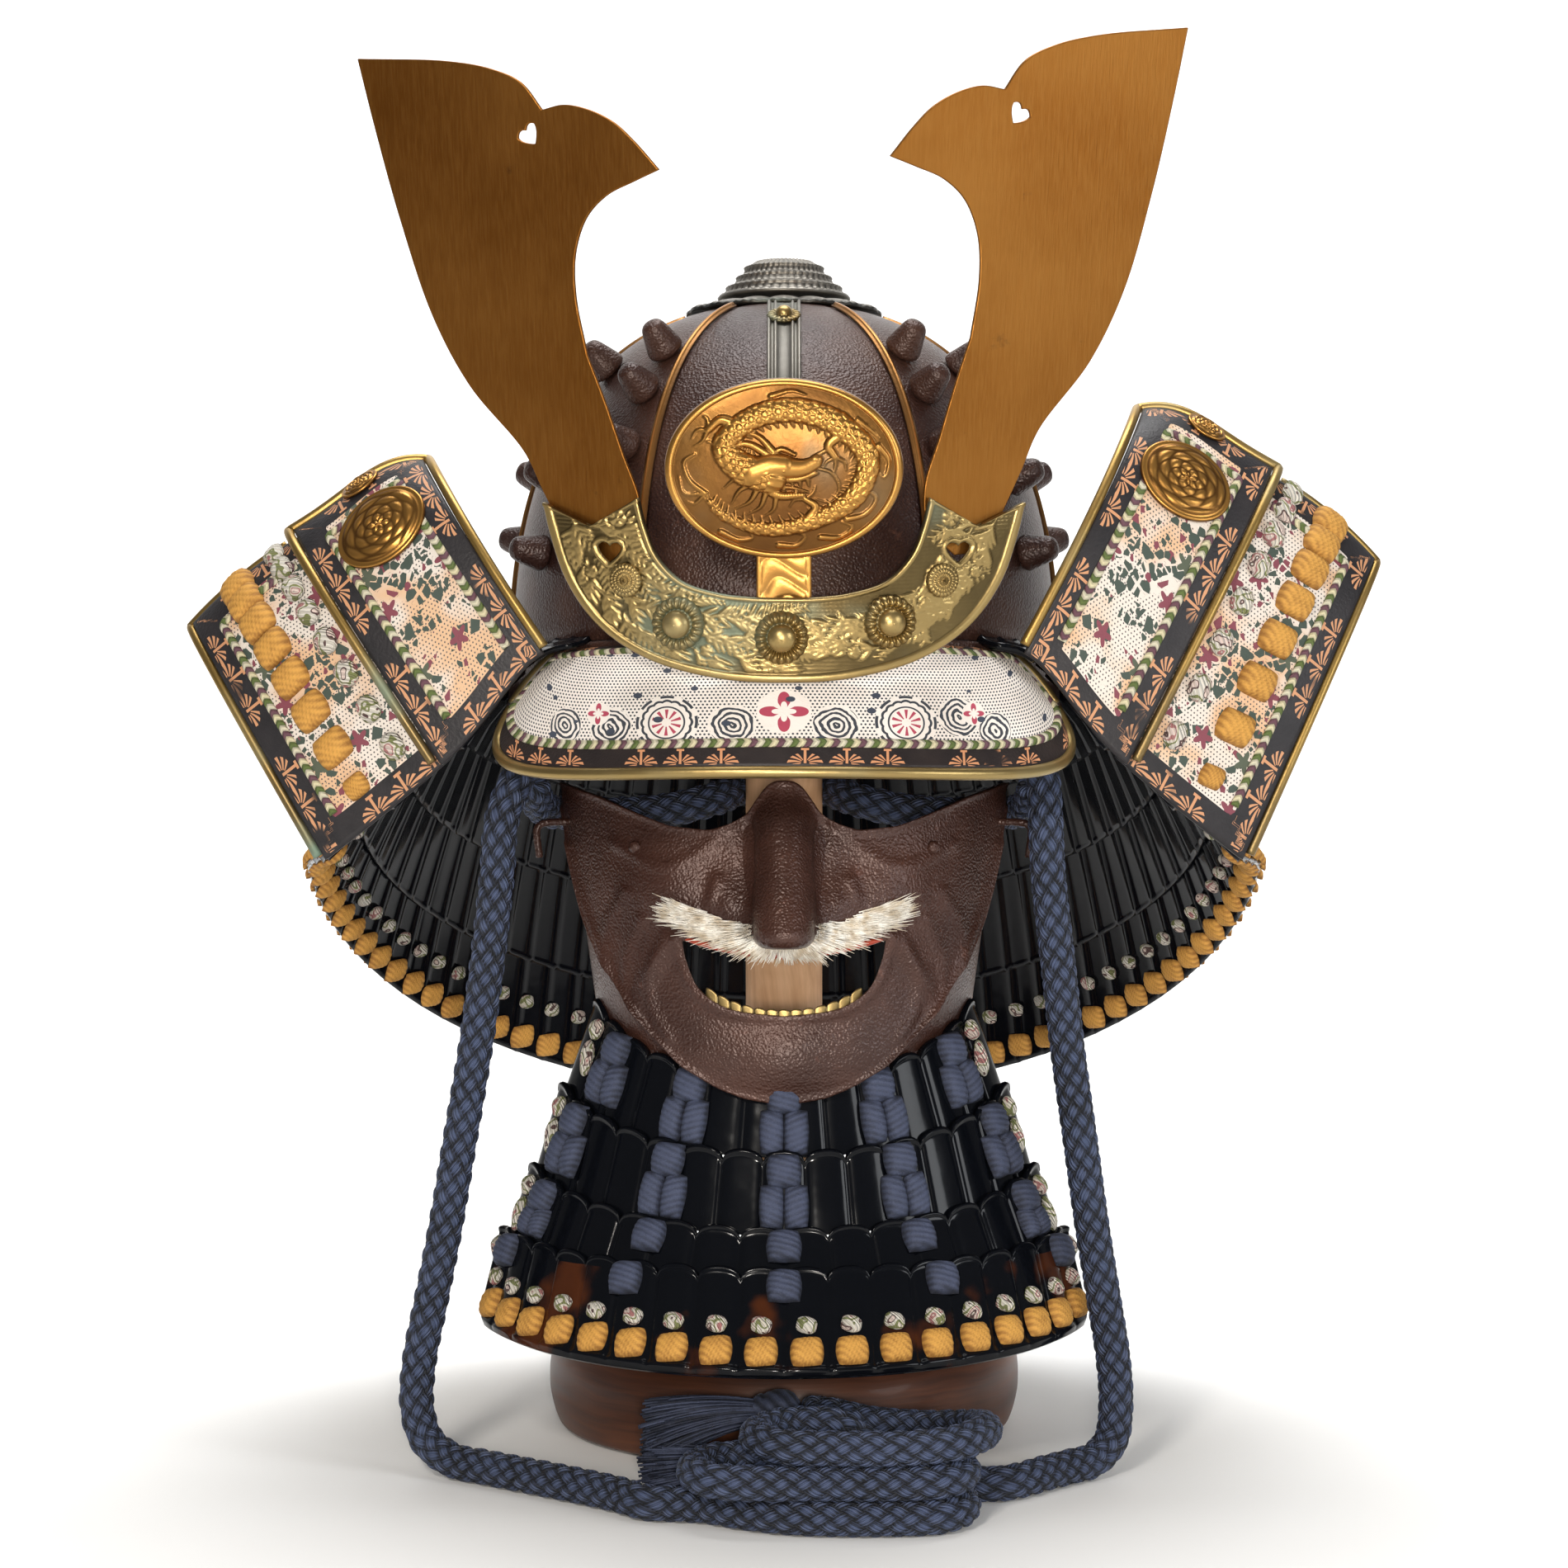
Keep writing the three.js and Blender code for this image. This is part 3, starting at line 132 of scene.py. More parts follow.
class Finish:
    def __init__(self, name, color=(0.5, 0.5, 0.5), roughness=0.5, metallic=0.0, coat=0.0,
            coatRoughness=0.05, sheen=0.0, specular=0.5):
        self.material = bpy.data.materials.new(name)
        self.material.use_nodes = True
        self.material.diffuse_color = (*color, 1)
        self.tree = self.material.node_tree
        self.shader = self.tree.nodes["Principled BSDF"]
        for socket, value in (("Base Color", (*color, 1)), ("Roughness", roughness), ("Metallic", metallic),
                ("Coat Weight", coat), ("Coat Roughness", coatRoughness), ("Sheen Weight", sheen),
                ("Specular IOR Level", specular)):
            self.shader.inputs[socket].default_value = value

    def feed(self, socket, value):
        if isinstance(value, Wire):
            self.tree.links.new(value.socket, socket)
        elif hasattr(socket.default_value, "__len__"):
            size = len(socket.default_value)
            filled = tuple(value) + (1,) * 4 if hasattr(value, "__len__") else (value,) * 4
            socket.default_value = filled[:size]
        else:
            socket.default_value = value

    def node(self, kind, settings=None, inputs=None, output=0):
        made = self.tree.nodes.new(kind)
        for key, value in (settings or {}).items():
            setattr(made, key, value)
        for key, value in (inputs or {}).items():
            self.feed(made.inputs[key], value)
        return Wire(self, made.outputs[output])

    def setStops(self, ramp, stops):
        while len(ramp.elements) > 1:
            ramp.elements.remove(ramp.elements[-1])
        ramp.elements[0].position, ramp.elements[0].color = stops[0][0], (*stops[0][1], 1)
        for place, color in stops[1:]:
            ramp.elements.new(place).color = (*color, 1)

    def drive(self, socket, value):
        self.feed(self.shader.inputs[socket], value)

    def place(self):
        return self.node("ShaderNodeTexCoord", output="Object")

    def acrossAlong(self):
        flat = self.node("ShaderNodeTexCoord", output="UV")
        return self.axis(flat, "X"), self.axis(flat, "Y")

    def axis(self, vector, name):
        return self.node("ShaderNodeSeparateXYZ", inputs={0: vector}, output=name)

    def spot(self, x, y, z=0.0):
        return self.node("ShaderNodeCombineXYZ", inputs={"X": x, "Y": y, "Z": z})

    def stretched(self, vector, scale, move=(0, 0, 0)):
        return self.node("ShaderNodeMapping", inputs={"Vector": vector, "Scale": scale, "Location": move})

    def noise(self, vector, scale, detail=3, roughness=0.5, output="Fac"):
        return self.node("ShaderNodeTexNoise", inputs={"Vector": vector, "Scale": scale, "Detail": detail,
            "Roughness": roughness}, output=output)

    def cells(self, vector, scale, feature="F1", output="Distance", randomness=1.0):
        return self.node("ShaderNodeTexVoronoi", {"feature": feature},
            {"Vector": vector, "Scale": scale, "Randomness": randomness}, output)

    def blend(self, share, first, second):
        return self.node("ShaderNodeMix", {"data_type": "RGBA"}, {0: share, 6: first, 7: second}, 2)

    def mark(self, name):
        return self.node("ShaderNodeAttribute", {"attribute_name": name}, output="Fac")

    def stepped(self, value, stops):
        made = self.tree.nodes.new("ShaderNodeValToRGB")
        made.color_ramp.interpolation = "CONSTANT"
        self.setStops(made.color_ramp, stops)
        self.feed(made.inputs[0], value)
        return Wire(self, made.outputs[0])

    def bump(self, height, depth, strength=1.0):
        self.drive("Normal",
            self.node("ShaderNodeBump", inputs={"Height": height, "Distance": depth, "Strength": strength}))


# Finishes

def russetFinish(name, dark, bright, roughness):
    f = Finish(name, bright, roughness, 0.25)
    place = f.place()
    skin = f.cells(place, 1050, "SMOOTH_F1")
    cloud = f.noise(place, 26, 4)
    wear = f.noise(place, 130, 5, 0.7)
    brown = f.blend(cloud.ramp(0.35, 0.68), dark, bright)
    f.drive("Base Color", f.blend(wear.ramp(0.6, 0.75) * 0.5, brown, [2.0 * c for c in bright]))
    f.drive("Roughness", roughness + 0.14 * cloud + 0.08 * skin)
    f.bump(skin + wear * 0.25, 0.00065, 0.6)
    return f.material


def brassFinish(name, bright, dark, green, roughness):
    f = Finish(name, bright, roughness, 0.92)
    place = f.place()
    cloud = f.noise(place, 22, 5, 0.6)
    fine = f.noise(place, 260, 4, 0.6)
    low = 1 - f.mark("height").ramp(0.05, 0.75)
    tone = f.blend((low * 0.75 + (cloud - 0.5) * 0.9).ramp(0.0, 1.0), bright, dark)
    if green:
        patch = f.noise(f.stretched(place, (1, 1, 1), (0.31, 0.7, 0.12)), 17, 3)
        corroded = patch.ramp(0.52, 0.68) * (0.35 + 0.65 * low) * green
        tone = f.blend(corroded, tone, (0.17, 0.24, 0.18))
        f.drive("Metallic", 0.92 - corroded * 0.6)
        f.drive("Roughness", roughness + 0.25 * (cloud - 0.4) + corroded * 0.3)
    else:
        f.drive("Roughness", roughness + 0.22 * (cloud - 0.45))
    f.drive("Base Color", tone)
    f.bump(fine, 0.00025, 0.5)
    return f.material


def hornFinish():
    f = Finish("hornBrass", (0.36, 0.2, 0.075), 0.34, 0.95)
    place = f.place()
    strokes = f.noise(f.stretched(place, (1100, 1100, 14)), 1, 3, 0.65)
    cloud = f.noise(place, 9, 4, 0.55)
    spots = f.noise(place, 70, 5, 0.7)
    warm = f.blend(cloud.ramp(0.3, 0.7), (0.2, 0.07, 0.0095), (0.28, 0.115, 0.022))
    streaked = f.blend(strokes.ramp(0.35, 0.7) * 0.3, warm, (0.32, 0.15, 0.034))
    f.drive("Base Color", f.blend(spots.ramp(0.64, 0.78) * 0.55, streaked, (0.07, 0.03, 0.012)))
    f.drive("Roughness", 0.24 + 0.2 * cloud + 0.12 * strokes)
    f.bump(strokes, 0.00015, 0.6)
    return f.material


def lacquerFinish(name, color=(0.0025, 0.003, 0.0045)):
    f = Finish(name, color, 0.16, 0.0, 0.12, specular=0.13)
    place = f.place()
    cloud = f.noise(place, 40, 3)
    f.drive("Roughness", 0.08 + 0.14 * cloud)
    amber = f.noise(place, 28, 3).ramp(0.56, 0.66) * (f.axis(place, "Z") < 0.088)
    f.drive("Base Color", f.blend(amber * 0.6, color, (0.09, 0.024, 0.006)))
    f.bump(f.noise(place, 60, 2), 0.0006, 0.5)
    return f.material


def braidFinish(name, pale, dark):
    f = Finish(name, pale, 0.7)
    share, along = f.acrossAlong()
    turn, climb = share * cord["strands"], along / cord["pitch"]
    right, left = turn + climb, turn - climb
    over = (right.floor() + left.floor()).wrapped(2.0) > 0.5
    across = (over * right + (1 - over) * left).wrapped(1.0)
    lengthwise = (over * left + (1 - over) * right).wrapped(1.0)
    yarns = ((across * cord["yarns"] + lengthwise * 0.8) * 2 * pi).sine()
    fuzz = f.noise(f.place(), 1300, 3)
    hue = f.noise(f.place(), 60, 3)
    height = f.mark("height")
    # Painted light: where the height mark is high, the strand tops turn pale as painted highlight. The
    # valleys between strands, and the dips between yarns, go near-black as painted shade. The hue noise is
    # the cord's own dye variation.
    f.drive("Base Color", f.blend((height ** 2.1 * 0.98 + (hue - 0.5) * 0.5 + yarns * 0.16).ramp(0.0, 1.05),
        dark, pale))
    f.bump(yarns * 0.6 + fuzz * 0.6, 0.0006, 0.9)
    return f.material


def threadFinish(name, pale, dark):
    f = Finish(name, pale, 0.8)
    place = f.place()
    hue = f.noise(place, 210, 3)
    fuzz = f.noise(place, 1500, 2)
    height = f.mark("height")
    # Painted shade: where the height mark is low (the edges of each lobe or block and the grooves between
    # its ribs) the thread goes dark, and where it is high it goes pale. On tassel strands the mark is a
    # random value per strand. The hue noise is the thread's own dye variation.
    f.drive("Base Color", f.blend((height * 0.9 + (hue - 0.5) * 0.8).ramp(0.0, 0.9), dark, pale))
    f.bump(fuzz, 0.0006, 0.7)
    return f.material


def knotFinish():
    f = Finish("manyColoredKnots", (0.6, 0.55, 0.5), 0.8)
    share, along = f.acrossAlong()
    patches = f.noise(f.place(), 170, 1, 0.4) * 2.4 + share * 0.2
    tone = f.stepped(patches.wrapped(1.0), [(0, (0.74, 0.7, 0.62)), (0.28, (0.2, 0.22, 0.08)),
        (0.42, (0.72, 0.66, 0.56)), (0.6, (0.42, 0.17, 0.17)), (0.72, (0.74, 0.6, 0.54)),
        (0.9, (0.1, 0.05, 0.05))])
    ply = ((share * 6 + along * 7) * 2 * pi).sine()
    # Painted shade: the grooves between the plies, where ply is low, are blended towards dark brown; the
    # stepped tones are the knots' own colours.
    f.drive("Base Color", f.blend(ply.ramp(-1.6, -0.5), (0.2, 0.17, 0.12), tone))
    f.bump(f.noise(f.place(), 1300, 2) * 0.5 + ply, 0.0006, 0.9)
    return f.material


def woodFinish(name, pale, dark, roughness, coat, ringed):
    f = Finish(name, pale, roughness, 0.0, coat, 0.12, specular=0.3)
    place = f.place()
    wobble = f.noise(place, 9, 3, output="Color")
    bent = f.node("ShaderNodeVectorMath", {"operation": "MULTIPLY_ADD"},
        {0: wobble, 1: (0.03, 0.03, 0.02), 2: place})
    grain = f.noise(f.stretched(bent, (12, 12, 300) if ringed else (300, 300, 14)), 1, 4, 0.6)
    broad = f.noise(f.stretched(bent, (20, 20, 60)), 1, 2)
    f.drive("Base Color", f.blend((grain * 0.7 + broad * 0.6).ramp(0.4, 0.95), dark, pale))
    f.drive("Roughness", roughness + 0.16 * grain)
    f.bump(grain, 0.0006, 0.3)
    return f.material


def bristleFinish():
    f = Finish("creamBristle", (0.84, 0.78, 0.66), 0.55, sheen=0.2)
    f.drive("Base Color", f.blend(f.noise(f.place(), 240, 3).ramp(0.3, 0.65), (0.62, 0.52, 0.38),
        (0.92, 0.89, 0.82)))
    return f.material


# Printed deerskin: a white field with small figures, braided piping and dark borders with fan leaves

def fanLeaves(u, v, pitch, height):
    # Four blades low on each side of a stem with a crossbar; every fourth place is left empty
    x = u.wrapped(pitch) - pitch / 2
    away = (x * x + v * v) ** 0.5
    angle = x.angleTo(v).size() - away * (0.25 / height)
    blades = ((angle - 0.12) * (2 * pi / 0.36)).cosine() > -0.1
    reach = height * (0.62 + 0.3 * angle)
    fan = blades * (away < reach) * (away > height * 0.24) * (angle > 0.3) * (v > -0.4)
    bar = (x.size() < height * 0.22) * ((v - height * 0.92).size() < height * 0.07)
    stem = (x.size() < height * 0.075) * (v > 0.0) * (v < height * 0.92)
    kept = (u / pitch).floor().wrapped(4.0) < 2.5
    return fan.most(stem).most(bar) * kept


def chevrons(f, along, share, width):
    # share runs once round the braid, with a quarter turn on top
    aside = ((share + 0.25).wrapped(1.0) - 0.5).size()
    fold = (along + aside * width * 2.6) / width
    tone = f.stepped((fold * 0.25).wrapped(1.0), [(0, (0.1, 0.14, 0.035)), (0.25, (0.62, 0.56, 0.36)),
        (0.5, (0.13, 0.055, 0.075)), (0.75, (0.6, 0.56, 0.42))])
    # groove peaks at the creases between strands; it sinks the bump, and pipingFinish also uses it to paint
    # shade there.
    groove = (fold * 2 * pi).cosine() * 0.5 + 0.5
    return tone, groove


def polar(u, v, centre):
    x, y = u - centre[0], v - centre[1]
    return (x * x + y * y) ** 0.5, x.angleTo(y)


def rosette(u, v, centre, radius):
    away, angle = polar(u, v, centre)
    petals = ((angle * 10).cosine() > 0.35) * (away < radius * 0.5) * (away > radius * 0.16)
    scallop = radius * (0.8 + 0.05 * (angle * 8).cosine().size())
    ring = ((away - radius * 0.6).size() < radius * 0.03).most((away - scallop).size() < radius * 0.045)
    return petals, ring.most(((away - radius).size() < radius * 0.05) * ((angle * 8).cosine() >
        -0.3)), away < radius * 1.06


def diamondFlower(u, v, centre, radius):
    away, angle = polar(u, v, centre)
    spread = radius * (0.66 + 0.34 * (angle * 4).cosine())
    petals = (away < spread) * (away > spread * 0.5) * ((angle * 4).cosine() > -0.5)
    white = ((angle * 8).cosine() > 0.1) * (away < radius * 0.45)
    return petals * (1 - white), away < radius * 1.1


def peony(f, u, v, centre, radius):
    away, angle = polar(u, v, centre)
    bent = f.noise(f.spot(u * 0.16, v * 0.16, 5.5), 1, 2) * 11
    waves = (away * (2 * pi / 2.3) + bent + (angle * 2).sine() * 0.8).sine()
    return (waves > 0.05) * (away < radius), away < radius * 1.05


def visorLeather():
    f = Finish("printedVisor", (0.8, 0.76, 0.7), 0.55, specular=0.25)
    u, v = f.acrossAlong()
    deep, border = visor["patternDepth"], visor["border"]
    away = f.mark("edge")
    ink, rose = (0.045, 0.05, 0.062), (0.4, 0.06, 0.1)
    cell = f.spot((u + (v / 1.55).floor() * 0.85).wrapped(1.7) - 0.85, v.wrapped(1.55) - 0.775)
    dots = f.node("ShaderNodeVectorMath", {"operation": "LENGTH"}, {0: cell}, "Value") < 0.46
    white = f.blend(f.noise(f.place(), 40, 3), (0.66, 0.58, 0.51), (0.88, 0.84, 0.8))
    tone = f.blend(dots, white, ink)
    for centre in visor["peonies"]:
        petals, inside = peony(f, u, v, (centre[0], centre[1] * deep), centre[2])
        tone = f.blend(petals, f.blend(inside, tone, white), ink)
    for centre in visor["rosettes"]:
        petals, ring, inside = rosette(u, v, (centre, deep * 0.54), 12.2)
        tone = f.blend(petals, f.blend(inside, tone, white), rose)
        tone = f.blend(ring * inside, tone, ink)
    for centre, size in visor["diamonds"]:
        petals, inside = diamondFlower(u, v, (centre, deep * 0.66), size)
        tone = f.blend(petals, f.blend(inside, tone, white), rose)
    leaves = f.cells(f.spot(u * 0.085, v * 0.12, 4.7), 1) < 0.17
    tone = f.blend(leaves, tone, (0.05, 0.06, 0.085))
    edge = away < border
    plants = fanLeaves(u, away - border * 0.16, 16.0, border * 0.72)
    gone = f.noise(f.place(), 60, 2).ramp(0.3, 0.42)
    dark = f.blend(f.noise(f.place(), 90, 3), (0.01, 0.008, 0.009), (0.034, 0.025, 0.023))
    tone = f.blend(edge, tone, f.blend(plants * gone, dark, (0.56, 0.26, 0.13)))
    f.drive("Base Color", tone)
    f.drive("Roughness", 0.62 - edge * 0.2)
    f.bump(f.noise(f.place(), 800, 3), 0.0004, 0.5)
    return f.material


def wingLeather():
    f = Finish("printedWing", (0.7, 0.6, 0.5), 0.6, specular=0.3)
    u, v = f.acrossAlong()
    away, border, place = f.mark("edge"), wing["border"], f.place()
    green, plum = (0.055, 0.075, 0.062), (0.2, 0.055, 0.075)
    warm = f.blend(f.noise(place, 32, 3).ramp(0.44, 0.62), (0.68, 0.62, 0.56), (0.64, 0.42, 0.26))
    region = f.noise(f.spot(u * 0.04, v * 0.04, 3.1), 1, 2)
    cell = f.spot((u + (v / 1.6).floor() * 0.8).wrapped(1.6) - 0.8, v.wrapped(1.6) - 0.8)
    dots = f.node("ShaderNodeVectorMath", {"operation": "LENGTH"}, {0: cell}, "Value") < 0.34
    tone = f.blend(dots * (region > 0.42), warm, (0.09, 0.08, 0.08))
    hairs = (f.noise(f.spot(u * 0.5, v * 2.2), 1, 3) > 0.64) * (region < 0.42)
    tone = f.blend(hairs * 0.7, tone, (0.14, 0.1, 0.1))
    for scale, gap, share, seed in ((0.2, 0.13, 0.6, 1.7), (0.33, 0.12, 0.55, 6.3)):
        spot = f.spot(u * scale, v * scale, seed)
        chance = f.cells(spot, 1, output="Color")
        fleck = (f.cells(spot, 1, "DISTANCE_TO_EDGE") > gap) * (f.axis(chance, "X") < share)
        zone = f.noise(f.spot(u * 0.05, v * 0.05, seed), 1, 1) > 0.5
        tone = f.blend(fleck * zone, tone, f.blend(f.axis(chance, "Y") > 0.74, green, plum))
    wide = f.spot(u * 0.042, v * 0.042, 2.2)
    centre = f.node("ShaderNodeVectorMath", {"operation": "SUBTRACT"},
        {0: wide, 1: f.cells(wide, 1, output="Position", randomness=0.8)})
    x, y = f.axis(centre, "X"), f.axis(centre, "Y")
    angle = x.angleTo(y)
    star = (x * x + y * y) ** 0.5 < 0.2 * (0.72 + 0.28 * (angle * 5).cosine())
    tone = f.blend(star, tone, f.blend(f.axis(f.cells(wide, 1, output="Color", randomness=0.8), "Z") > 0.6,
        (0.085, 0.1, 0.07), plum))
    edge = away < border
    plants = fanLeaves(f.mark("edgeRun"), away - border * 0.2, 15.0, border * 0.68)
    dark = f.blend(f.noise(place, 90, 3), (0.009, 0.009, 0.011), (0.036, 0.032, 0.034))
    tone = f.blend(edge, tone, f.blend(plants * f.noise(place, 55, 2).ramp(0.3, 0.42), dark,
        (0.54, 0.27, 0.14)))
    f.drive("Base Color", tone)
    f.drive("Roughness", 0.65 - edge * 0.22)
    f.bump(f.noise(place, 800, 3), 0.0004, 0.5)
    return f.material


def pipingFinish():
    f = Finish("pipingBraid", (0.5, 0.5, 0.3), 0.8)
    share, along = f.acrossAlong()
    tone, groove = chevrons(f, along, share, 2.6)
    # Painted shade: the grooves between the braid's strands are darkened towards near-black; the chevron
    # tones are the braid's own colours.
    f.drive("Base Color", f.blend(groove * 0.4, tone, (0.05, 0.05, 0.03)))
    f.bump(f.noise(f.place(), 1500, 2) - groove * 0.8, 0.0007, 0.8)
    return f.material


# Forms: points in millimetres, faces of three or four corners, and what each point carries

class Form:
    def __init__(self, points, faces, uv=None, period=0, **marks):
        self.period = period
        self.points = np.asarray(points, float).reshape(-1, 3)
        self.faces = [np.asarray(group, int) for group in faces if len(group)]
        count = len(self.points)
        self.uv = np.zeros((count, 2)) if uv is None else np.asarray(uv, float).reshape(-1, 2)
        self.marks = {name: np.broadcast_to(np.asarray(value, float).ravel() if np.ndim(value) else value,
            (count,)) for name, value in marks.items()}

    def moved(self, turn=None, move=(0, 0, 0)):
        points = self.points if turn is None else self.points @ np.asarray(turn, float).T
        return Form(points + np.asarray(move, float), self.faces, self.uv, **self.marks)


def together(forms):
    points, faces, uvs, start = [], {}, [], 0
    names = sorted({name for form in forms for name in form.marks})
    marks = {name: [] for name in names}
    for form in forms:
        points.append(form.points)
        uvs.append(form.uv)
        for group in form.faces:
            faces.setdefault(group.shape[1], []).append(group + start)
        for name in names:
            marks[name].append(form.marks.get(name, np.zeros(len(form.points))))
        start += len(form.points)
    return Form(np.concatenate(points), [np.concatenate(group) for group in faces.values()],
        np.concatenate(uvs), **{name: np.concatenate(values) for name, values in marks.items()})


def cornerUv(form):
    # Where a face crosses the seam of a wrapped pattern, its low corners move up by one period
    corners = []
    for group in form.faces:
        uv = form.uv[group]
        if form.period:
            uv[..., 0] += form.period * (uv[..., 0].max(1, keepdims=True) - uv[..., 0] > form.period / 2)
        corners.append(uv.reshape(-1, 2))
    return np.concatenate(corners)


def piece(name, form, finish, smooth=True, outward=False):
    mesh = bpy.data.meshes.new(name)
    mesh.vertices.add(len(form.points))
    mesh.vertices.foreach_set("co", (form.points * mm).astype(np.float32).ravel())
    corners = np.concatenate([group.ravel() for group in form.faces])
    sizes = np.concatenate([np.full(len(group), group.shape[1]) for group in form.faces])
    mesh.loops.add(len(corners))
    mesh.loops.foreach_set("vertex_index", corners)
    mesh.polygons.add(len(sizes))
    mesh.polygons.foreach_set("loop_start", np.concatenate([[0], np.cumsum(sizes)[:-1]]))
    mesh.polygons.foreach_set("use_smooth", np.full(len(sizes), smooth))
    layer = mesh.uv_layers.new(name="UVMap")
    layer.data.foreach_set("uv", cornerUv(form).astype(np.float32).ravel())
    for mark, values in form.marks.items():
        mesh.attributes.new(mark, "FLOAT", "POINT").data.foreach_set("value", values.astype(np.float32))
    mesh.update(calc_edges=True)
    mesh.validate()
    if outward:
        shaped = bmesh.new()
        shaped.from_mesh(mesh)
        bmesh.ops.recalc_face_normals(shaped, faces=shaped.faces)
        shaped.to_mesh(mesh)
        shaped.free()
    mesh.materials.append(finish)
    thing = bpy.data.objects.new(name, mesh)
    bpy.context.scene.collection.objects.link(thing)
    return thing


def settle(thing, slot, *nodes):
    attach(thing, "root")
    if nodes:
        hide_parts(*nodes)


slotOf = {"ridgeBrass": "antique_brass", "russetIron": "russet_iron", "darkBronze": "dark_bronze",
    "antiqueBrass": "antique_brass", "printedVisor": "printed_leather", "pipingBraid": "printed_leather",
    "crestBrass": "antique_brass", "maskIron": "russet_iron", "vermilionLacquer": "russet_iron",
    "blackLacquer": "black_lacquer", "printedWing": "printed_leather", "rimBrass": "antique_brass"}


def added(name, form, finish):
    settle(piece(name, form, finish, outward=True), slotOf[finish.name])


def fitted(name, form, finish, *nodes):
    # In place of the nodes given, or of the node that has this piece's name with underscores
    own = "".join("_" + c.lower() if c.isupper() or c.isdigit() else c for c in name)
    settle(piece(name, form, finish, outward=True), slotOf[finish.name], *(nodes or (own,)))


def gridFaces(rows, columns, start=0, wrapRows=False, wrapColumns=False, flip=False):
    i = np.arange(rows if wrapRows else rows - 1)
    j = np.arange(columns if wrapColumns else columns - 1)
    a, b = np.meshgrid(i, j, indexing="ij")
    down, right = (a + 1) % rows, (b + 1) % columns
    quads = stacked(a * columns + b, down * columns + b, down * columns + right,
        a * columns + right).reshape(-1, 4)
    return (quads[:, ::-1] if flip else quads) + start


def wall(outer, inner, uv=None, wraps=False, flip=False, **marks):
    rows, columns = outer.shape[:2]
    count = rows * columns
    index = np.arange(count).reshape(rows, columns)
    faces = [gridFaces(rows, columns, 0, wraps, False, flip), gridFaces(rows, columns, count, wraps, False,
        not flip)]
    borders = [(index[:, 0], False), (index[:, -1], True)]
    if not wraps:
        borders += [(index[0], True), (index[-1], False)]
    for line, turned in borders:
        closed = wraps and len(line) == rows
        ahead = np.roll(line, -1) if closed else line[1:]
        here = line if closed else line[:-1]
        strip = stacked(here, here + count, ahead + count, ahead)
        faces.append(strip[:, ::-1] if turned != flip else strip)
    uv = np.zeros((rows, columns, 2)) if uv is None else uv
    both = {name: np.concatenate([np.broadcast_to(value, (rows, columns)).ravel()] * 2) for name,
        value in marks.items()}
    return Form(np.concatenate([outer.reshape(-1, 3), inner.reshape(-1, 3)]), [np.concatenate(faces)],
        np.concatenate([uv.reshape(-1, 2)] * 2), **both)


def normals(surface):
    along = np.gradient(surface, axis=0)
    across = np.gradient(surface, axis=1)
    facing = np.cross(along, across)
    return facing / np.maximum(np.linalg.norm(facing, axis=2, keepdims=True), 1e-9)


def stacked(*parts):
    return np.stack(np.broadcast_arrays(*parts), -1)


def floats(*values):
    return np.broadcast_arrays(*(np.asarray(value, float) for value in values))


def unit(vectors):
    return vectors / np.linalg.norm(vectors, axis=-1, keepdims=True)


def arch(share):
    return np.sqrt(np.clip(1 - share ** 2, 0, 1))


def bell(away, width):
    return np.exp(-(away / width) ** 2)


def around(count):
    return np.linspace(0, 2 * pi, count, endpoint=False)


def blendIn(low, high, share):
    t = np.clip((np.asarray(share, float) - low) / (high - low), 0, 1)
    return t * t * (3 - 2 * t)


def curveAt(points, shares):
    # A centripetal curve through the points; the shares run evenly from point to point
    rows = np.asarray(points, float)
    rows = np.vstack([2 * rows[0] - rows[1], rows, 2 * rows[-1] - rows[-2]])
    gaps = np.maximum(np.linalg.norm(np.diff(rows, axis=0), axis=1), 1e-6) ** 0.5
    place = np.clip(np.asarray(shares, float), 0, 1) * (len(rows) - 3)
    i = np.minimum(place.astype(int), len(rows) - 4)
    t = (place - i)[:, None]
    p0, p1, p2, p3 = (rows[i + k] for k in range(4))
    d0, d1, d2 = (gaps[i + k][:, None] for k in range(3))
    leaving = ((p1 - p0) / d0 - (p2 - p0) / (d0 + d1) + (p2 - p1) / d1) * d1
    reaching = ((p2 - p1) / d1 - (p3 - p1) / (d1 + d2) + (p3 - p2) / d2) * d1
    t2, t3 = t * t, t * t * t
    return (2 * t3 - 3 * t2 + 1) * p1 + (t3 - 2 * t2 + t) * leaving + (3 * t2 - 2 * t3) * p2 + (t3
        - t2) * reaching


def smoothPath(points, spacing):
    return evenly(curveAt(points, np.linspace(0, 1, 24 * (len(points) - 1) + 1)), spacing)


def evenly(path, spacing):
    steps = np.linalg.norm(np.diff(path, axis=0), axis=1)
    run = np.concatenate([[0], np.cumsum(steps)])
    stations = np.linspace(0, run[-1], max(2, int(round(run[-1] / spacing)) + 1))
    return np.stack([np.interp(stations, run, path[:, k]) for k in range(3)], -1)


def runOf(path):
    return np.concatenate([[0], np.cumsum(np.linalg.norm(np.diff(path, axis=0), axis=1))])


def framesAlong(path, up=(0, 0, 1)):
    tangents = np.gradient(path, axis=0)
    tangents = unit(tangents)
    if np.ndim(up) == 2:
        sides = np.cross(tangents, up)
        sides = unit(sides)
        return sides, np.cross(sides, tangents)
    side = np.cross(tangents[0], up)
    if np.linalg.norm(side) < 1e-3:
        side = np.cross(tangents[0], (1, 0, 0))
    sides = []
    for tangent in tangents:
        side = side - tangent * side.dot(tangent)
        side = side / np.linalg.norm(side)
        sides.append(side)
    sides = np.array(sides)
    return sides, np.cross(sides, tangents)


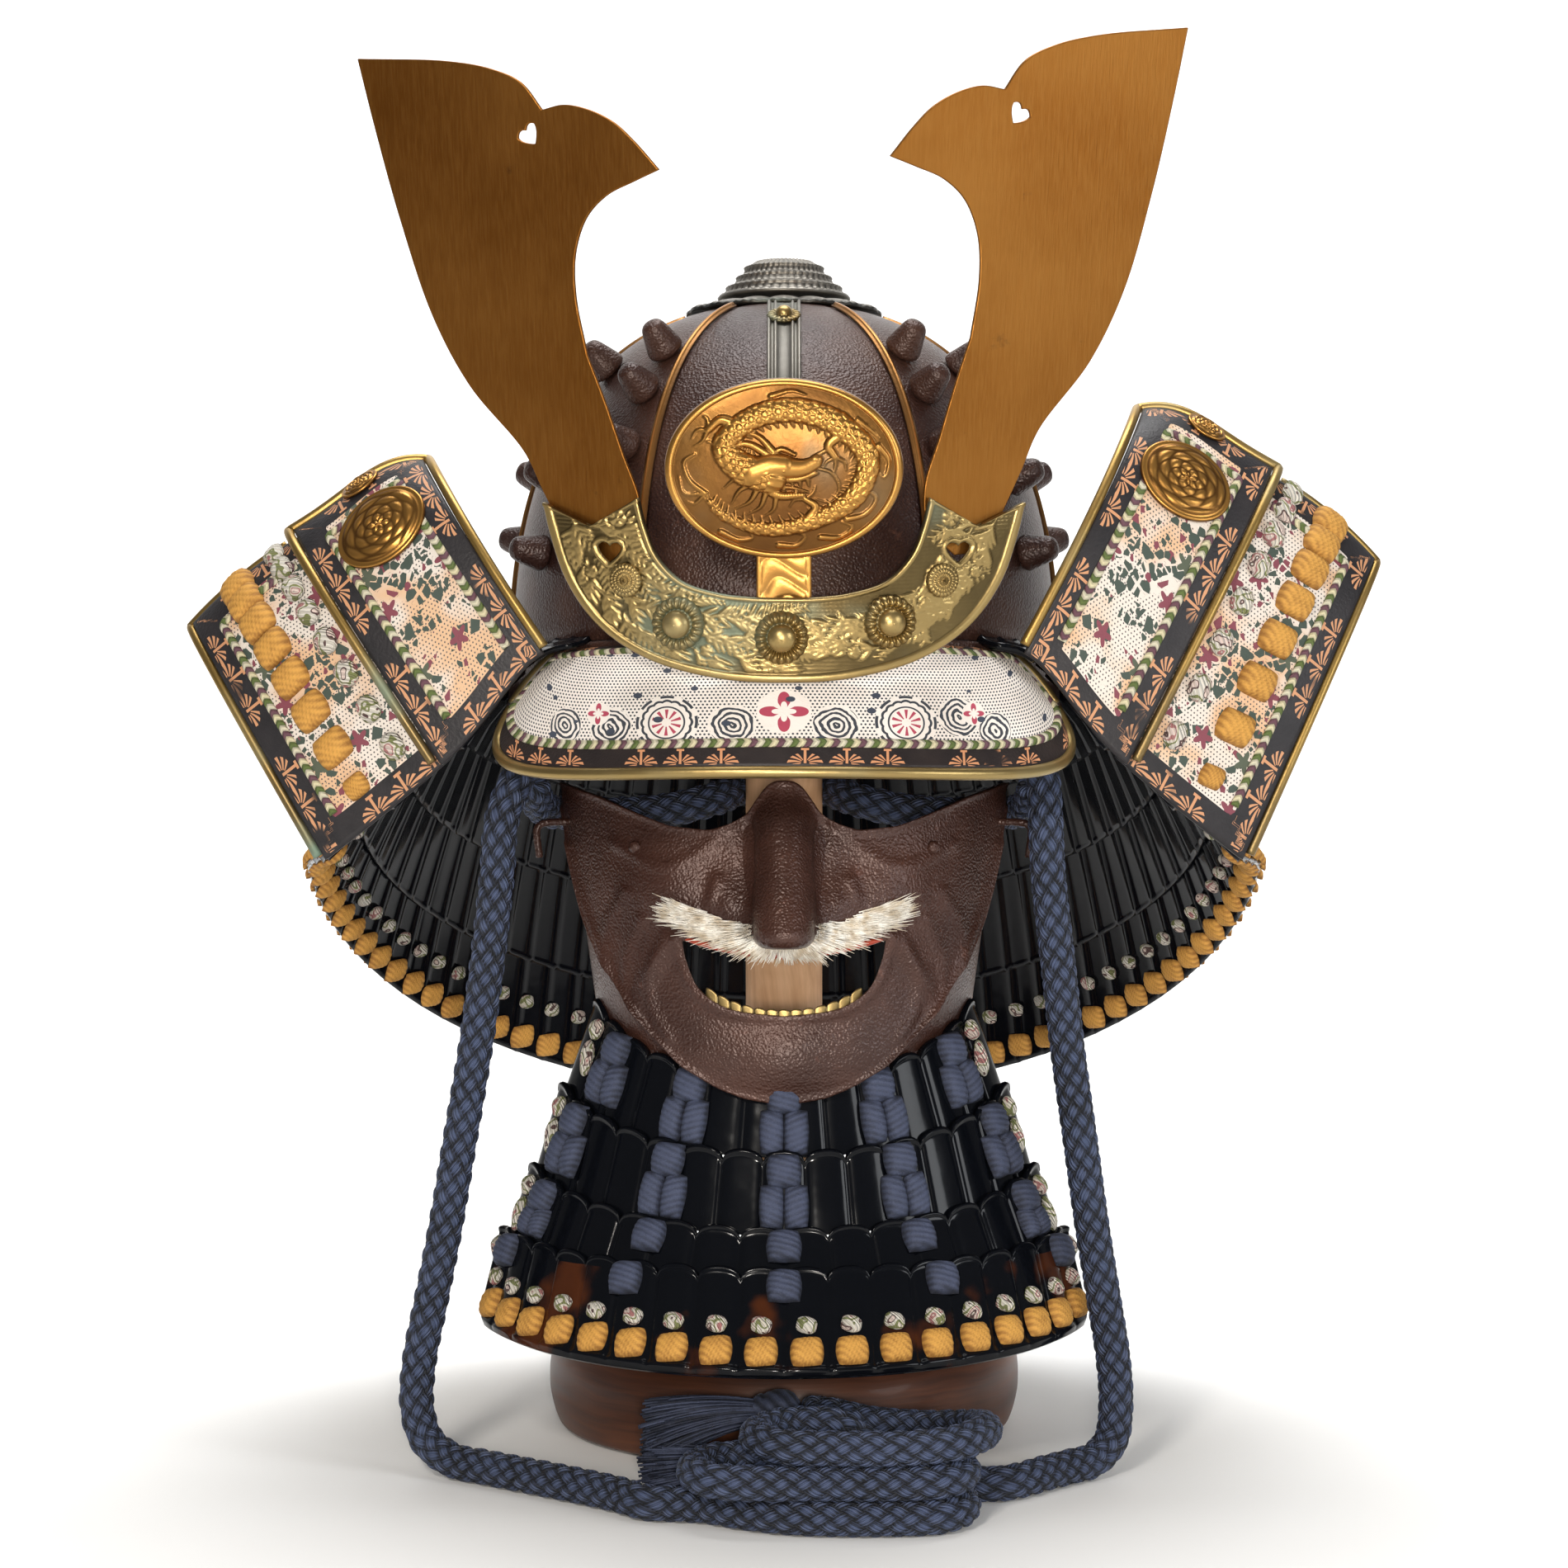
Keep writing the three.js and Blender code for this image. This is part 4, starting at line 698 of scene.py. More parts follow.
def tube(path, radius, sides=12, closed=False, up=(0, 0, 1), squash=1.0, marks=None):
    # radius is one number, one for each station, or a table of stations by sides
    across, above = framesAlong(path, up)
    angles = around(sides)
    reach = np.asarray(radius, float)
    if reach.ndim == 0:
        reach = np.full((len(path), sides), float(reach))
    elif reach.ndim == 1:
        reach = np.repeat(reach[:, None], sides, axis=1)
    ring = (across[:, None] * np.cos(angles)[None, :, None]
        + above[:, None] * (squash * np.sin(angles))[None, :, None])
    points = path[:, None] + ring * reach[..., None]
    count = len(path)
    faces = [gridFaces(count, sides, 0, closed, True, True)]
    run = runOf(path)
    uv = stacked(angles[None] / (2 * pi), run[:, None]).reshape(-1, 2)
    flat = points.reshape(-1, 3)
    values = {name: np.asarray(value).ravel() for name, value in (marks or {}).items()}
    if not closed:
        flat = np.vstack([flat, path[0], path[-1]])
        uv = np.vstack([uv, [0, 0], [0, run[-1]]])
        values = {name: np.concatenate([value, [value[0], value[-1]]]) for name, value in values.items()}
        ring = np.arange(sides)
        after = (ring + 1) % sides
        first = stacked(np.full(sides, count * sides), ring, after)
        last = stacked(np.full(sides, count * sides + 1), after + (count - 1) * sides,
            ring + (count - 1) * sides)
        faces += [first, last]
    return Form(flat, faces, uv, **values)


def lathe(profile, sides, relief=None):
    # Rows of [radius, level]; relief(angle, share) moves each point outwards along its normal
    rows = np.asarray(profile, float)
    angles = around(sides)
    slope = np.gradient(rows, axis=0)
    outward = stacked(slope[:, 1], -slope[:, 0])
    outward /= np.maximum(np.linalg.norm(outward, axis=1, keepdims=True), 1e-9)
    lift = np.zeros((len(rows), sides))
    if relief is not None:
        share = np.linspace(0, 1, len(rows))
        lift = relief(angles[None], share[:, None]) * np.ones((len(rows), sides))
    radius = rows[:, 0, None] + outward[:, 0, None] * lift
    level = rows[:, 1, None] + outward[:, 1, None] * lift
    points = stacked(radius * np.cos(angles), radius * np.sin(angles), level)
    return points, lift


def turnTo(direction, up=(0, 0, 1)):
    # Columns: across, upwards and outwards, for a thing made to face +Z
    out = np.asarray(direction, float)
    out = out / np.linalg.norm(out)
    across = np.cross(up, out)
    if np.linalg.norm(across) < 1e-6:
        across = np.cross((0, 1, 0), out)
    across /= np.linalg.norm(across)
    return stacked(across, np.cross(out, across), out)


# Geometry Nodes: one thing at each point of a small cloud, turned and sized by the point

class Tree:
    def __init__(self, name, inputs):
        self.tree = bpy.data.node_groups.new(name, "GeometryNodeTree")
        self.tree.interface.new_socket("Geometry", in_out="INPUT", socket_type="NodeSocketGeometry")
        self.keys = {}
        for label, kind, value in inputs:
            socket = self.tree.interface.new_socket(label, in_out="INPUT", socket_type=kind)
            self.keys[label] = (socket.identifier, value)
        self.tree.interface.new_socket("Geometry", in_out="OUTPUT", socket_type="NodeSocketGeometry")
        self.start = self.tree.nodes.new("NodeGroupInput")
        self.end = self.tree.nodes.new("NodeGroupOutput")

    def add(self, kind, settings=None, inputs=None):
        made = self.tree.nodes.new(kind)
        for key, value in (settings or {}).items():
            setattr(made, key, value)
        for key, value in (inputs or {}).items():
            if isinstance(value, bpy.types.NodeSocket):
                self.tree.links.new(value, made.inputs[key])
            else:
                made.inputs[key].default_value = value
        return made

    def given(self, label):
        return self.start.outputs[label]

    def finishWith(self, geometry):
        real = self.add("GeometryNodeRealizeInstances", inputs={0: geometry})
        painted = self.add("GeometryNodeSetMaterial",
            inputs={"Geometry": real.outputs[0], "Material": self.given("Finish")})
        self.tree.links.new(painted.outputs[0], self.end.inputs[0])

    def run(self, name, cloud, **values):
        modifier = cloud.modifiers.new("made", "NODES")
        modifier.node_group = self.tree
        for label, (identifier, value) in self.keys.items():
            modifier[identifier] = values.get(label, value)
        settled = cloud.evaluated_get(bpy.context.evaluated_depsgraph_get())
        mesh = bpy.data.meshes.new_from_object(settled)
        mesh.name = name
        old = cloud.data
        cloud.modifiers.remove(modifier)
        cloud.data = mesh
        cloud.name = name
        bpy.data.meshes.remove(old)
        for polygon in mesh.polygons:
            polygon.use_smooth = True
        return cloud


def cloudOf(places):
    # places are rows of (point, turn matrix, size), in millimetres
    mesh = bpy.data.meshes.new("cloud")
    mesh.from_pydata([tuple(np.asarray(point) * mm) for point, _, _ in places], [], [])
    turns = [tuple(Matrix(turn.tolist()).to_euler()) for _, turn, _ in places]
    sizes = [tuple(np.broadcast_to(size, 3)) for _, _, size in places]
    mesh.attributes.new("turn", "FLOAT_VECTOR", "POINT").data.foreach_set("vector",
        np.array(turns, np.float32).ravel())
    mesh.attributes.new("size", "FLOAT_VECTOR", "POINT").data.foreach_set("vector",
        np.array(sizes, np.float32).ravel())
    cloud = bpy.data.objects.new("cloud", mesh)
    bpy.context.scene.collection.objects.link(cloud)
    return cloud


def spikeTree():
    tree = Tree("domedSpikes", [("Radius", "NodeSocketFloat", 0.0068), ("Height", "NodeSocketFloat", 0.015),
        ("Sides", "NodeSocketInt", 16), ("Finish", "NodeSocketMaterial", None)])
    tip = tree.add("ShaderNodeMath", {"operation": "MULTIPLY"}, {0: tree.given("Radius"), 1: 0.5})
    cone = tree.add("GeometryNodeMeshCone", {"fill_type": "NGON"},
        {"Vertices": tree.given("Sides"), "Side Segments": 3, "Radius Top": tip.outputs[0],
        "Radius Bottom": tree.given("Radius"), "Depth": tree.given("Height")})
    swell = tree.add("GeometryNodeSubdivisionSurface", inputs={"Mesh": cone.outputs[0], "Level": 2})
    placeSpikes(tree, swell.outputs[0])
    return tree


def placeSpikes(tree, shape):
    turn = tree.add("GeometryNodeInputNamedAttribute", {"data_type": "FLOAT_VECTOR"}, {"Name": "turn"})
    size = tree.add("GeometryNodeInputNamedAttribute", {"data_type": "FLOAT_VECTOR"}, {"Name": "size"})
    placed = tree.add("GeometryNodeInstanceOnPoints", inputs={"Points": tree.given("Geometry"),
        "Instance": shape, "Rotation": turn.outputs[0], "Scale": size.outputs[0]})
    tree.finishWith(placed.outputs[0])


def copyTree():
    tree = Tree("onePerPoint", [("Shape", "NodeSocketObject", None), ("Finish", "NodeSocketMaterial", None)])
    shape = tree.add("GeometryNodeObjectInfo", inputs={"Object": tree.given("Shape")})
    placeSpikes(tree, shape.outputs["Geometry"])
    return tree


def repeated(name, template, places, finish):
    shape = piece(name + "Shape", template, finish)
    made = copies.run(name, cloudOf(places), Shape=shape, Finish=finish)
    bpy.data.objects.remove(shape)
    return made


# The frames of the helmet and of the crest's plane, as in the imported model

bowl = {"waistHeight": 315, "tilt": 9, "halfWidth": 111, "halfDepth": 123, "height": 148, "squareness": 2.4,
    "thickness": 2.2, "crownHole": 20, "front": 31, "side": 90, "rear": 149, "spikeRadius": 8.6,
    "spikeHeight": 16.5}
helmetTurn = np.array(Matrix.Rotation(radians(-bowl["tilt"]), 3, "X"))


def fromHelmet(points):
    return np.asarray(points, float) @ helmetTurn.T + (0, 0, bowl["waistHeight"])


def bowlPoint(angle, rise, proud=0.0):
    angle, rise, proud = floats(angle, rise, proud)
    reach = np.cos(rise) ** (2 / bowl["squareness"])
    level = np.sin(rise) ** (2 / bowl["squareness"])
    x, y = bowl["halfWidth"] * reach * np.sin(angle), -bowl["halfDepth"] * reach * np.cos(angle)
    z = bowl["height"] * level
    bend = bowl["squareness"] - 2
    out = stacked(reach ** bend * x / bowl["halfWidth"] ** 2, reach ** bend * y / bowl["halfDepth"] ** 2,
        level ** (bowl["squareness"] - 1) / bowl["height"])
    out = unit(out)
    return stacked(x, y, z) + out * proud[..., None]


def bowlOut(angle, rise):
    out = bowlPoint(angle, rise, 1.0) - bowlPoint(angle, rise)
    return out @ helmetTurn.T


def riseAtHeight(height):
    return asin((height / bowl["height"]) ** (bowl["squareness"] / 2))


def riseAtRadius(radius):
    return acos((radius / bowl["halfWidth"]) ** (bowl["squareness"] / 2))


# Cords: one thick round braid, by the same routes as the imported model

cord = {"diameter": 13.2, "strands": 6, "pitch": 8.4, "relief": 1.5, "step": 1.15, "sides": 42, "yarns": 4}
leftRoute = [(-91, -57, 297), (-96, -70, 289), (-105, -88, 277), (-111, -97, 262), (-113, -100, 240),
    (-117, -101, 205), (-122, -102, 170), (-128, -102, 135), (-134, -101, 100), (-140, -99, 70),
    (-145, -98, 45), (-146, -99, 27), (-142, -102, 14), (-132, -108, 7.4), (-118, -119, 6.8),
    (-100, -134, 6.8), (-80, -151, 6.8), (-63, -167, 6.8), (-52, -180, 6.8), (-42.6, -181.6, 6.8)]
rightRoute = [(91, -57, 297), (96, -70, 289), (102, -88, 277), (103, -97, 262), (104, -100, 240),
    (108, -101, 205), (112, -102, 170), (117, -102, 135), (122, -101, 100), (127, -99, 70), (131, -98, 45),
    (132, -99, 27), (130, -102, 14), (123, -108, 7.4), (113, -118, 6.8), (102, -130, 6.8), (93, -141, 6.8),
    (85, -147.5, 6.8), (76.7, -148.6, 6.8)]
tieRoute = [(-100.5, -74.5, 273.5), (-98.6, -56, 264), (-95.6, -40, 259), (-87.4, -28, 257), (-70, -24, 256),
    (-50, -21, 257), (-33, -15, 260), (-23.5, -2, 262), (-19, 14, 263), (-8, 22.2, 263), (8, 22.2, 263),
    (19, 14, 263), (23.5, -2, 262), (33, -15, 260), (50, -21, 257), (70, -24, 256), (87.4, -28, 257),
    (95.6, -40, 259), (98.6, -56, 264), (100, -74.9, 273.5)]
hank = {"left": -12, "right": 46, "middle": -183.5, "radius": 22.5, "levels": (6.8, 20.1, 33.4)}


def hankTurn(low, high, short=0):
    # Once round, from the front run to the front run, climbing along the back
    left, right, middle, radius = (hank[key] for key in ("left", "right", "middle", "radius"))
    route = [(left + 32, middle - radius, low), (right - 8, middle - radius, low)]
    for degrees in (-60, -30, 0, 30, 60):
        a = radians(degrees)
        route.append((right + radius * cos(a), middle + radius * sin(a), low))
    left += short
    climb = [(right - 6, middle + radius, low + (high - low) * 0.15),
        ((left + right) / 2, middle + radius, (low + high) / 2),
        (left + 8, middle + radius, high - (high - low) * 0.08)]
    route += climb
    for degrees in (120, 150, 180, 210, 240):
        a = radians(degrees)
        route.append((left + radius * cos(a), middle + radius * sin(a), high))
    return route


def leftTail():
    low, middle, high = hank["levels"]
    entry = [(-30, -184.5, low), (-15, -195, low), (3, -203.5, low)]
    over = [(20, -206, high), (46, -205.5, high), (64, -197, high), (75, -180, high), (77, -160, high - 2),
        (70, -140, high - 6), (54, -127, high - 9), (34, -124, high - 8), (18, -127, high - 4)]
    return entry + hankTurn(low, middle) + hankTurn(middle, high, 24) + over + [(6.4, -131, 31.4)]


rightTail = [(62, -147.5, 6.8), (44, -145, 6.8), (26, -140, 7.5), (12, -137, 9.5), (5.2, -136, 11.2)]


def braidRelief(run, sides):
    # Strands climb each way round, over and under by turns; each is round across and dips at its ends
    angle = np.linspace(0, 1, sides, endpoint=False)[None]
    along = run[:, None] / cord["pitch"]
    right, left = angle * cord["strands"] + along, angle * cord["strands"] - along
    over = (np.floor(right) + np.floor(left)) % 2
    across = np.where(over > 0.5, right, left) % 1
    lengthwise = np.where(over > 0.5, left, right) % 1
    return arch(2 * across - 1) * (1 - 0.6 * np.abs(2 * lengthwise - 1) ** 3)


def braidedCord(name, route):
    path = smoothPath(route, cord["step"])
    run = runOf(path)
    height = braidRelief(run, cord["sides"])
    radius = cord["diameter"] / 2 + cord["relief"] * (height - 0.62)
    inward = np.minimum(run, run[-1] - run)
    close = arch(1 - np.clip(inward / 4, 0, 1))
    # The height mark also sets the braid finish's painted highlight on the strand tops and painted shade in
    # the valleys.
    form = tube(path, radius * np.maximum(close, 0.05)[:, None], cord["sides"], marks={"height": height})
    form.period = 1
    return piece(name, form, navyBraid), path


def tassel(name, place, heading, seed, droop):
    # A bound head, a collar, and fine strands that fall open
    forward = np.asarray(heading, float) / np.linalg.norm(heading)
    sideways = np.cross((0, 0, 1), forward)
    sideways /= np.linalg.norm(sideways)
    upwards = np.cross(forward, sideways)
    forms = []
    head = np.asarray(place, float) + forward * np.linspace(0, 18, 16)[:, None]
    girth = np.interp(np.linspace(0, 18, 16), [0, 2, 6, 12, 14.5, 16, 18], [4, 7, 9, 8.4, 6.6, 7.2, 6.2])
    angles = np.linspace(0, 1, 32, endpoint=False)[None]
    twill = 0.35 * np.sin(2 * pi * (angles * 8 + np.linspace(0, 3, 16)[:, None]))
    # The twill height mark darkens the grooves of the bound head as painted shade.
    forms.append(tube(head, girth[:, None] + twill, 32, marks={"height": 0.5 + twill}))
    rng = np.random.default_rng(seed)
    for _ in range(tassels["strands"]):
        angle, ring = rng.uniform(0, 2 * pi), rng.uniform(0.15, 1) ** 0.5
        length = tassels["length"] * rng.uniform(0.82, 1.08)
        t = np.linspace(0, 1, 9)[:, None]
        spread = 6 + 10 * t ** 1.2
        wave = rng.uniform(-1, 1, 2) * 1.4
        path = (np.asarray(place) + forward * (15 + length * t) + sideways * (spread * ring * cos(angle)
            + wave[0] * t) + upwards * (spread * 0.8 * ring * sin(angle) + wave[1] * t))
        path[:, 2] -= droop * t[:, 0] ** 2
        path[:, 2] = np.maximum(path[:, 2], 0.8 + 0.6 * rng.uniform())
        forms.append(tube(path, tassels["thread"], 4, marks={"height": np.full(36, rng.uniform(0.2, 1))}))
    return piece(name, together(forms), navyThread)


tassels = {"strands": 380, "length": 44, "thread": 0.5}


def makeCords():
    leftCord, leftPath = braidedCord("cordLeft", leftRoute + leftTail())
    rightCord, rightPath = braidedCord("cordRight", rightRoute + rightTail)
    tieCord, tiePath = braidedCord("cordTie", tieRoute)
    upper = tassel("tasselUpper", (6.4, -131, 31.4), (-1, 0.12, -0.02), 3, 8)
    lower = tassel("tasselLower", (5.2, -136, 11.2), (-1, 0.05, 0), 8, 4)
    settle(leftCord, "navy_cord", "cord_left", "cord_hank")
    settle(rightCord, "navy_cord", "cord_right")
    settle(tieCord, "navy_cord", "cord_tie")
    settle(upper, "navy_cord", "tassel_upper")
    settle(lower, "navy_cord", "tassel_lower")
    for thing, path, far, ends in ((leftCord, leftPath, "knot", [upper]),
            (rightCord, rightPath, "knot", [lower]), (tieCord, tiePath, "object", [])):
        print(thing.name, "length", round(runOf(path)[-1]), "mm")


# Bowl, ridges, band and crown

def plateShell(start, end, count):
    angles = np.radians(np.linspace(start, end, count))[:, None]
    rises = np.linspace(riseAtHeight(2.3), riseAtRadius(bowl["crownHole"]), 44)[None]
    edge = np.minimum(np.abs(angles - angles[0]),
        np.abs(angles - angles[-1])) * bowl["halfWidth"] * np.cos(rises)
    lift = 0.5 * bell(edge, 2.2)
    outer, inner = bowlPoint(angles, rises, -lift), bowlPoint(angles, rises, -bowl["thickness"])
    return wall(fromHelmet(outer), fromHelmet(inner), flip=True)


spikeColumns = [{"angle": 38, "rises": (7, 17, 28, 40, 51)}, {"angle": 61, "rises": (12, 24, 36, 48)},
    {"angle": 104, "rises": (7, 17, 28, 40, 51)}, {"angle": 128, "rises": (12, 24, 36, 48)}]


# Sections of the raised bars from their middle outwards: place across and height
ridgeProfile = [(0.4, 2.0), (0.9, 1.5), (1.2, 0.75), (1.9, 0.7), (2.1, 0.1)]
stripProfile = [(0, 0.9), (3.0, 1.0), (3.6, 2.3), (4.2, 2.0), (4.6, 1.0), (5.6, 1.1), (5.9, 1.9), (6.6, 2.5),
    (7.3, 1.9), (7.5, 0.4)]


def raisedBar(angle, rises, across, profile, sunk, lift, full):
    spread = 1 / (across * np.cos(rises) ** (2 / bowl["squareness"]))
    whole = [(-u, proud) for u, proud in profile[::-1] if u] + profile
    rows = np.stack([bowlPoint(angle + u * spread, rises, proud + lift) for u, proud in whole], 1)
    under = np.stack([bowlPoint(angle + u * spread, rises, sunk) for u, _ in whole], 1)
    heights = np.array([proud / full for _, proud in whole])[None]
    return wall(fromHelmet(rows), fromHelmet(under), height=heights)


def makeBowl():
    front, side, rear, tiny = bowl["front"], bowl["side"], bowl["rear"], 0.08
    plates = [("plateFront", -front, front, "plate_front"), ("plateRear", rear, 360 - rear, "plate_rear"),
        ("plateFrontRight", front, side, "plate_front_right"),
        ("plateFrontLeft", -side, -front, "plate_front_left"),
        ("plateRearRight", side, rear, "plate_rear_right"),
        ("plateRearLeft", -rear, -side, "plate_rear_left")]
    for name, start, end, node in plates:
        shell = piece(name, plateShell(start + tiny, end - tiny, 40), russet, outward=True)
        settle(shell, "russet_iron", node)
    places = []
    for column in spikeColumns:
        for rise in column["rises"]:
            for side in (-1, 1):
                angle, up = radians(side * column["angle"]), radians(rise)
                out = bowlOut(angle, up)
                places.append((fromHelmet(bowlPoint(angle, up, -0.6)), turnTo(out), 1.0))
    spikes = spikeTree().run("spikes", cloudOf(places), Finish=russet, Radius=bowl["spikeRadius"] * mm,
        Height=bowl["spikeHeight"] * mm)
    settle(spikes, "russet_iron")
    forms, names = [], []
    rises = np.linspace(riseAtHeight(2.3), riseAtRadius(crown["edge"]), 60)
    for side in (-1, 1):
        for key in ("front", "side", "rear"):
            forms.append(raisedBar(radians(side * bowl[key]), rises, bowl["halfWidth"], ridgeProfile, 0.2,
                0.25, 2))
            names.append(f"ridge_{key}_{'left' if side < 0 else 'right'}")
    fitted("ridges", together(forms), ridgeBrass, *names)
    turns = around(160)

    def band(proud, z):
        wide, deep = bowl["halfWidth"] + proud, bowl["halfDepth"] + proud
        return stacked(wide * np.sin(turns), -deep * np.cos(turns), z)

    section = [(2.0, 1.6), (2.2, 0.4), (2.0, -4), (2.0, -14), (2.4, -16), (3.0, -17), (2.6, -18)]
    outer = np.stack([band(p, z) for p, z in section], 1)
    inner = np.stack([band(-2.2, z) for _, z in section], 1)
    fitted("waistBand", wall(fromHelmet(outer), fromHelmet(inner), wraps=True), russet)
    print("bowl made")


crown = {"radius": 39, "edge": 40.2, "opening": 9, "thickness": 2.4, "height": 16, "petals": 16}
# The section of the cone above its seat: radius and height, with steps and grooves
coneProfile = [(27, 0), (27.6, 0.8), (26.6, 1.8), (24.6, 2.4), (23.6, 4.4), (24.2, 5), (22.6, 5.6),
    (20.6, 6.4), (19.4, 8.6), (20, 9.2), (18.2, 9.9), (16.8, 10.6), (16, 12.6), (16.6, 13.4), (14.6, 14.2),
    (13, 15), (11.6, 16), (10.4, 16), (9.2, 15), (9, 12), (9, 0.2), (14, 0)]


def domeLevel(radius):
    share = np.clip(np.asarray(radius, float) / bowl["halfDepth"], 0, 1)
    return bowl["height"] * (1 - share ** bowl["squareness"]) ** (1 / bowl["squareness"])


def makeCrown():
    radii = np.linspace(crown["opening"], crown["radius"], 40)
    angles = around(240)[:, None]
    share = ((radii - 22) / (crown["radius"] - 22))[None]
    petal = np.abs(np.cos(angles * crown["petals"] / 2))
    relief = np.where(share > 0,
        1.3 * np.sqrt(np.clip(petal, 0, 1)) * np.sin(np.clip(share, 0, 1) * pi) ** 0.5, 0)
    relief = relief + 0.35 * np.cos(angles * 60) * (share > 0.85)
    reach = radii[None] * (1 + 0.035 * petal * blendIn(0.7, 1, share))
    under = domeLevel(radii)[None] + 0.3
    outer = stacked(reach * np.cos(angles), reach * np.sin(angles), under + 1.3 + relief)
    inner = stacked(reach * np.cos(angles), reach * np.sin(angles), under)
    fitted("crownRing", wall(fromHelmet(outer), fromHelmet(inner), wraps=True, height=relief / 1.4), bronze)
    seat = float(domeLevel(crown["opening"])) + 0.3 + crown["thickness"] + 0.3
    dense = evenly(np.array([(r, 0, seat + z) for r, z in coneProfile]), 0.6)[:, [0, 2]]
    level = (dense[:, 1] - seat) / crown["height"]

    def flutes(angle, share):
        row = level[:, None]
        outside = (dense[:, 0] > 10.5)[:, None]
        return outside * (0.5 * np.abs(np.cos(angle * 22 + 9 * np.floor(row * 4))) - 0.25) * (row > 0.1)

    points, lift = lathe(dense, 176, flutes)
    faces = [gridFaces(len(dense), 176, 0, True, True)]
    cone = Form(fromHelmet(points.reshape(-1, 3)), faces, height=(lift * 1.2 + 0.5).ravel())
    fitted("crownCone", cone, bronze)
    rises = np.linspace(riseAtHeight(34), riseAtRadius(crown["edge"]), 50)
    strip = raisedBar(0, rises, bowl["halfDepth"], stripProfile, 0.3, 0, 2.5)
    fitted("frontStrip", strip, bronze)
    rise = radians(62)
    boss = flowerBoss(6.6, 4.4, 16, 0.5, 0.7)
    seatPoint = fromHelmet(bowlPoint(0, rise, 1.6))
    added("stripBoss", boss.moved(turnTo(bowlOut(0, rise)), seatPoint), brass)
    print("crown made")


def flowerBoss(radius, tall, petals, heart, relief):
    # A flower head: a domed heart inside one ring of petals
    radii = np.linspace(0.02, 1, 30)[None]
    angles = around(max(petals * 8, 64))[:, None]
    petal = np.abs(np.cos(angles * petals / 2))
    dome = arch(radii / heart)
    ring = np.sin(np.clip((radii - heart) / (1 - heart), 0, 1) * pi) ** 0.6 * (0.35 + 0.65 * petal ** 0.6)
    level = np.where(radii < heart, tall * (0.4 + 0.6 * dome), tall * 0.14 + relief * ring * tall * 0.3)
    reach = radii * radius * (1 + 0.045 * petal * blendIn(0.75, 1, radii))
    return roundRelief(reach * np.cos(angles), reach * np.sin(angles), level, -0.2, level / tall)


def roundRelief(across, upwards, level, floor, height):
    # A closed disc from grids of angles by radii, with its relief above a flat underside
    count, columns = np.broadcast(across, level).shape
    shape = (count, columns)
    form = wall(stacked(across, upwards, level), stacked(across, upwards, floor), wraps=True,
        height=np.clip(height, 0, 1) * np.ones(shape))
    rim = np.arange(0, count * columns, columns)
    return closeCentre(form, rim, rim + count * columns)


def closeCentre(form, *rings):
    points, faces, uv = [form.points], list(form.faces), [form.uv]
    marks = {name: [value] for name, value in form.marks.items()}
    count = len(form.points)
    for ring in rings:
        points.append(form.points[ring].mean(0)[None])
        uv.append(form.uv[ring].mean(0)[None])
        for name in marks:
            marks[name].append([form.marks[name][ring].mean()])
        faces.append(stacked(np.full(len(ring), count), ring, np.roll(ring, -1)))
        count += 1
    return Form(np.concatenate(points), faces, np.concatenate(uv),
        **{n: np.concatenate(v) for n, v in marks.items()})


# Visor

visor = {"angle": 50, "reach": 39, "drop": 49.5, "thickness": 2.5, "rim": 2.4, "border": 9.5,
    "patternDepth": 38, "rosettes": (-46, 48), "diamonds": ((0, 9.5), (-76, 5), (78, 5)),
    "peonies": ((-20, 0.5, 9), (20, 0.5, 9), (-70, 0.5, 9), (71, 0.62, 9), (88, 0.45, 8), (-92, 0.5, 8))}


def visorPoint(share, reach):
    share, reach = floats(share, reach)
    angle = share * radians(visor["angle"])
    corner = 0.3 + 0.7 * (1 - np.minimum(np.abs(share), 1) ** 5) ** 0.2
    out = reach * corner
    heading = angle * 1.2
    return stacked((bowl["halfWidth"] + 2.6) * np.sin(angle) + visor["reach"] * out * np.sin(heading),
        -(bowl["halfDepth"] + 2.6) * np.cos(angle) - visor["reach"] * out * np.cos(heading),
        -2 - visor["drop"] * np.maximum(out, 0) ** 1.5)


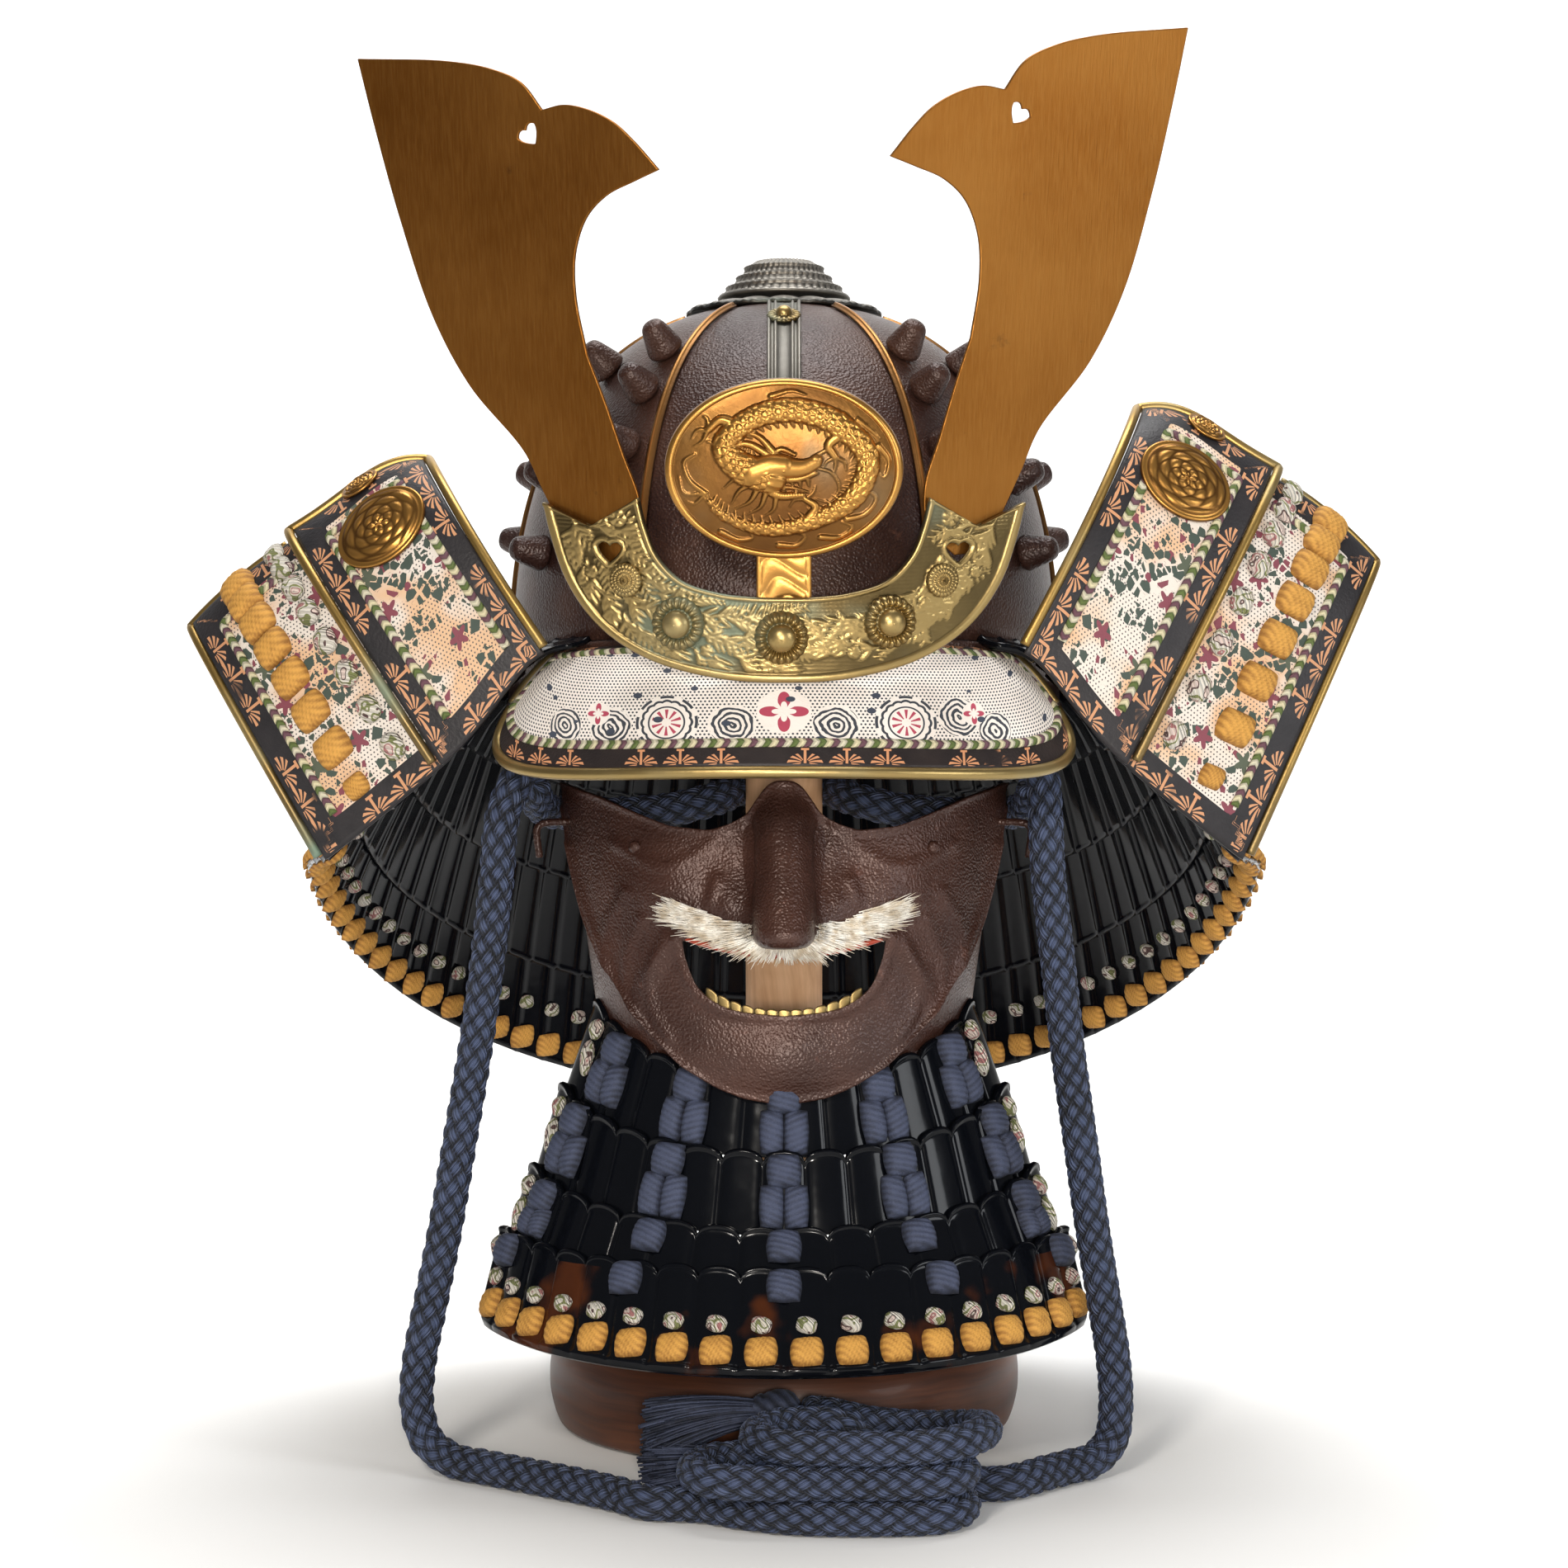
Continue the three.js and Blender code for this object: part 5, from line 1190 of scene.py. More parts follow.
def makeVisor():
    ends = np.sin(np.linspace(-1, 1, 140) * pi / 2)[:, None]
    reaches = np.linspace(0, 1.02, 44)[None]
    surface = visorPoint(ends, reaches)
    out = normals(surface)
    outSign = np.sign(out[70, 20, 2])
    half = visor["thickness"] / 2
    outer, inner = surface + out * outSign * half, surface - out * outSign * half
    across = runOf(surface[:, -1]) - runOf(surface[:, -1])[-1] / 2
    fromEdge = np.array([runOf(row[::-1])[::-1] for row in surface])
    sideways = np.minimum(runOf(surface[:, -1]), runOf(surface[:, -1])[::-1])[:,
        None] + np.zeros_like(fromEdge)
    rootward = np.array([runOf(row) for row in surface])
    edge = np.minimum(np.minimum(fromEdge, sideways * 0.9), rootward * 1.25 + 1)
    uv = stacked(np.broadcast_to(across[:, None] * (0.72 + 0.28 * reaches), fromEdge.shape), fromEdge)
    shell = wall(fromHelmet(outer), fromHelmet(inner), uv, edge=edge)
    fitted("visor", shell, visorPrint)
    shares = np.sin(np.linspace(-0.965, 0.965, 160) * pi / 2)
    ahead = visorPoint(shares, 1.04) - visorPoint(shares, 1.02)
    path = evenly(visorPoint(shares, 1.02) + unit(ahead) * 1.7, 1.6)
    rim = tube(path, visor["rim"], 14)
    ends = [visorPoint(side, np.linspace(0.15, 1.02, 20)) - (0, 0, 0.2) for side in (-0.999, 0.999)]
    bars = [rim] + [tube(evenly(end + (np.sign(side) * 1.4, 0, 0), 1.6), 1.8, 14) for end,
        side in zip(ends, (-1, 1))]
    bars = together([Form(fromHelmet(bar.points), bar.faces, height=0.8) for bar in bars])
    fitted("visorRim", bars, brass)
    level = visor["border"] + 1.2
    line = []
    for i in range(8, len(surface) - 8, 2):
        line.append([np.interp(-level, -fromEdge[i], outer[i, :, k]) for k in range(3)])
    back = []
    for i in range(14, len(surface) - 14, 2):
        back.append([np.interp(6.5, rootward[i], outer[i, :, k]) for k in range(3)])
    route = np.vstack([line, np.array(back)[::-1], [line[0]]])
    path = evenly(smoothPath(route, 2)[:-1], 1.2)
    nearest = ((path[:, None] - outer.reshape(1, -1, 3)) ** 2).sum(-1).argmin(1)
    braid = tube(path, 2.0, 12, closed=True, up=(out * outSign).reshape(-1, 3)[nearest], squash=0.55)
    braid = Form(fromHelmet(braid.points), braid.faces, braid.uv, 1)
    added("visorPiping", braid, piping)
    print("visor made")


# Neck guard

neck = {"rimHalfWidth": 194, "rimHalfDepth": 190, "drop": 82, "rearSlope": 0.49, "thickness": 2, "lames": 4,
    "overlap": 0.03, "plates": 54, "clearance": 0.3}


def foldAngle(share):
    return np.radians(41 + 27.5 * np.maximum(0, (share - 0.15) / 0.85) ** 0.8)


def neckPoint(angle, share):
    angle, share = floats(angle, share)
    root = 2 + 0.6 + neck["thickness"] / 2
    halfWidth = (bowl["halfWidth"] + root) * (1 - share) + neck["rimHalfWidth"] * share
    halfDepth = (bowl["halfDepth"] + root) * (1 - share) + neck["rimHalfDepth"] * share
    rimY = -neck["rimHalfDepth"] * np.cos(angle)
    rearwards = (rimY + np.hypot(rimY, 20)) / 2
    frontness = blendIn(0, radians(20), radians(72) - np.abs(angle))
    rootHeight = -8.1 * (1 - frontness) + frontness
    rimHeight = -neck["drop"] - neck["rearSlope"] * rearwards
    hump = bell(share - 0.24, 0.17)
    height = rootHeight * (1 - share) + rimHeight * share + 0.17 * neck["drop"] * frontness * hump
    return stacked(halfWidth * np.sin(angle), -halfDepth * np.cos(angle), height)


def aroundNeck(turn, share):
    angle = pi + turn * (pi - foldAngle(share))
    return np.where(angle > pi, angle - 2 * pi, angle)


def neckSurface(index, turn, share):
    top = 0 if index == 0 else index / neck["lames"] - neck["overlap"]
    run = (index + 1) / neck["lames"] - top
    step = 0 if index == 0 else (neck["thickness"] + 4.5 * neck["clearance"]) / (1 - neck["overlap"] / run)
    base = lambda t, s: neckPoint(aroundNeck(t, s), s)
    small = 1e-3
    facing = np.cross(base(turn + small, share) - base(turn - small, share), base(turn, share + small)
        - base(turn, share - small))
    facing = unit(facing)
    return base(turn, share) - facing * (step * (1 - (share - top) / run))[..., None], facing


def makeNeckGuard():
    for index in range(neck["lames"]):
        top = 0 if index == 0 else index / neck["lames"] - neck["overlap"]
        share = np.linspace(top, (index + 1) / neck["lames"], 15)[None]
        turn = np.linspace(-0.995, 0.995, neck["plates"] * 8 + 1)[:, None]
        turn, share = np.broadcast_arrays(turn, share)
        middle, inward = neckSurface(index, turn, share)
        phase = (turn + 0.995) / 1.99 * neck["plates"] % 1
        rib = 1.3 * bell(phase - 0.12, 0.13) - 0.5 * bell(np.minimum(phase, 1 - phase), 0.05)
        down = (share - top) / ((index + 1) / neck["lames"] - top)
        rib = rib * np.clip(1 - down * 0.15, 0, 1)
        half = neck["thickness"] / 2
        hollow = middle + inward * (half + rib * 0.8)[..., None]
        outer = middle - inward * (half + rib * 0.6)[..., None]
        shell = wall(fromHelmet(outer), fromHelmet(hollow), height=np.clip(0.5 + rib * 0.4, 0, 1))
        fitted(f"neckLame{index + 1}", shell, lacquer)
    print("neck guard made")


# Wings

wing = {"reach": 58, "depth": 38, "left": 90, "right": 115, "thickness": 3, "curl": 78, "rim": 2.0,
    "standoff": 0.8, "underlap": 5, "border": 12, "crest": 20}
wingRibs = {"fold": (0.22, 0.57, 1), "reach": (0.9, 1.03, 0.95), "depth": (1.12, 0.9, 0.76),
    "height": (0.83, 1.01, 1.05)}


wingBlocks = {"count": 8, "start": 0.1, "pitch": 0.118, "blockPlace": 1.57, "knotPlace": 1.21}


def acrossRibs(name, u):
    low, middle, high = wingRibs[name]
    return low * (1 - u) * (2 - u) / 2 + middle * u * (2 - u) + high * u * (u - 1) / 2


def wingSurface(side, u, v, lift=0.0):
    curl = radians(wing["curl"])

    def base(u, v):
        out = np.sin(v * curl) / sin(curl)
        back = (1 - np.cos(np.maximum(0, v) * curl)) / (1 - cos(curl))
        fold = acrossRibs("fold", u)
        root = neckPoint(foldAngle(fold), fold)
        height = wing["left" if side < 0 else "right"]
        return stacked(side * (root[..., 0] + wing["reach"] * acrossRibs("reach", u) * out),
            root[..., 1] + wing["depth"] * acrossRibs("depth", u) * back,
            root[..., 2] + height * acrossRibs("height", u) * out)

    u, v = floats(u, v)
    small = 1e-3
    out = side * np.cross(base(u + small, v) - base(u - small, v), base(u, v + small) - base(u, v - small))
    out = unit(out)
    return base(u, v) + out * lift, out


def makeWing(side):
    label = "Left" if side < 0 else "Right"
    half = wing["thickness"] / 2
    outerLift = wing["standoff"] + half
    innerLift = outerLift + wing["thickness"] + 0.3
    folds = [neckPoint(foldAngle(acrossRibs("fold", u)), acrossRibs("fold", u)) for u in (0.0, 1.0, 2.0)]
    innerWidth, outerWidth = np.linalg.norm(folds[0] - folds[1]), np.linalg.norm(folds[1] - folds[2])
    panels = [("Inner", innerLift, 0, 1 - 0.5 / innerWidth),
        ("Outer", outerLift, 1 - wing["underlap"] / innerWidth, 2)]
    for name, lift, start, end in panels:
        us = np.linspace(start, end, 44)[:, None]
        vs = np.linspace(0, 1, 72)[None]
        us, vs = np.broadcast_arrays(us, vs)
        middle, out = wingSurface(side, us, vs, lift)
        upward = np.array([runOf(row) for row in middle])
        acrossRun = np.array([runOf(column) for column in middle.transpose(1, 0, 2)]).T
        wide, tall = acrossRun[-1:], upward[:, -1:]
        ends = np.minimum(acrossRun, wide - acrossRun)
        if name == "Outer":
            ends = wide - acrossRun
        edge = np.minimum(np.minimum(ends, tall - upward), upward + 1)
        nearTop = np.minimum(tall - upward, upward) < ends
        edgeRun = np.where(nearTop, acrossRun, upward)
        uv = stacked(acrossRun - wide / 2, upward)
        shell = wall(fromHelmet(middle + out * half), fromHelmet(middle - out * half), uv, edge=edge,
            edgeRun=edgeRun)
        fitted(f"wing{name}{label}", shell, wingPrint)
    aside = wing["rim"] + 0.5
    endRun = np.linalg.norm(wingSurface(side, 1.0, 1.0)[0] - wingSurface(side, 1.0, 1.01)[0]) / 0.01
    over = 1 + aside / endRun
    ups = np.linspace(0.02, over, 50)
    beside = lambda u, lift: wingSurface(side, u, ups, lift)[0]
    along = lambda low, high, lift: wingSurface(side, np.linspace(low, high, 30), over, lift)[0]
    last = 1 - 0.5 / innerWidth
    innerEdge = np.vstack([beside(-aside / innerWidth, innerLift + 1.2), along(0, last, innerLift + 1.2),
        beside(last + aside / innerWidth, innerLift + 1.2)[::-1]])
    outerEdge = np.vstack([along(1.1, 2, outerLift), beside(2 + aside / outerWidth, outerLift)[::-1]])
    for name, edge in (("Inner", innerEdge), ("Outer", outerEdge)):
        path = evenly(edge, 1.6)
        bar = tube(path, wing["rim"], 12)
        level = bar.points[:, 2]
        # The height mark here follows the bar's own level, so the rim brass comes out darker and greener
        # towards the bottom of each rim.
        bar = Form(fromHelmet(bar.points), bar.faces,
            height=0.75 * blendIn(level.min() + 8, level.min() + 60, level))
        fitted(f"wingRim{name}{label}", bar, rimBrass)
    lines = []
    inset = wing["border"] + 0.8
    for name, lift, start, end in panels:
        low = start + inset / innerWidth if name == "Inner" else 1.02
        high = end - inset / (innerWidth if name == "Inner" else outerWidth)
        vEnd = 1 - inset / endRun
        seat = lift + half + 0.5
        parts = [wingSurface(side, high, np.linspace(0.08, vEnd, 40), seat)[0],
            wingSurface(side, np.linspace(high, low, 20), vEnd, seat)[0]]
        if name == "Inner":
            parts.append(wingSurface(side, low, np.linspace(vEnd, 0.08, 40), seat)[0])
        facing = wingSurface(side, high, 0.5)[1]
        braid = tube(evenly(smoothPath(np.vstack(parts)[::3], 1.5), 1.2), 1.9, 12, up=facing, squash=0.55)
        lines.append(Form(fromHelmet(braid.points), braid.faces, braid.uv))
    braids = together(lines)
    braids.period = 1
    added(f"wingPiping{label}", braids, piping)
    for u, v, size, tall, name in ((0.45, 0.66, wing["crest"], 4.0, "Crest"),
            (0.42, 0.965, 8.5, 2.2, "Stud")):
        point, out = wingSurface(side, u, v, innerLift + half + 0.2)
        disc = crestOval(size, size * 0.8, tall)
        upward = wingSurface(side, u, v + 0.02)[0] - point
        turn = helmetTurn @ turnTo(out, upward)
        oval = disc.moved(turn, fromHelmet(point))
        made = piece(f"wing{name}{label}", oval, crestBrass, outward=True)
        settle(made, "antique_brass", *([f"wing_crest_{label.lower()}"] if name == "Crest" else []))
    for index in range(wingBlocks["count"]):
        v = wingBlocks["start"] + index * wingBlocks["pitch"]
        point, out = wingSurface(side, wingBlocks["blockPlace"], v, outerLift + half + 0.2)
        turn = helmetTurn @ turnTo(out, wingSurface(side, wingBlocks["blockPlace"], v + 0.02)[0] - point)
        size = (0.9, 0.85, 1.1) if index == 0 else (1.36, 1.24, 1.35)
        wovenPlaces.append((fromHelmet(point), turn, size))
        point, out = wingSurface(side, wingBlocks["knotPlace"], v + 0.02, outerLift + half + 0.2)
        knotPlaces.append((fromHelmet(point), turn, (1.45, 2.0, 1.0)))


def crestOval(halfWide, halfTall, tall):
    # An oval boss with a beaded edge and a coiled relief
    angles = around(128)[:, None]
    radii = np.linspace(0.02, 1, 40)[None]
    dome = tall * 0.35 + tall * 0.55 * (1 - radii ** 2) ** 0.8
    scrolls = np.cos(angles * 3 + radii * 11) * np.cos(radii * 13 - angles * 2)
    relief = 0.55 * np.abs(scrolls) * (radii < 0.84) + 0.5 * (np.abs(radii - 0.93) < 0.05)
    level = dome * (radii < 0.88) + (tall * 0.3) * (radii >= 0.88) + relief
    return roundRelief(radii * halfWide * np.cos(angles), radii * halfTall * np.sin(angles), level, 0,
        relief * 1.3 + 0.2)


# Woven blocks and knots, which the neck guard, wings and throat guard share

wovenPlaces, knotPlaces, knobPlaces, pairPlaces = [], [], [], []
block = {"width": 11.5, "height": 11.0, "thick": 4.2}


def wovenBlock():
    # A soft square of four plied ends with twill ribs
    u = np.linspace(-1, 1, 15)[:, None]
    v = np.linspace(-1, 1, 17)[None]
    pillow = (1 - np.abs(u) ** 2.6) ** 0.5 * (1 - np.abs(v) ** 2.6) ** 0.5
    ribs = np.sin((v * 1.2 + u * 1.0 + 0.25 * np.sin(u * 3)) * 10.5)
    level = block["thick"] * pillow * (0.86 + 0.07 * ribs)
    x = u * block["width"] / 2 * (1 - 0.1 * v ** 4) * (1 + 0.05 * np.cos(v * 2.5))
    y = v * block["height"] / 2 * (1 - 0.1 * u ** 4) + 0.25 * np.sin(u * 2)
    top = stacked(x, y, level)
    base = stacked(x, y, -0.3)
    # The height mark is low at the block's edges and between its ribs, where the thread finish paints shade.
    return wall(top, base, height=np.clip(0.3 + 0.3 * ribs + 0.4 * pillow, 0, 1))


def twistedKnot():
    v = np.linspace(0.12, pi - 0.12, 10)[:, None]
    u = around(16)[None]
    twist = 1 + 0.1 * np.sin(u * 2 + v * 3)
    x = 3.6 * np.sin(v) * np.cos(u) * twist
    y = 2.9 * np.cos(v) + 0 * u
    z = 2.3 * np.sin(v) * np.sin(u) * twist + 0.9
    uv = stacked(u / pi, v / pi)
    form = Form(stacked(x, y, z), [gridFaces(10, 16, 0, False, True)], uv)
    return closeCentre(form, np.arange(16), np.arange(144, 160))


def lacingLobes(width, height, thick, lobes, ribs):
    # One cord end, or a pair side by side, with slanting plied ribs
    forms = []
    for k in range(lobes):
        centre = (k - (lobes - 1) / 2) * width / lobes
        u = np.linspace(-1, 1, 15)[:, None]
        v = np.linspace(-1, 1, 27)[None]
        pillow = (1 - np.abs(u) ** 2.6) ** 0.5 * (1 - np.abs(v) ** 3) ** 0.5
        mirror = 1 if k == 0 else -1
        weave = np.sin((v * ribs + mirror * u * 1.6) * pi)
        level = thick * pillow * (0.9 + 0.055 * weave)
        spread = 1 + 0.08 * np.cos(v * 2.4)
        x = centre + u * width / lobes * 0.5 * spread
        y = v * height / 2 * (1 + 0.06 * np.cos(u * 1.5)) + 0 * u
        top = stacked(x, y, level)
        base = stacked(x, y, -0.4)
        # The height mark is low at each lobe's edges and between its ribs, where the thread finish paints
        # shade.
        forms.append(wall(top, base, height=np.clip(0.2 + 0.22 * weave + 0.6 * pillow, 0, 1)))
    return together(forms)


def finishWeaving():
    settle(repeated("wovenBlocks", wovenBlock(), wovenPlaces, ochreThread), "printed_leather")
    settle(repeated("knots", twistedKnot(), knotPlaces, knotThread), "printed_leather")
    settle(repeated("lacingKnobs", lacingLobes(13, 13, 5.8, 1, 5.5), knobPlaces, navyThread), "navy_cord")
    settle(repeated("lacingPairs", lacingLobes(20, 17, 5.2, 2, 7), pairPlaces, navyThread), "navy_cord")
    print("weaving made")


# The front fitting has one leaning frame for the holder, the horns and the crest: x across, y behind, z up

front = {"lean": 14, "seat": (0, -146.66, -18.89), "bend": 142.9}
frontTurn = np.array(Matrix.Rotation(radians(front["lean"]), 3, "X"))


def fromFront(points):
    return fromHelmet(np.asarray(points, float) @ frontTurn.T + front["seat"])


def bentBack(x):
    return np.asarray(x, float) ** 2 / (2 * front["bend"])


def outFrom(x):
    slope = np.arctan(np.asarray(x, float) / front["bend"])
    return stacked(np.sin(slope), -np.cos(slope), 0 * slope)


def heartLine(width):
    half = width / 2
    bends = [((0, -1), (1, -0.2), (1, 0.4)), ((1, 0.4), (0.5, 1), (0, 0.4)),
        ((0, 0.4), (-0.5, 1), (-1, 0.4)), ((-1, 0.4), (-1, -0.2), (0, -1))]
    t = np.linspace(0, 1, 14, endpoint=False)[:, None]
    return half * np.vstack([(1 - t) ** 2 * np.array(a) + 2 * t * (1 - t) * np.array(b)
        + t * t * np.array(c) for a, b, c in bends])


def prism(line, near, far):
    # A closed bar from near to far along y, with the line of (x, z) as its section
    line = np.asarray(line, float)
    ring = np.arange(len(line))
    ahead = np.roll(ring, -1)
    points = [stacked(line[:, 0], np.full(len(line), y), line[:, 1]) for y in (near, far)]
    sides = stacked(ring, ring + len(line), ahead + len(line), ahead)
    return Form(np.concatenate(points), [ring[None], ring[::-1][None] + len(line), sides])


def shapedBy(thing, *modifiers):
    settled = thing.evaluated_get(bpy.context.evaluated_depsgraph_get())
    mesh = bpy.data.meshes.new_from_object(settled)
    for modifier in modifiers:
        thing.modifiers.remove(modifier)
    thing.data = mesh
    return thing


def carve(thing, cutters):
    tool = piece("cutter", together(cutters), thing.data.materials[0], smooth=False, outward=True)
    modifier = thing.modifiers.new("cut", "BOOLEAN")
    modifier.operation, modifier.object, modifier.solver = "DIFFERENCE", tool, "EXACT"
    shapedBy(thing, modifier)
    bpy.data.objects.remove(tool)
    return thing


def away(x, z, line):
    # The distance from each point to the nearest point of a line
    nearest = np.full(x.shape, np.inf)
    for px, pz in line:
        nearest = np.minimum(nearest, (x - px) ** 2 + (z - pz) ** 2)
    return np.sqrt(nearest)


holder = {"halfWidth": 93, "height": 70, "thickness": 2.4, "wall": 9, "notch": 10, "heart": 9,
    "heartPlace": (0.72, 0.7), "boss": 10, "rosette": 6.5, "rosettePlace": (0.645, 0.545), "fronds": 34,
    "leaf": 7.2, "relief": 1.35}
holderOuter = [(1, 0.94), (0.97, 0.77), (0.9, 0.51), (0.77, 0.28), (0.57, 0.115), (0.28, 0.02), (0, 0)]
holderInner = [(0.6, 1), (0.57, 0.84), (0.52, 0.68), (0.42, 0.55), (0.27, 0.49), (0.14, 0.472), (0, 0.47)]
# Small flowers: place along, place across and radius
holderBlooms = [(0.035, 0.76, 3.6), (0.965, 0.76, 3.6), (0.3, 0.72, 2.8), (0.4, 0.3, 2.8), (0.61, 0.3, 2.8),
    (0.7, 0.72, 2.8), (0.16, 0.3, 2.6), (0.84, 0.3, 2.6)]


def mirrored(rows):
    right = [(x * holder["halfWidth"], 0, w * holder["height"]) for x, w in rows]
    return right + [(-x, 0, w) for x, _, w in right[-2::-1]]


def holderPoint(along, across):
    along, across = floats(along, across)
    low = curveAt(mirrored(holderOuter), along.ravel()).reshape(along.shape + (3,))
    high = curveAt(mirrored(holderInner), along.ravel()).reshape(along.shape + (3,))
    point = low + (high - low) * across[..., None]
    nearTip = np.clip(1 - np.minimum(along, 1 - along) / 0.07, 0, 1)
    point[..., 2] -= holder["notch"] * nearTip * (1 - np.abs(2 * across - 1))
    point[..., 1] = bentBack(point[..., 0])
    return point


def leafLevel(x, z, level, place, heading, curl, length, size):
    # A curling spine with a pair of lobes at each step, smaller towards its tip
    steps = int(length / (size * 0.38))
    spot, angle = np.array(place, float), heading
    for step in range(steps):
        left = 1 - 0.65 * step / steps
        spot = spot + size * 0.38 * np.array([cos(angle), sin(angle)])
        for lean, long, thin in ((-0.7, 0.6, 0.13), (0.7, 0.6, 0.13), (0, 0.5, 0.08)):
            a = angle + lean
            u = (x - spot[0]) * cos(a) + (z - spot[1]) * sin(a) - size * 0.4 * left * (lean != 0)
            v = -(x - spot[0]) * sin(a) + (z - spot[1]) * cos(a)
            lobe = 1 - (u / (size * long * left)) ** 2 - (v / (size * thin * left)) ** 2
            level = np.maximum(level, np.sqrt(np.clip(lobe, 0, 1)) * (0.75 + 0.25 * left))
        angle += curl * size * 0.38
    return level


def bloomLevel(x, z, level, place, radius):
    reach = np.hypot(x - place[0], z - place[1]) / radius
    turn = np.arctan2(z - place[1], x - place[0])
    ring = np.sin(np.clip(reach, 0, 1) * pi) ** 0.6 * (0.3 + 0.7 * np.abs(np.cos(turn * 2.5)))
    heart = arch(reach / 0.32)
    return np.where(reach < 1.12, np.maximum(np.maximum(ring, heart), 0.05), level)


def makeHolder():
    along = np.linspace(0, 1, 330)[:, None]
    across = np.linspace(0, 1, 68)[None]
    middle = holderPoint(along, across)
    x, z = middle[..., 0], middle[..., 2]
    relief = np.zeros_like(x)
    rng = np.random.default_rng(5)
    for k in range(holder["fronds"]):
        for up in (0.3, 0.5, 0.72):
            share = (k + 0.2 + 0.8 * up) / holder["fronds"]
            spot, ahead = holderPoint(share, up), holderPoint(share - 0.01 * np.sign(0.5 - share), up)
            onwards = atan2(ahead[2] - spot[2], ahead[0] - spot[0])
            heading = onwards + rng.uniform(-0.5, 0.5) + (up - 0.5) * 2.2
            relief = leafLevel(x, z, relief, (spot[0], spot[2]), heading + pi, rng.uniform(-0.07, 0.07),
                rng.uniform(12, 19), holder["leaf"])
    for share, up, radius in holderBlooms:
        spot = holderPoint(share, up)
        relief = bloomLevel(x, z, relief, (spot[0], spot[2]), radius)
    hearts = []
    for side in (-1, 1):
        line = heartLine(holder["heart"]) + onPlate(side, holder["heartPlace"])
        hearts.append(line)
        near = away(x, z, line)
        relief = np.where(near < 2.6, 0.15, relief)
        relief = np.maximum(relief, 1.15 * bell(near - 1.3, 0.7))
    relief = np.maximum(relief, 0.16 * np.abs(np.sin(x * 1.9 + np.sin(z * 1.3) * 2) * np.sin(z * 2.1)))
    field = blendIn(0.1, 0.13, across) * (1 - blendIn(0.925, 0.945, across))
    rolled = arch((across - 0.05) / 0.05)
    bead = arch((across - 0.972) / 0.026) * 0.65
    tips = arch((np.minimum(along, 1 - along) - 0.006) / 0.006) * 0.6
    relief = np.maximum(np.maximum(relief * field, tips), rolled + bead)
    out = outFrom(x)
    half = holder["thickness"] / 2
    front = middle + out * (half - 0.5 + relief * holder["relief"] * 0.75)[..., None]
    plate = wall(fromFront(front), fromFront(middle - out * half), height=np.clip(relief, 0, 1))
    reach = np.linspace(0.036, 0.964, 200)[:, None]
    edge = holderPoint(reach, 0.045)
    room = blendIn(0.3, 0.65, np.abs(edge[..., 0]) / holder["halfWidth"])
    deep = np.linspace(0, 1, 8)[None] * (half * 0.8 + (holder["wall"] - half * 0.8) * room)
    strip = stacked(edge[..., 0], edge[..., 1] + deep, edge[..., 2])
    sideways = normals(strip)
    flange = wall(fromFront(strip + sideways * 0.8), fromFront(strip - sideways * 0.8), height=0.5)
    made = piece("holder", plate, brass, outward=True)
    carve(made, [turned(prism(line, -20, 40)) for line in hearts])
    settle(made, "antique_brass", "holder")
    added("holderFlange", flange, brass)
    for name, place in (("Left", (-0.43, 0.32)), ("Middle", (-0.01, 0.255)), ("Right", (0.43, 0.33))):
        boss = onHolder(flowerBoss(holder["boss"], 7, 20, 0.56, 1.6), *onPlate(1, place))
        fitted(f"boss{name}", boss, brass)
    for name, side in (("Left", -1), ("Right", 1)):
        flower = onHolder(chrysanthemum(holder["rosette"], 3.4), *onPlate(side, holder["rosettePlace"]))
        fitted(f"rosette{name}", flower, brass)
    print("holder made")


def onPlate(side, place):
    return side * holder["halfWidth"] * place[0], holder["height"] * place[1]


def turned(form):
    return Form(fromFront(form.points), form.faces)


def onHolder(form, x, w):
    out = outFrom(x)
    seat = np.array([x, float(bentBack(x)), w]) + out * (holder["thickness"] / 2 + 0.6)
    placed = form.moved(turnTo(out), seat)
    return Form(fromFront(placed.points), placed.faces, placed.uv, **placed.marks)


def chrysanthemum(radius, tall):
    # Rows of narrow petals, smaller towards a granular heart
    radii = np.linspace(0.02, 1, 44)[None]
    angles = around(192)[:, None]
    row = np.floor(radii * 4)
    within = radii * 4 - row
    petal = np.abs(np.cos(angles * 12 + row * pi / 2))
    relief = 0.5 * petal ** 0.7 * np.sin(np.clip(within, 0, 1) * pi) ** 0.6
    level = tall * (0.25 + 0.6 * (1 - radii ** 2) ** 0.8) + relief
    reach = radii * radius * (1 + 0.03 * petal * (radii > 0.9))
    return roundRelief(reach * np.cos(angles), reach * np.sin(angles), level, -0.3, 0.25 + relief * 1.6)


horn = {"height": 194, "width": 97, "thickness": 1.5, "foot": 73, "footHeight": 40, "rightTurn": 3,
    "rightLift": 7, "hole": 9, "holeAcross": 0.27, "holeUp": 0.86, "holeTilt": 40, "bevel": 0.4}
hornEdges = [[(0.06, 0), (0.22, 0.15), (0.3, 0.23), (0.52, 0.355), (0.67, 0.49), (0.8, 0.68), (0.9, 0.86),
    (0.97, 1)], [(0.97, 1), (0.6, 1), (0.42, 0.987), (0.3, 0.962), (0.215, 0.91)],
    [(0.215, 0.91), (0.13, 0.921), (0.03, 0.913), (-0.07, 0.89), (-0.15, 0.855), (-0.25, 0.8)],
    [(-0.25, 0.8), (-0.15, 0.775), (-0.04, 0.745), (0.04, 0.7), (0.085, 0.63), (0.085, 0.545), (0.04, 0.43)],
    [(0.04, 0.43), (-0.03, 0.34), (-0.1, 0.24), (-0.17, 0.14), (-0.16, 0.06), (-0.06, 0)]]


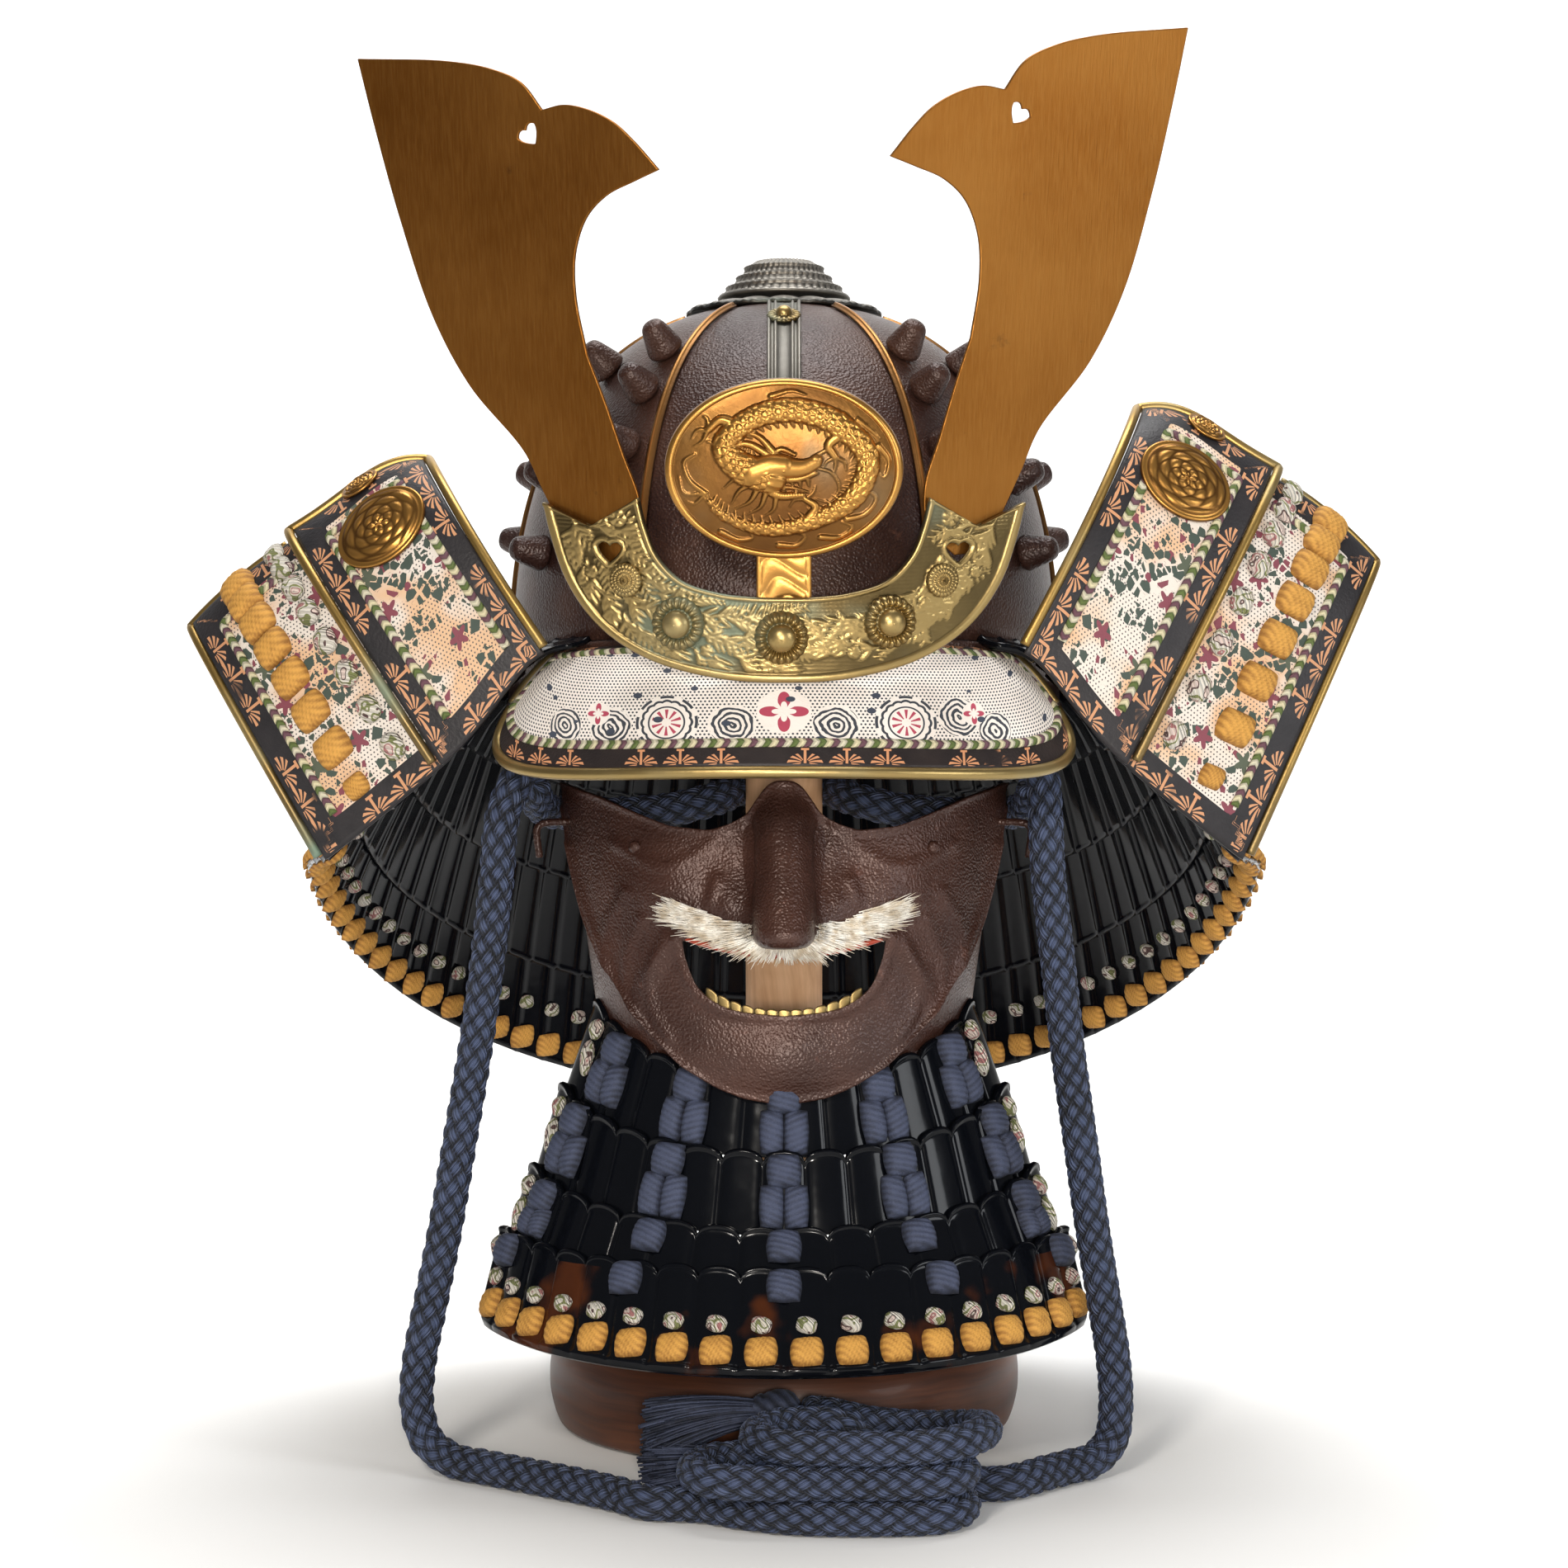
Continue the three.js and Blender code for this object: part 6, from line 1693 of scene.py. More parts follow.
def makeHorn(name, side, turn, lift):
    slope = atan(horn["foot"] / front["bend"])
    stretch = side * horn["width"] / cos(slope)
    outline = []
    for edge in hornEdges:
        rows = [(a * stretch, 0, h * horn["height"]) for a, h in edge]
        outline.append(curveAt(rows, np.linspace(0, 1, 10 * (len(rows) - 1), endpoint=False))[:, [0, 2]])
    outline.append([[hornEdges[-1][-1][0] * stretch, 0]])
    plate = prism(np.vstack(outline), 0, horn["thickness"])
    tilt = side * radians(horn["holeTilt"])
    spin = np.array([[cos(tilt), sin(tilt)], [-sin(tilt), cos(tilt)]])
    place = (horn["holeAcross"] * stretch, horn["holeUp"] * horn["height"])
    hole = prism(heartLine(horn["hole"]) @ spin.T + place, -6, 6)
    made = carve(piece(name, plate, hornBrass, smooth=False, outward=True), [hole])
    bevel = made.modifiers.new("bevel", "BEVEL")
    bevel.width, bevel.segments = horn["bevel"] * mm, 2
    bevel.limit_method, bevel.angle_limit = "ANGLE", radians(50)
    shapedBy(made, bevel)
    turnAround = np.array(Matrix.Rotation(-side * radians(turn), 3, "Y"))
    toSide = np.array(Matrix.Rotation(side * slope, 3, "Z"))
    points = np.array([v.co for v in made.data.vertices]) / mm
    points = points @ turnAround.T + (0, holder["thickness"] / 2 + float(bentBack(horn["width"] * 0.2))
        + 0.3, 0)
    points = points @ toSide.T + (side * horn["foot"], float(bentBack(horn["foot"])), horn["footHeight"]
        + lift)
    made.data.vertices.foreach_set("co", (fromFront(points) * mm).astype(np.float32).ravel())
    made.data.update()
    settle(made, "horn_brass", f"horn_{name[4:].lower()}")


# Crest: an oval with a coiled dragon, cloud curls and a rolled rim

crest = {"halfWidth": 45.5, "halfHeight": 34.5, "height": 82.6, "rim": 2.6, "dome": 5, "girth": 4.6,
    "stemWidth": 21, "stemThickness": 2.4}
dragonPath = [(-0.12, -0.06, 1.5), (-0.34, 0.02, 1.35), (-0.5, 0.26, 1), (-0.28, 0.56, 0.95),
    (0.08, 0.66, 1), (0.46, 0.5, 1.05), (0.7, 0.14, 1), (0.6, -0.28, 0.9), (0.26, -0.56, 0.75),
    (-0.16, -0.66, 0.6), (-0.52, -0.5, 0.4), (-0.68, -0.26, 0.2)]
# Head, horns, mane, whiskers, legs and claws: first radius, last radius, then the line in millimetres
dragonStrokes = [(5.4, 4.6, (-12, -1), (-5, 1.5), (0, 1.5)), (4.2, 2.5, (0, 1), (7, 1), (12, 3)),
    (2.2, 2.2, (12, 4), (12.6, 4)), (1.5, 1.1, (-3, -3), (5, -3.4), (12, -1)),
    (2.3, 1.3, (-9, -5), (-2, -9.5), (7, -9.5)), (0.9, 0.5, (-2, -6.3), (4, -6.8), (9, -8.2)),
    (2.0, 2.0, (-1.2, 4.3), (-0.8, 4.3)), (1.2, 0.8, (-5, 5.5), (-1, 8), (4, 6)),
    (1.7, 0.5, (-6, 6), (-14, 10), (-23, 8.5), (-29, 11)), (1.6, 0.5, (-4, 7), (-10, 13), (-18, 14.5)),
    (1.7, 0.6, (-10, 3), (-15, 5.5)), (1.3, 0.3, (-12, -2), (-18, -3), (-23, -7)),
    (1.3, 0.3, (-12, -5), (-17, -8), (-20, -13)), (1.3, 0.3, (-10, -7), (-13, -12), (-19, -15)),
    (1.2, 0.3, (-7, -9), (-9, -14), (-14, -17)), (1.1, 0.3, (-3, -11), (-4, -15), (-8, -18)),
    (0.9, 0.4, (11, 5), (17, 9), (16, 15), (10, 16.5)), (0.8, 0.35, (12, 1), (18, -1), (21, -7), (17, -12),
    (12, -11)), (0.8, 0.4, (3, -4.2), (3.3, -6)), (0.8, 0.4, (6, -4.4), (6.2, -6.2)),
    (0.9, 0.4, (9, -3.4), (9.4, -6)), (0.8, 0.4, (0, -7.2), (0.2, -5.6)),
    (0.8, 0.4, (4.5, -8.2), (4.8, -6.8)), (2.2, 1.3, (22, 14), (17, 9.5), (19.5, 5)),
    (0.9, 0.3, (19.5, 5), (16, 3), (14.5, 0)), (0.9, 0.3, (19.5, 5), (19.5, 1.5), (18.5, -2)),
    (0.9, 0.3, (19.5, 5), (23, 3), (23.5, 0)), (2.0, 1.2, (9, -19), (12, -14), (8, -11)),
    (0.8, 0.3, (8, -11), (4, -11.5), (2, -14)), (0.8, 0.3, (8, -11), (6, -8.5), (3.5, -8.5)),
    (0.8, 0.3, (8, -11), (11, -8.5), (12, -6)), (2.2, 1.3, (-18, 17), (-24, 19), (-29, 15)),
    (0.9, 0.3, (-29, 15), (-33, 15), (-35, 12)), (0.9, 0.3, (-29, 15), (-31, 11), (-34, 9)),
    (0.9, 0.3, (-29, 15), (-29, 19), (-31, 21)), (1.0, 0.5, (-30, -9), (-36, -4), (-38, 3), (-34, 6)),
    (0.9, 0.4, (-30, -9), (-38, -9), (-40, -3)), (0.8, 0.3, (-30, -9), (-34, -13), (-38, -12)),
    (1.2, 0.4, (24, -19), (31, -17), (35, -11), (31, -8), (28, -11)),
    (1.2, 0.4, (14, -26), (22, -26), (26, -22), (22, -20)), (1.2, 0.4, (-2, -29), (5, -29), (8, -25.5),
    (4, -24)), (1.1, 0.4, (36, 9), (40, 3), (38, -3), (35, 0)),
    (1.2, 0.4, (-24, -24), (-17, -27), (-12, -26), (-14, -23)), (1.0, 0.4, (-5, 28), (3, 30), (8, 28.5)),
    (1.0, 0.4, (28, 19), (33, 15), (36, 12))]


def strokeLevel(x, z, strokes):
    level = np.zeros_like(x)
    for first, last, *line in strokes:
        points = curveAt([(a, 0, b) for a, b in line], np.linspace(0, 1, 9 * (len(line) - 1) + 1))
        for (px, _, pz), radius in zip(points, np.linspace(first, last, len(points))):
            square = radius ** 2 - (x - px) ** 2 - (z - pz) ** 2
            level = np.maximum(level, np.sqrt(np.clip(square, 0, None)))
    return level


def bodyLevel(x, z):
    # The coiled body with rows of scales, and spines along its outer side
    rows = [(a * crest["halfWidth"], 0, b * crest["halfHeight"]) for a, b, _ in dragonPath]
    line = curveAt(rows, np.linspace(0, 1, 260))
    girth = crest["girth"] * np.interp(np.linspace(0, 1, 260), np.linspace(0, 1, len(rows)),
        [g for _, _, g in dragonPath])
    run = runOf(line)
    level, station, offset = np.zeros_like(x), np.zeros_like(x), np.zeros_like(x)
    heading = np.gradient(line, axis=0)
    heading = unit(heading)
    nearest = np.full(x.shape, np.inf)
    for i in range(len(line)):
        dx, dz = x - line[i, 0], z - line[i, 2]
        square = dx * dx + dz * dz
        closer = square < nearest
        nearest = np.where(closer, square, nearest)
        station = np.where(closer, run[i], station)
        offset = np.where(closer, dx * heading[i, 2] - dz * heading[i, 0], offset)
        level = np.maximum(level, np.sqrt(np.clip(girth[i] ** 2 - square, 0, None)) * 0.62)
    row = np.floor(station / 2.7)
    lean = (offset / 3.0 + 0.5 * (row % 2)) % 1
    arc = np.hypot(2 * lean - 1, 1 - (station / 2.7 - row))
    level = np.where(level > 0.2, level - 0.42 * bell(arc - 1, 0.2) + 0.16 * (arc < 0.85), level)
    spines = []
    for i in range(18, 250, 5):
        edge = line[i, [0, 2]] + np.array([-heading[i, 2], heading[i, 0]]) * girth[i] * -0.85
        tip = edge + np.array([-heading[i, 2], heading[i, 0]]) * -2.6 - heading[i, [0, 2]] * -1.2
        spines.append((0.9, 0.25, tuple(edge), tuple(tip)))
    return np.maximum(level, strokeLevel(x, z, spines) * 0.8)


def makeCrest():
    angles = around(420)[:, None]
    radii = np.concatenate([np.linspace(0.01, 0.92, 96), np.linspace(0.925, 1, 12)])[None]
    across, up = radii * np.cos(angles), radii * np.sin(angles)
    x, z = across * crest["halfWidth"], up * crest["halfHeight"]
    dome = crest["rim"] + crest["dome"] * (1 - np.clip(radii, 0, 0.999) ** 2) ** 0.8
    figure = np.maximum(bodyLevel(x, z), strokeLevel(x, z, dragonStrokes) * 0.85) * (1 - blendIn(0.88, 0.92,
        radii))
    rolled = 1.5 * arch((radii - 0.963) / 0.037)
    level = dome + figure * 1.05 + rolled
    depth = front["stemFront"] - 0.3
    outer = stacked(x, depth - level, z + crest["height"])
    inner = stacked(x, depth, z + crest["height"])
    form = wall(fromFront(outer), fromFront(inner), wraps=True,
        height=np.clip(0.15 + figure * 0.3 + rolled * 0.6, 0, 1))
    rim = np.arange(0, len(form.points) // 2, radii.shape[1])
    fitted("crestDisc", closeCentre(form, rim, rim + len(form.points) // 2), crestBrass)
    bottom, top = holder["height"] * 0.15, crest["height"] + crest["halfHeight"] * 0.4
    u = np.linspace(-1, 1, 30)[:, None]
    v = np.linspace(bottom, top, 150)[None]
    waves = np.abs(np.sin(v * 0.42 + np.sin(u * 3 + v * 0.13) * 1.5)) ** 0.6 * 0.9 * (np.abs(u) < 0.8)
    rail = 0.8 * bell(np.abs(u) - 0.92, 0.07)
    level = 0.2 + waves + rail
    outer = stacked(u * crest["stemWidth"] / 2, front["stemFront"] - level * 0.8, v)
    inner = stacked(u * crest["stemWidth"] / 2, front["stemFront"] + crest["stemThickness"] + 0 * level, v)
    fitted("crestStem", wall(fromFront(outer), fromFront(inner), height=np.clip(level, 0, 1)), crestBrass)
    print("crest made")


front["stemFront"] = holder["thickness"] / 2 + float(bentBack(crest["stemWidth"] / 2)) + 0.6


# Face mask

mask = {"halfWidth": 90, "height": 126.5, "depth": 78, "sideY": -40, "chin": 151, "thickness": 2, "nose": 30,
    "mouthWidth": 80, "mouthHeight": 29, "mouthRise": 35, "teeth": 13, "hook": 1.5, "rivetAside": 59,
    "rivetHeight": 250}
jawLine = [(0, 0), (0.18, 0.02), (0.3, 0.055), (0.45, 0.12), (0.58, 0.21), (0.73, 0.35), (0.83, 0.45),
    (0.89, 0.56), (0.93, 0.69), (0.967, 0.775), (1, 0.93)]
browLine = [(0, 1), (0.05, 0.995), (0.09, 0.96), (0.13, 0.91), (0.22, 0.865), (0.32, 0.842), (0.49, 0.85),
    (0.63, 0.882), (0.82, 0.928), (0.97, 0.948), (1, 0.95)]
bulgeLine = [(-0.2, 0.94), (0, 0.96), (0.12, 1.02), (0.3, 1.0), (0.45, 0.99), (0.8, 0.88), (1, 0.8)]
# Folds of the face, each with its width and its height
folds = [(3.4, 1.7, (26, 238), (33, 226), (44, 213), (55, 197), (58, 183)),
    (2.6, 1.3, (46, 216), (52, 200), (51, 186), (45, 176)), (2.2, 1.0, (56, 222), (62, 206), (61, 190),
    (54, 176)), (2.4, 1.1, (62, 232), (70, 216), (70, 201)), (2.0, 1.3, (86, 247), (80, 226), (71, 205),
    (60, 187), (47, 171), (34, 160)), (2.6, 0.9, (20, 262), (34, 248), (48, 243), (66, 250))]


def fromTable(rows, share):
    return np.interp(share, [a for a, _ in rows], [b for _, b in rows])


def onEdge(rows, x):
    share = np.abs(x) / mask["halfWidth"]
    level = sum(fromTable(rows, np.abs(share + k)) for k in (-0.024, -0.012, 0, 0.012, 0.024)) / 5
    return mask["chin"] + mask["height"] * level


def maskPoint(x, z, proud=0.0):
    x, z = floats(x, z)
    level = (z - mask["chin"]) / mask["height"]
    across = np.minimum(np.abs(x) / mask["halfWidth"], 0.999)
    bulge = sum(fromTable(bulgeLine, level + k) for k in (-0.04, 0, 0.04)) / 3
    face = mask["depth"] * bulge * (1 - across ** 2.2) ** 0.62
    bridge = np.clip((level - 0.53) / 0.47, 0, 1)
    width = 15 * (1 - bridge) + 8.5 * bridge
    nose = mask["nose"] * (1 - 0.78 * bridge) * blendIn(0.5, 0.545,
        level) * np.exp(-np.abs(x / width) ** 2.4)
    cheek = 5 * np.exp(-((np.abs(x) - 46) / 17) ** 2 - ((level - 0.66) / 0.13) ** 2)
    return stacked(x, mask["sideY"] - face - nose - cheek - proud, z)


def sculpted(x, z):
    side = np.abs(x)
    level = 3.8 * np.exp(-((side - 22) / 8.5) ** 2 - ((z - 229) / 9.5) ** 2)
    level -= 1.3 * np.exp(-((side - 31.5 + (z - 228) * 0.12) / 2.6) ** 2 - ((z - 229) / 11) ** 2)
    level -= 3.2 * np.exp(-((side - 17.5) / 3.6) ** 2 - ((z - 219.5 - (side - 17) * 0.2) / 1.7) ** 2)
    level += 2.6 * np.exp(-(side / 10.5) ** 6) * blendIn(211, 215, z) * (1 - blendIn(262, 272, z))
    level -= 3.4 * bell(side - 14.5, 3) * blendIn(212, 220, z) * (1 - blendIn(254, 268, z))
    level += 2.2 * np.exp(-(side / 14) ** 2 - ((z - 168) / 15) ** 2)
    level -= 1.2 * np.exp(-(side / 26) ** 2 - ((z - 184) / 5) ** 2)
    for width, height, *line in folds:
        dense = curveAt([(a, 0, b) for a, b in line], np.linspace(0, 1, 12 * (len(line) - 1) + 1))
        level += height * bell(away(side, z, dense[:, [0, 2]]), width)
    level += 1.1 * bell(onEdge(browLine, x) - z, 1.8) + 0.8 * bell(z - onEdge(jawLine, x), 1.6)
    lip = away(side, z, mouthLine(10))
    return level + 1.3 * bell(lip - 1.5, 2.2)


def mouthLine(count=14):
    half = [(0, 0), (0.25, 0.08), (0.4, 0.3), (0.48, 0.72), (0.5, 1)]
    upper = [(0.5, 1), (0.25, 0.86), (0, 0.79)]
    rows = [curveAt([(a, 0, b) for a, b in line], np.linspace(0, 1, count * (len(line) - 1),
        endpoint=False)) for line in (half, upper)]
    right = np.vstack(rows + [[[0, 0, 0.79]]])[:, [0, 2]] * (mask["mouthWidth"], mask["mouthHeight"])
    return right + (0, mask["chin"] + mask["mouthRise"])


def makeMask():
    t = np.linspace(-1, 1, 250)
    x = (0.99 * np.sin(t * pi / 2) * 0.55 + 0.99 * t * 0.45)[:, None] * mask["halfWidth"]
    v = np.linspace(0, 1, 136)[None]
    low, high = onEdge(jawLine, x), onEdge(browLine, x)
    z = low * (1 - v) + high * v
    middle = maskPoint(x + 0 * v, z)
    out = normals(middle)
    out = out * np.sign(-out[125, 40, 1])
    half = mask["thickness"] / 2
    shell = wall(middle + out * (half - 0.3 + sculpted(x + 0 * v, z) * 0.9)[..., None], middle - out * half)
    right = mouthLine()
    hole = np.vstack([right, (right * (-1, 1))[-2:0:-1]])
    made = carve(piece("mask", shell, maskIron, outward=True), [prism(hole, -180, -72)])
    for polygon in made.data.polygons:
        polygon.use_smooth = True
    settle(made, "russet_iron", "mask")
    rivets = []
    for side in (-1, 1):
        seat = maskPoint(side * mask["rivetAside"], mask["rivetHeight"], 1.6)
        dome = lathe([(2.6, -0.6), (2.5, 0.5), (1.9, 1.2), (1.0, 1.55), (0.1, 1.65)], 20)[0]
        rivet = closeCentre(Form(dome.reshape(-1, 3), [gridFaces(5, 20, 0, False, True)]), np.arange(20),
            np.arange(80, 100))
        rivets.append(rivet.moved(turnTo(np.array([side * 0.45, -0.85, 0.1])), seat))
    added("maskRivets", together(rivets), maskIron)
    top = right[14 * 4:]
    line = np.vstack([(top * (-1, 1)), top[-2::-1]])
    keep = line[np.abs(line[:, 0]) < 40.5]
    path = evenly(np.array([maskPoint(px, pz + 0.9, 1.6) for px, pz in keep]), 1.2)
    girth = 2.0 * np.sqrt(np.clip(1 - (2 * np.linspace(0, 1, len(path)) - 1) ** 6, 0.02, 1))
    added("upperLip", tube(path, girth, 12, squash=0.75), vermilion)
    u = np.linspace(-1, 1, mask["teeth"] * 14 + 1)[:, None]
    v = np.linspace(0, 1, 9)[None]
    phase = (u + 1) / 2 * mask["teeth"] % 1
    crown = arch(2 * phase - 1)
    x = u * mask["mouthWidth"] * 0.385
    lip = mask["chin"] + mask["mouthRise"] + mask["mouthHeight"] * (0.02 + 0.3 * np.abs(u) ** 2.4)
    point = maskPoint(x + 0 * v, lip - 4 + v * (4.6 + 1.3 * crown))
    point[..., 1] += half + 0.9
    bulge = (0.5 * crown ** 0.6 - 0.2) * np.ones_like(v)
    front, back = point.copy(), point.copy()
    front[..., 1] -= 0.5 + bulge
    back[..., 1] += 0.6
    fitted("maskTeeth", wall(front, back, height=np.clip(crown + 0 * v, 0, 1)), brass)
    for name, side in (("Left", -1), ("Right", 1)):
        x, z = mask["halfWidth"] * 0.955, mask["chin"] + mask["height"] * 0.83
        root = maskPoint(x, z) + (0.9, -0.6, 0.2)
        bend = [root - (4, -1, 0), root, (mask["halfWidth"] * 1.08, root[1] - 2.6, root[2] - 0.6),
            (mask["halfWidth"] * 1.1, root[1] - 3, root[2] - 2.6), (mask["halfWidth"] * 1.09, root[1] - 3,
            root[2] - 14)]
        path = smoothPath([np.array(p) * (side, 1, 1) for p in bend], 0.9)
        fitted(f"hook{name}", tube(path, mask["hook"], 12), maskIron)
    flangeTurns = np.linspace(-1, 1, 120)[:, None]
    jawX = flangeTurns * mask["halfWidth"] * 0.93
    rise = maskPoint(jawX, onEdge(jawLine, jawX) + 9)[:, 0] + (0, 4.5, 0)
    fall = throatSurface(0, flangeTurns * 0.99, 0.1 + 0 * flangeTurns)[0][:, 0] + (0, 4, 0)
    q = np.linspace(0, 1, 14)[None, :, None]
    sheet = rise[:, None] * (1 - q) + fall[:, None] * q
    side = normals(sheet)
    added("maskFlange", wall(sheet + side * 0.7, sheet - side * 0.7), maskIron)
    print("mask made")


moustache = {"hairs": 1700, "seed": 11, "halfWidth": 54, "length": 17}


def bristle():
    along = np.linspace(0, 1, 6)
    path = stacked(0, 1.6 * along ** 2, moustache["length"] * along)
    form = tube(path, 0.36 * (1 - 0.75 * along ** 2), 3, up=(0, 1, 0))
    return Form(form.points, form.faces)


def makeMoustache():
    rng = np.random.default_rng(moustache["seed"])
    places = []
    lipHeight = mask["chin"] + mask["mouthRise"] + mask["mouthHeight"] * 0.93
    for k in range(moustache["hairs"]):
        side = -1 if k % 2 else 1
        share = rng.uniform(0, 1) ** 1.1
        x = side * (0.2 + (moustache["halfWidth"] - 15) * share)
        lift = 13 * (abs(x) / 54) ** 1.2
        z = lipHeight + lift + rng.uniform(-0.8, 8 - 4.5 * (share < 0.25)) * (1 - 0.15 * share)
        slope = radians(np.interp(share, [0, 0.1, 0.3, 0.6, 1], [-86, -52, -22, -4, 16]) + rng.normal(0, 8))
        seat = maskPoint(x, z, 1.0 + rng.uniform(0, 1.6))
        if abs(x) < 17:
            seat[1] = maskPoint(17, z)[1] - 3 - rng.uniform(0, 3)
        ahead = maskPoint(x + side * 8, z) - maskPoint(x, z)
        heading = np.array([side * cos(slope), max(ahead[1] / 8, -0.1) * cos(slope) - 0.14, sin(slope)])
        size = rng.uniform(0.62, 1.0) * np.interp(share, [0, 0.12, 0.3, 1], [0.36, 0.55, 0.85, 0.95])
        places.append((seat, turnTo(heading, (0, -1, 0.2)), (1, 1, size)))
    settle(repeated("moustache", bristle(), places, cream), "cream_bristle", "moustache")
    print("moustache made")


# Throat guard: four lames of scales with rounded tops, each in front of the one above

throat = {"topSetback": 5.3, "topRise": 10.2, "topHalfWidth": 74, "endRise": 36.2, "endReach": 58,
    "bottomHeight": 52, "bottomHalfWidth": 121, "bottomReach": 165, "bottomEndRise": 5.2,
    "bottomEndReach": 80, "thickness": 2, "step": 2.9, "scales": (14, 15, 16, 18), "tops": 4.2,
    "innerColumns": (0.36, 0.38, 0.39, 0.42), "outerColumns": (0.73, 0.81, 0.83, 0.9)}
# Reach, height and half width in the middle, reach and height at the ends, as shares of the way down
throatSeams = [(0, 0, 0, 0, 0), (0.152, 0.286, 0.271, 0.091, 0.288), (0.333, 0.552, 0.521, 0.318, 0.532),
    (0.548, 0.69, 0.76, 0.545, 0.736), (1, 1, 1, 1, 1)]


def seamPoint(seam, turn):
    spread = radians(75)
    bow = (np.cos(turn * spread) - cos(spread)) / (1 - cos(spread))
    topReach = -float(maskPoint(0, mask["chin"])[1]) - throat["topSetback"]
    ends = [(topReach, throat["bottomReach"]), (mask["chin"] + throat["topRise"], throat["bottomHeight"]),
        (throat["topHalfWidth"], throat["bottomHalfWidth"]), (throat["endReach"], throat["bottomEndReach"]),
        (mask["chin"] + throat["endRise"], throat["bottomHeight"] + throat["bottomEndRise"])]
    reach, height, halfWidth, endReach, endHeight = (a + (b - a) * share for (a, b),
        share in zip(ends, seam))
    return stacked(halfWidth * np.sin(turn * spread) / sin(spread), -(endReach + (reach - endReach) * bow),
        height + (endHeight - height) * turn ** 2)


def throatSurface(index, turn, down):
    turn, down = floats(turn, down)

    def base(t, d):
        upper, lower = seamPoint(throatSeams[index], t), seamPoint(throatSeams[index + 1], t)
        return upper + (lower - upper) * d[..., None]

    small = 1e-3
    held = np.maximum(down, 0)
    out = np.cross(base(turn, held + small) - base(turn, held - small), base(turn + small, held)
        - base(turn - small, held))
    out = unit(out)
    step = 0 if index == 0 else throat["step"]
    return base(turn, down) + out * (step * (1 - down))[..., None], out


def throatPlace(index, turn, below, places, size=1.0, proud=1.4, lean=0.0):
    # below is the distance in millimetres under the top of the lame, or above its lower edge when negative
    tall = lameHeight(index, turn)
    top = 0 if index == 0 else -0.08
    down = top + below / tall if below >= 0 else 1 + below / tall
    point, out = throatSurface(index, turn, down)
    above = throatSurface(index, turn, down - 0.05)[0] - point
    beside = throatSurface(index, turn + 0.01, down)[0] - point
    upward = above / np.linalg.norm(above) + beside / np.linalg.norm(beside) * lean
    places.append((point + out * proud, turnTo(out, upward), size))


def lameHeight(index, turn):
    top, bottom = throatSurface(index, turn, 0.0)[0], throatSurface(index, turn, 1.0)[0]
    return float(np.linalg.norm(bottom - top))


# Distances in millimetres: under the top of a lame, and for the last two above the lower edge
lacing = {"knob": 8.5, "pair": 22.5, "smallPair": 19, "knot": 9, "longKnot": 21, "blockUp": 10,
    "knotUp": 20.5}


def makeThroatGuard():
    half = throat["thickness"] / 2
    for index, scales in enumerate(throat["scales"]):
        turn = np.linspace(-1, 1, scales * 16 + 1)[:, None]
        q = np.concatenate([np.linspace(0, 0.12, 8), np.linspace(0.16, 0.92, 16),
            np.linspace(0.94, 1, 6)])[None]
        tall = np.array([lameHeight(index, t) for t in turn[:, 0]])[:, None]
        phase = (turn + 1) / 2 * scales % 1
        bowed = arch(2 * phase - 1)
        start = (0 if index == 0 else -0.08) + (1 - bowed) * throat["tops"] / tall
        corner = np.clip((np.abs(turn) - 0.95) / 0.05, 0, 1) ** 2 * (0.17 if index == 3 else 0.04)
        down = start * (1 - q) + (1 - corner) * q
        middle, out = throatSurface(index, turn + 0 * q, down)
        fromTop, fromLow = (down - start) * tall, (1 - corner - down) * tall
        domed = 0.9 * (1 - (2 * phase - 1) ** 4) - 0.45 * bell(np.minimum(phase, 1 - phase), 0.035)
        rim = 0.9 * bell(fromTop - 1.3, 1.0) - 0.7 * bell(fromTop, 0.5)
        border = np.zeros_like(down)
        if index == 3:
            edge = np.minimum(fromLow, (1 - np.abs(turn)) * 120)
            border = 1.2 * bell(edge - 2.2, 1.6) - 0.5 * bell(edge - 6.2, 0.5)
        bulge = domed * (1 - np.exp(-fromLow / 2.5) * (index == 3)) + rim + border
        shell = wall(middle + out * (half + bulge)[..., None], middle - out * half)
        fitted(f"throatLame{index + 1}", shell, lacquer)
        inner, outer = throat["innerColumns"][index], throat["outerColumns"][index]
        for column in (-outer, -inner, 0, inner, outer):
            throatPlace(index, column, lacing["knob"], knobPlaces, proud=1.9)
            if index < 2:
                throatPlace(index, column, lacing["pair"], pairPlaces, (0.95, 1, 1), 1.8)
            elif index == 2 and abs(column) == outer:
                throatPlace(index, column, lacing["smallPair"], pairPlaces, (0.8, 0.7, 1), 1.8)
        for side in (-1, 1):
            last = (outer + 1) / 2 + 0.02
            throatPlace(index, side * last, lacing["knot"], knotPlaces, (1.1, 1.5, 1.1), 1.8, side * 0.35)
            if index < 3:
                throatPlace(index, side * last, lacing["longKnot"], knotPlaces, (1.0, 2.6, 1.0), 1.8,
                    side * 0.3)
    count = throat["scales"][-1]
    for k in range(count):
        turn = (k + 0.5) / count * 2 - 1
        throatPlace(3, turn * 0.985, -lacing["blockUp"], wovenPlaces, (1.09, 1.12, 1.1), 1.5)
        throatPlace(3, turn * 0.985, -lacing["knotUp"], knotPlaces, (1.25, 1.25, 1.1), 1.6, 0.25)
    print("throat guard made")


guardBlocks = {"pitch": 13.6, "blockShare": 0.955, "knotShare": 0.86}


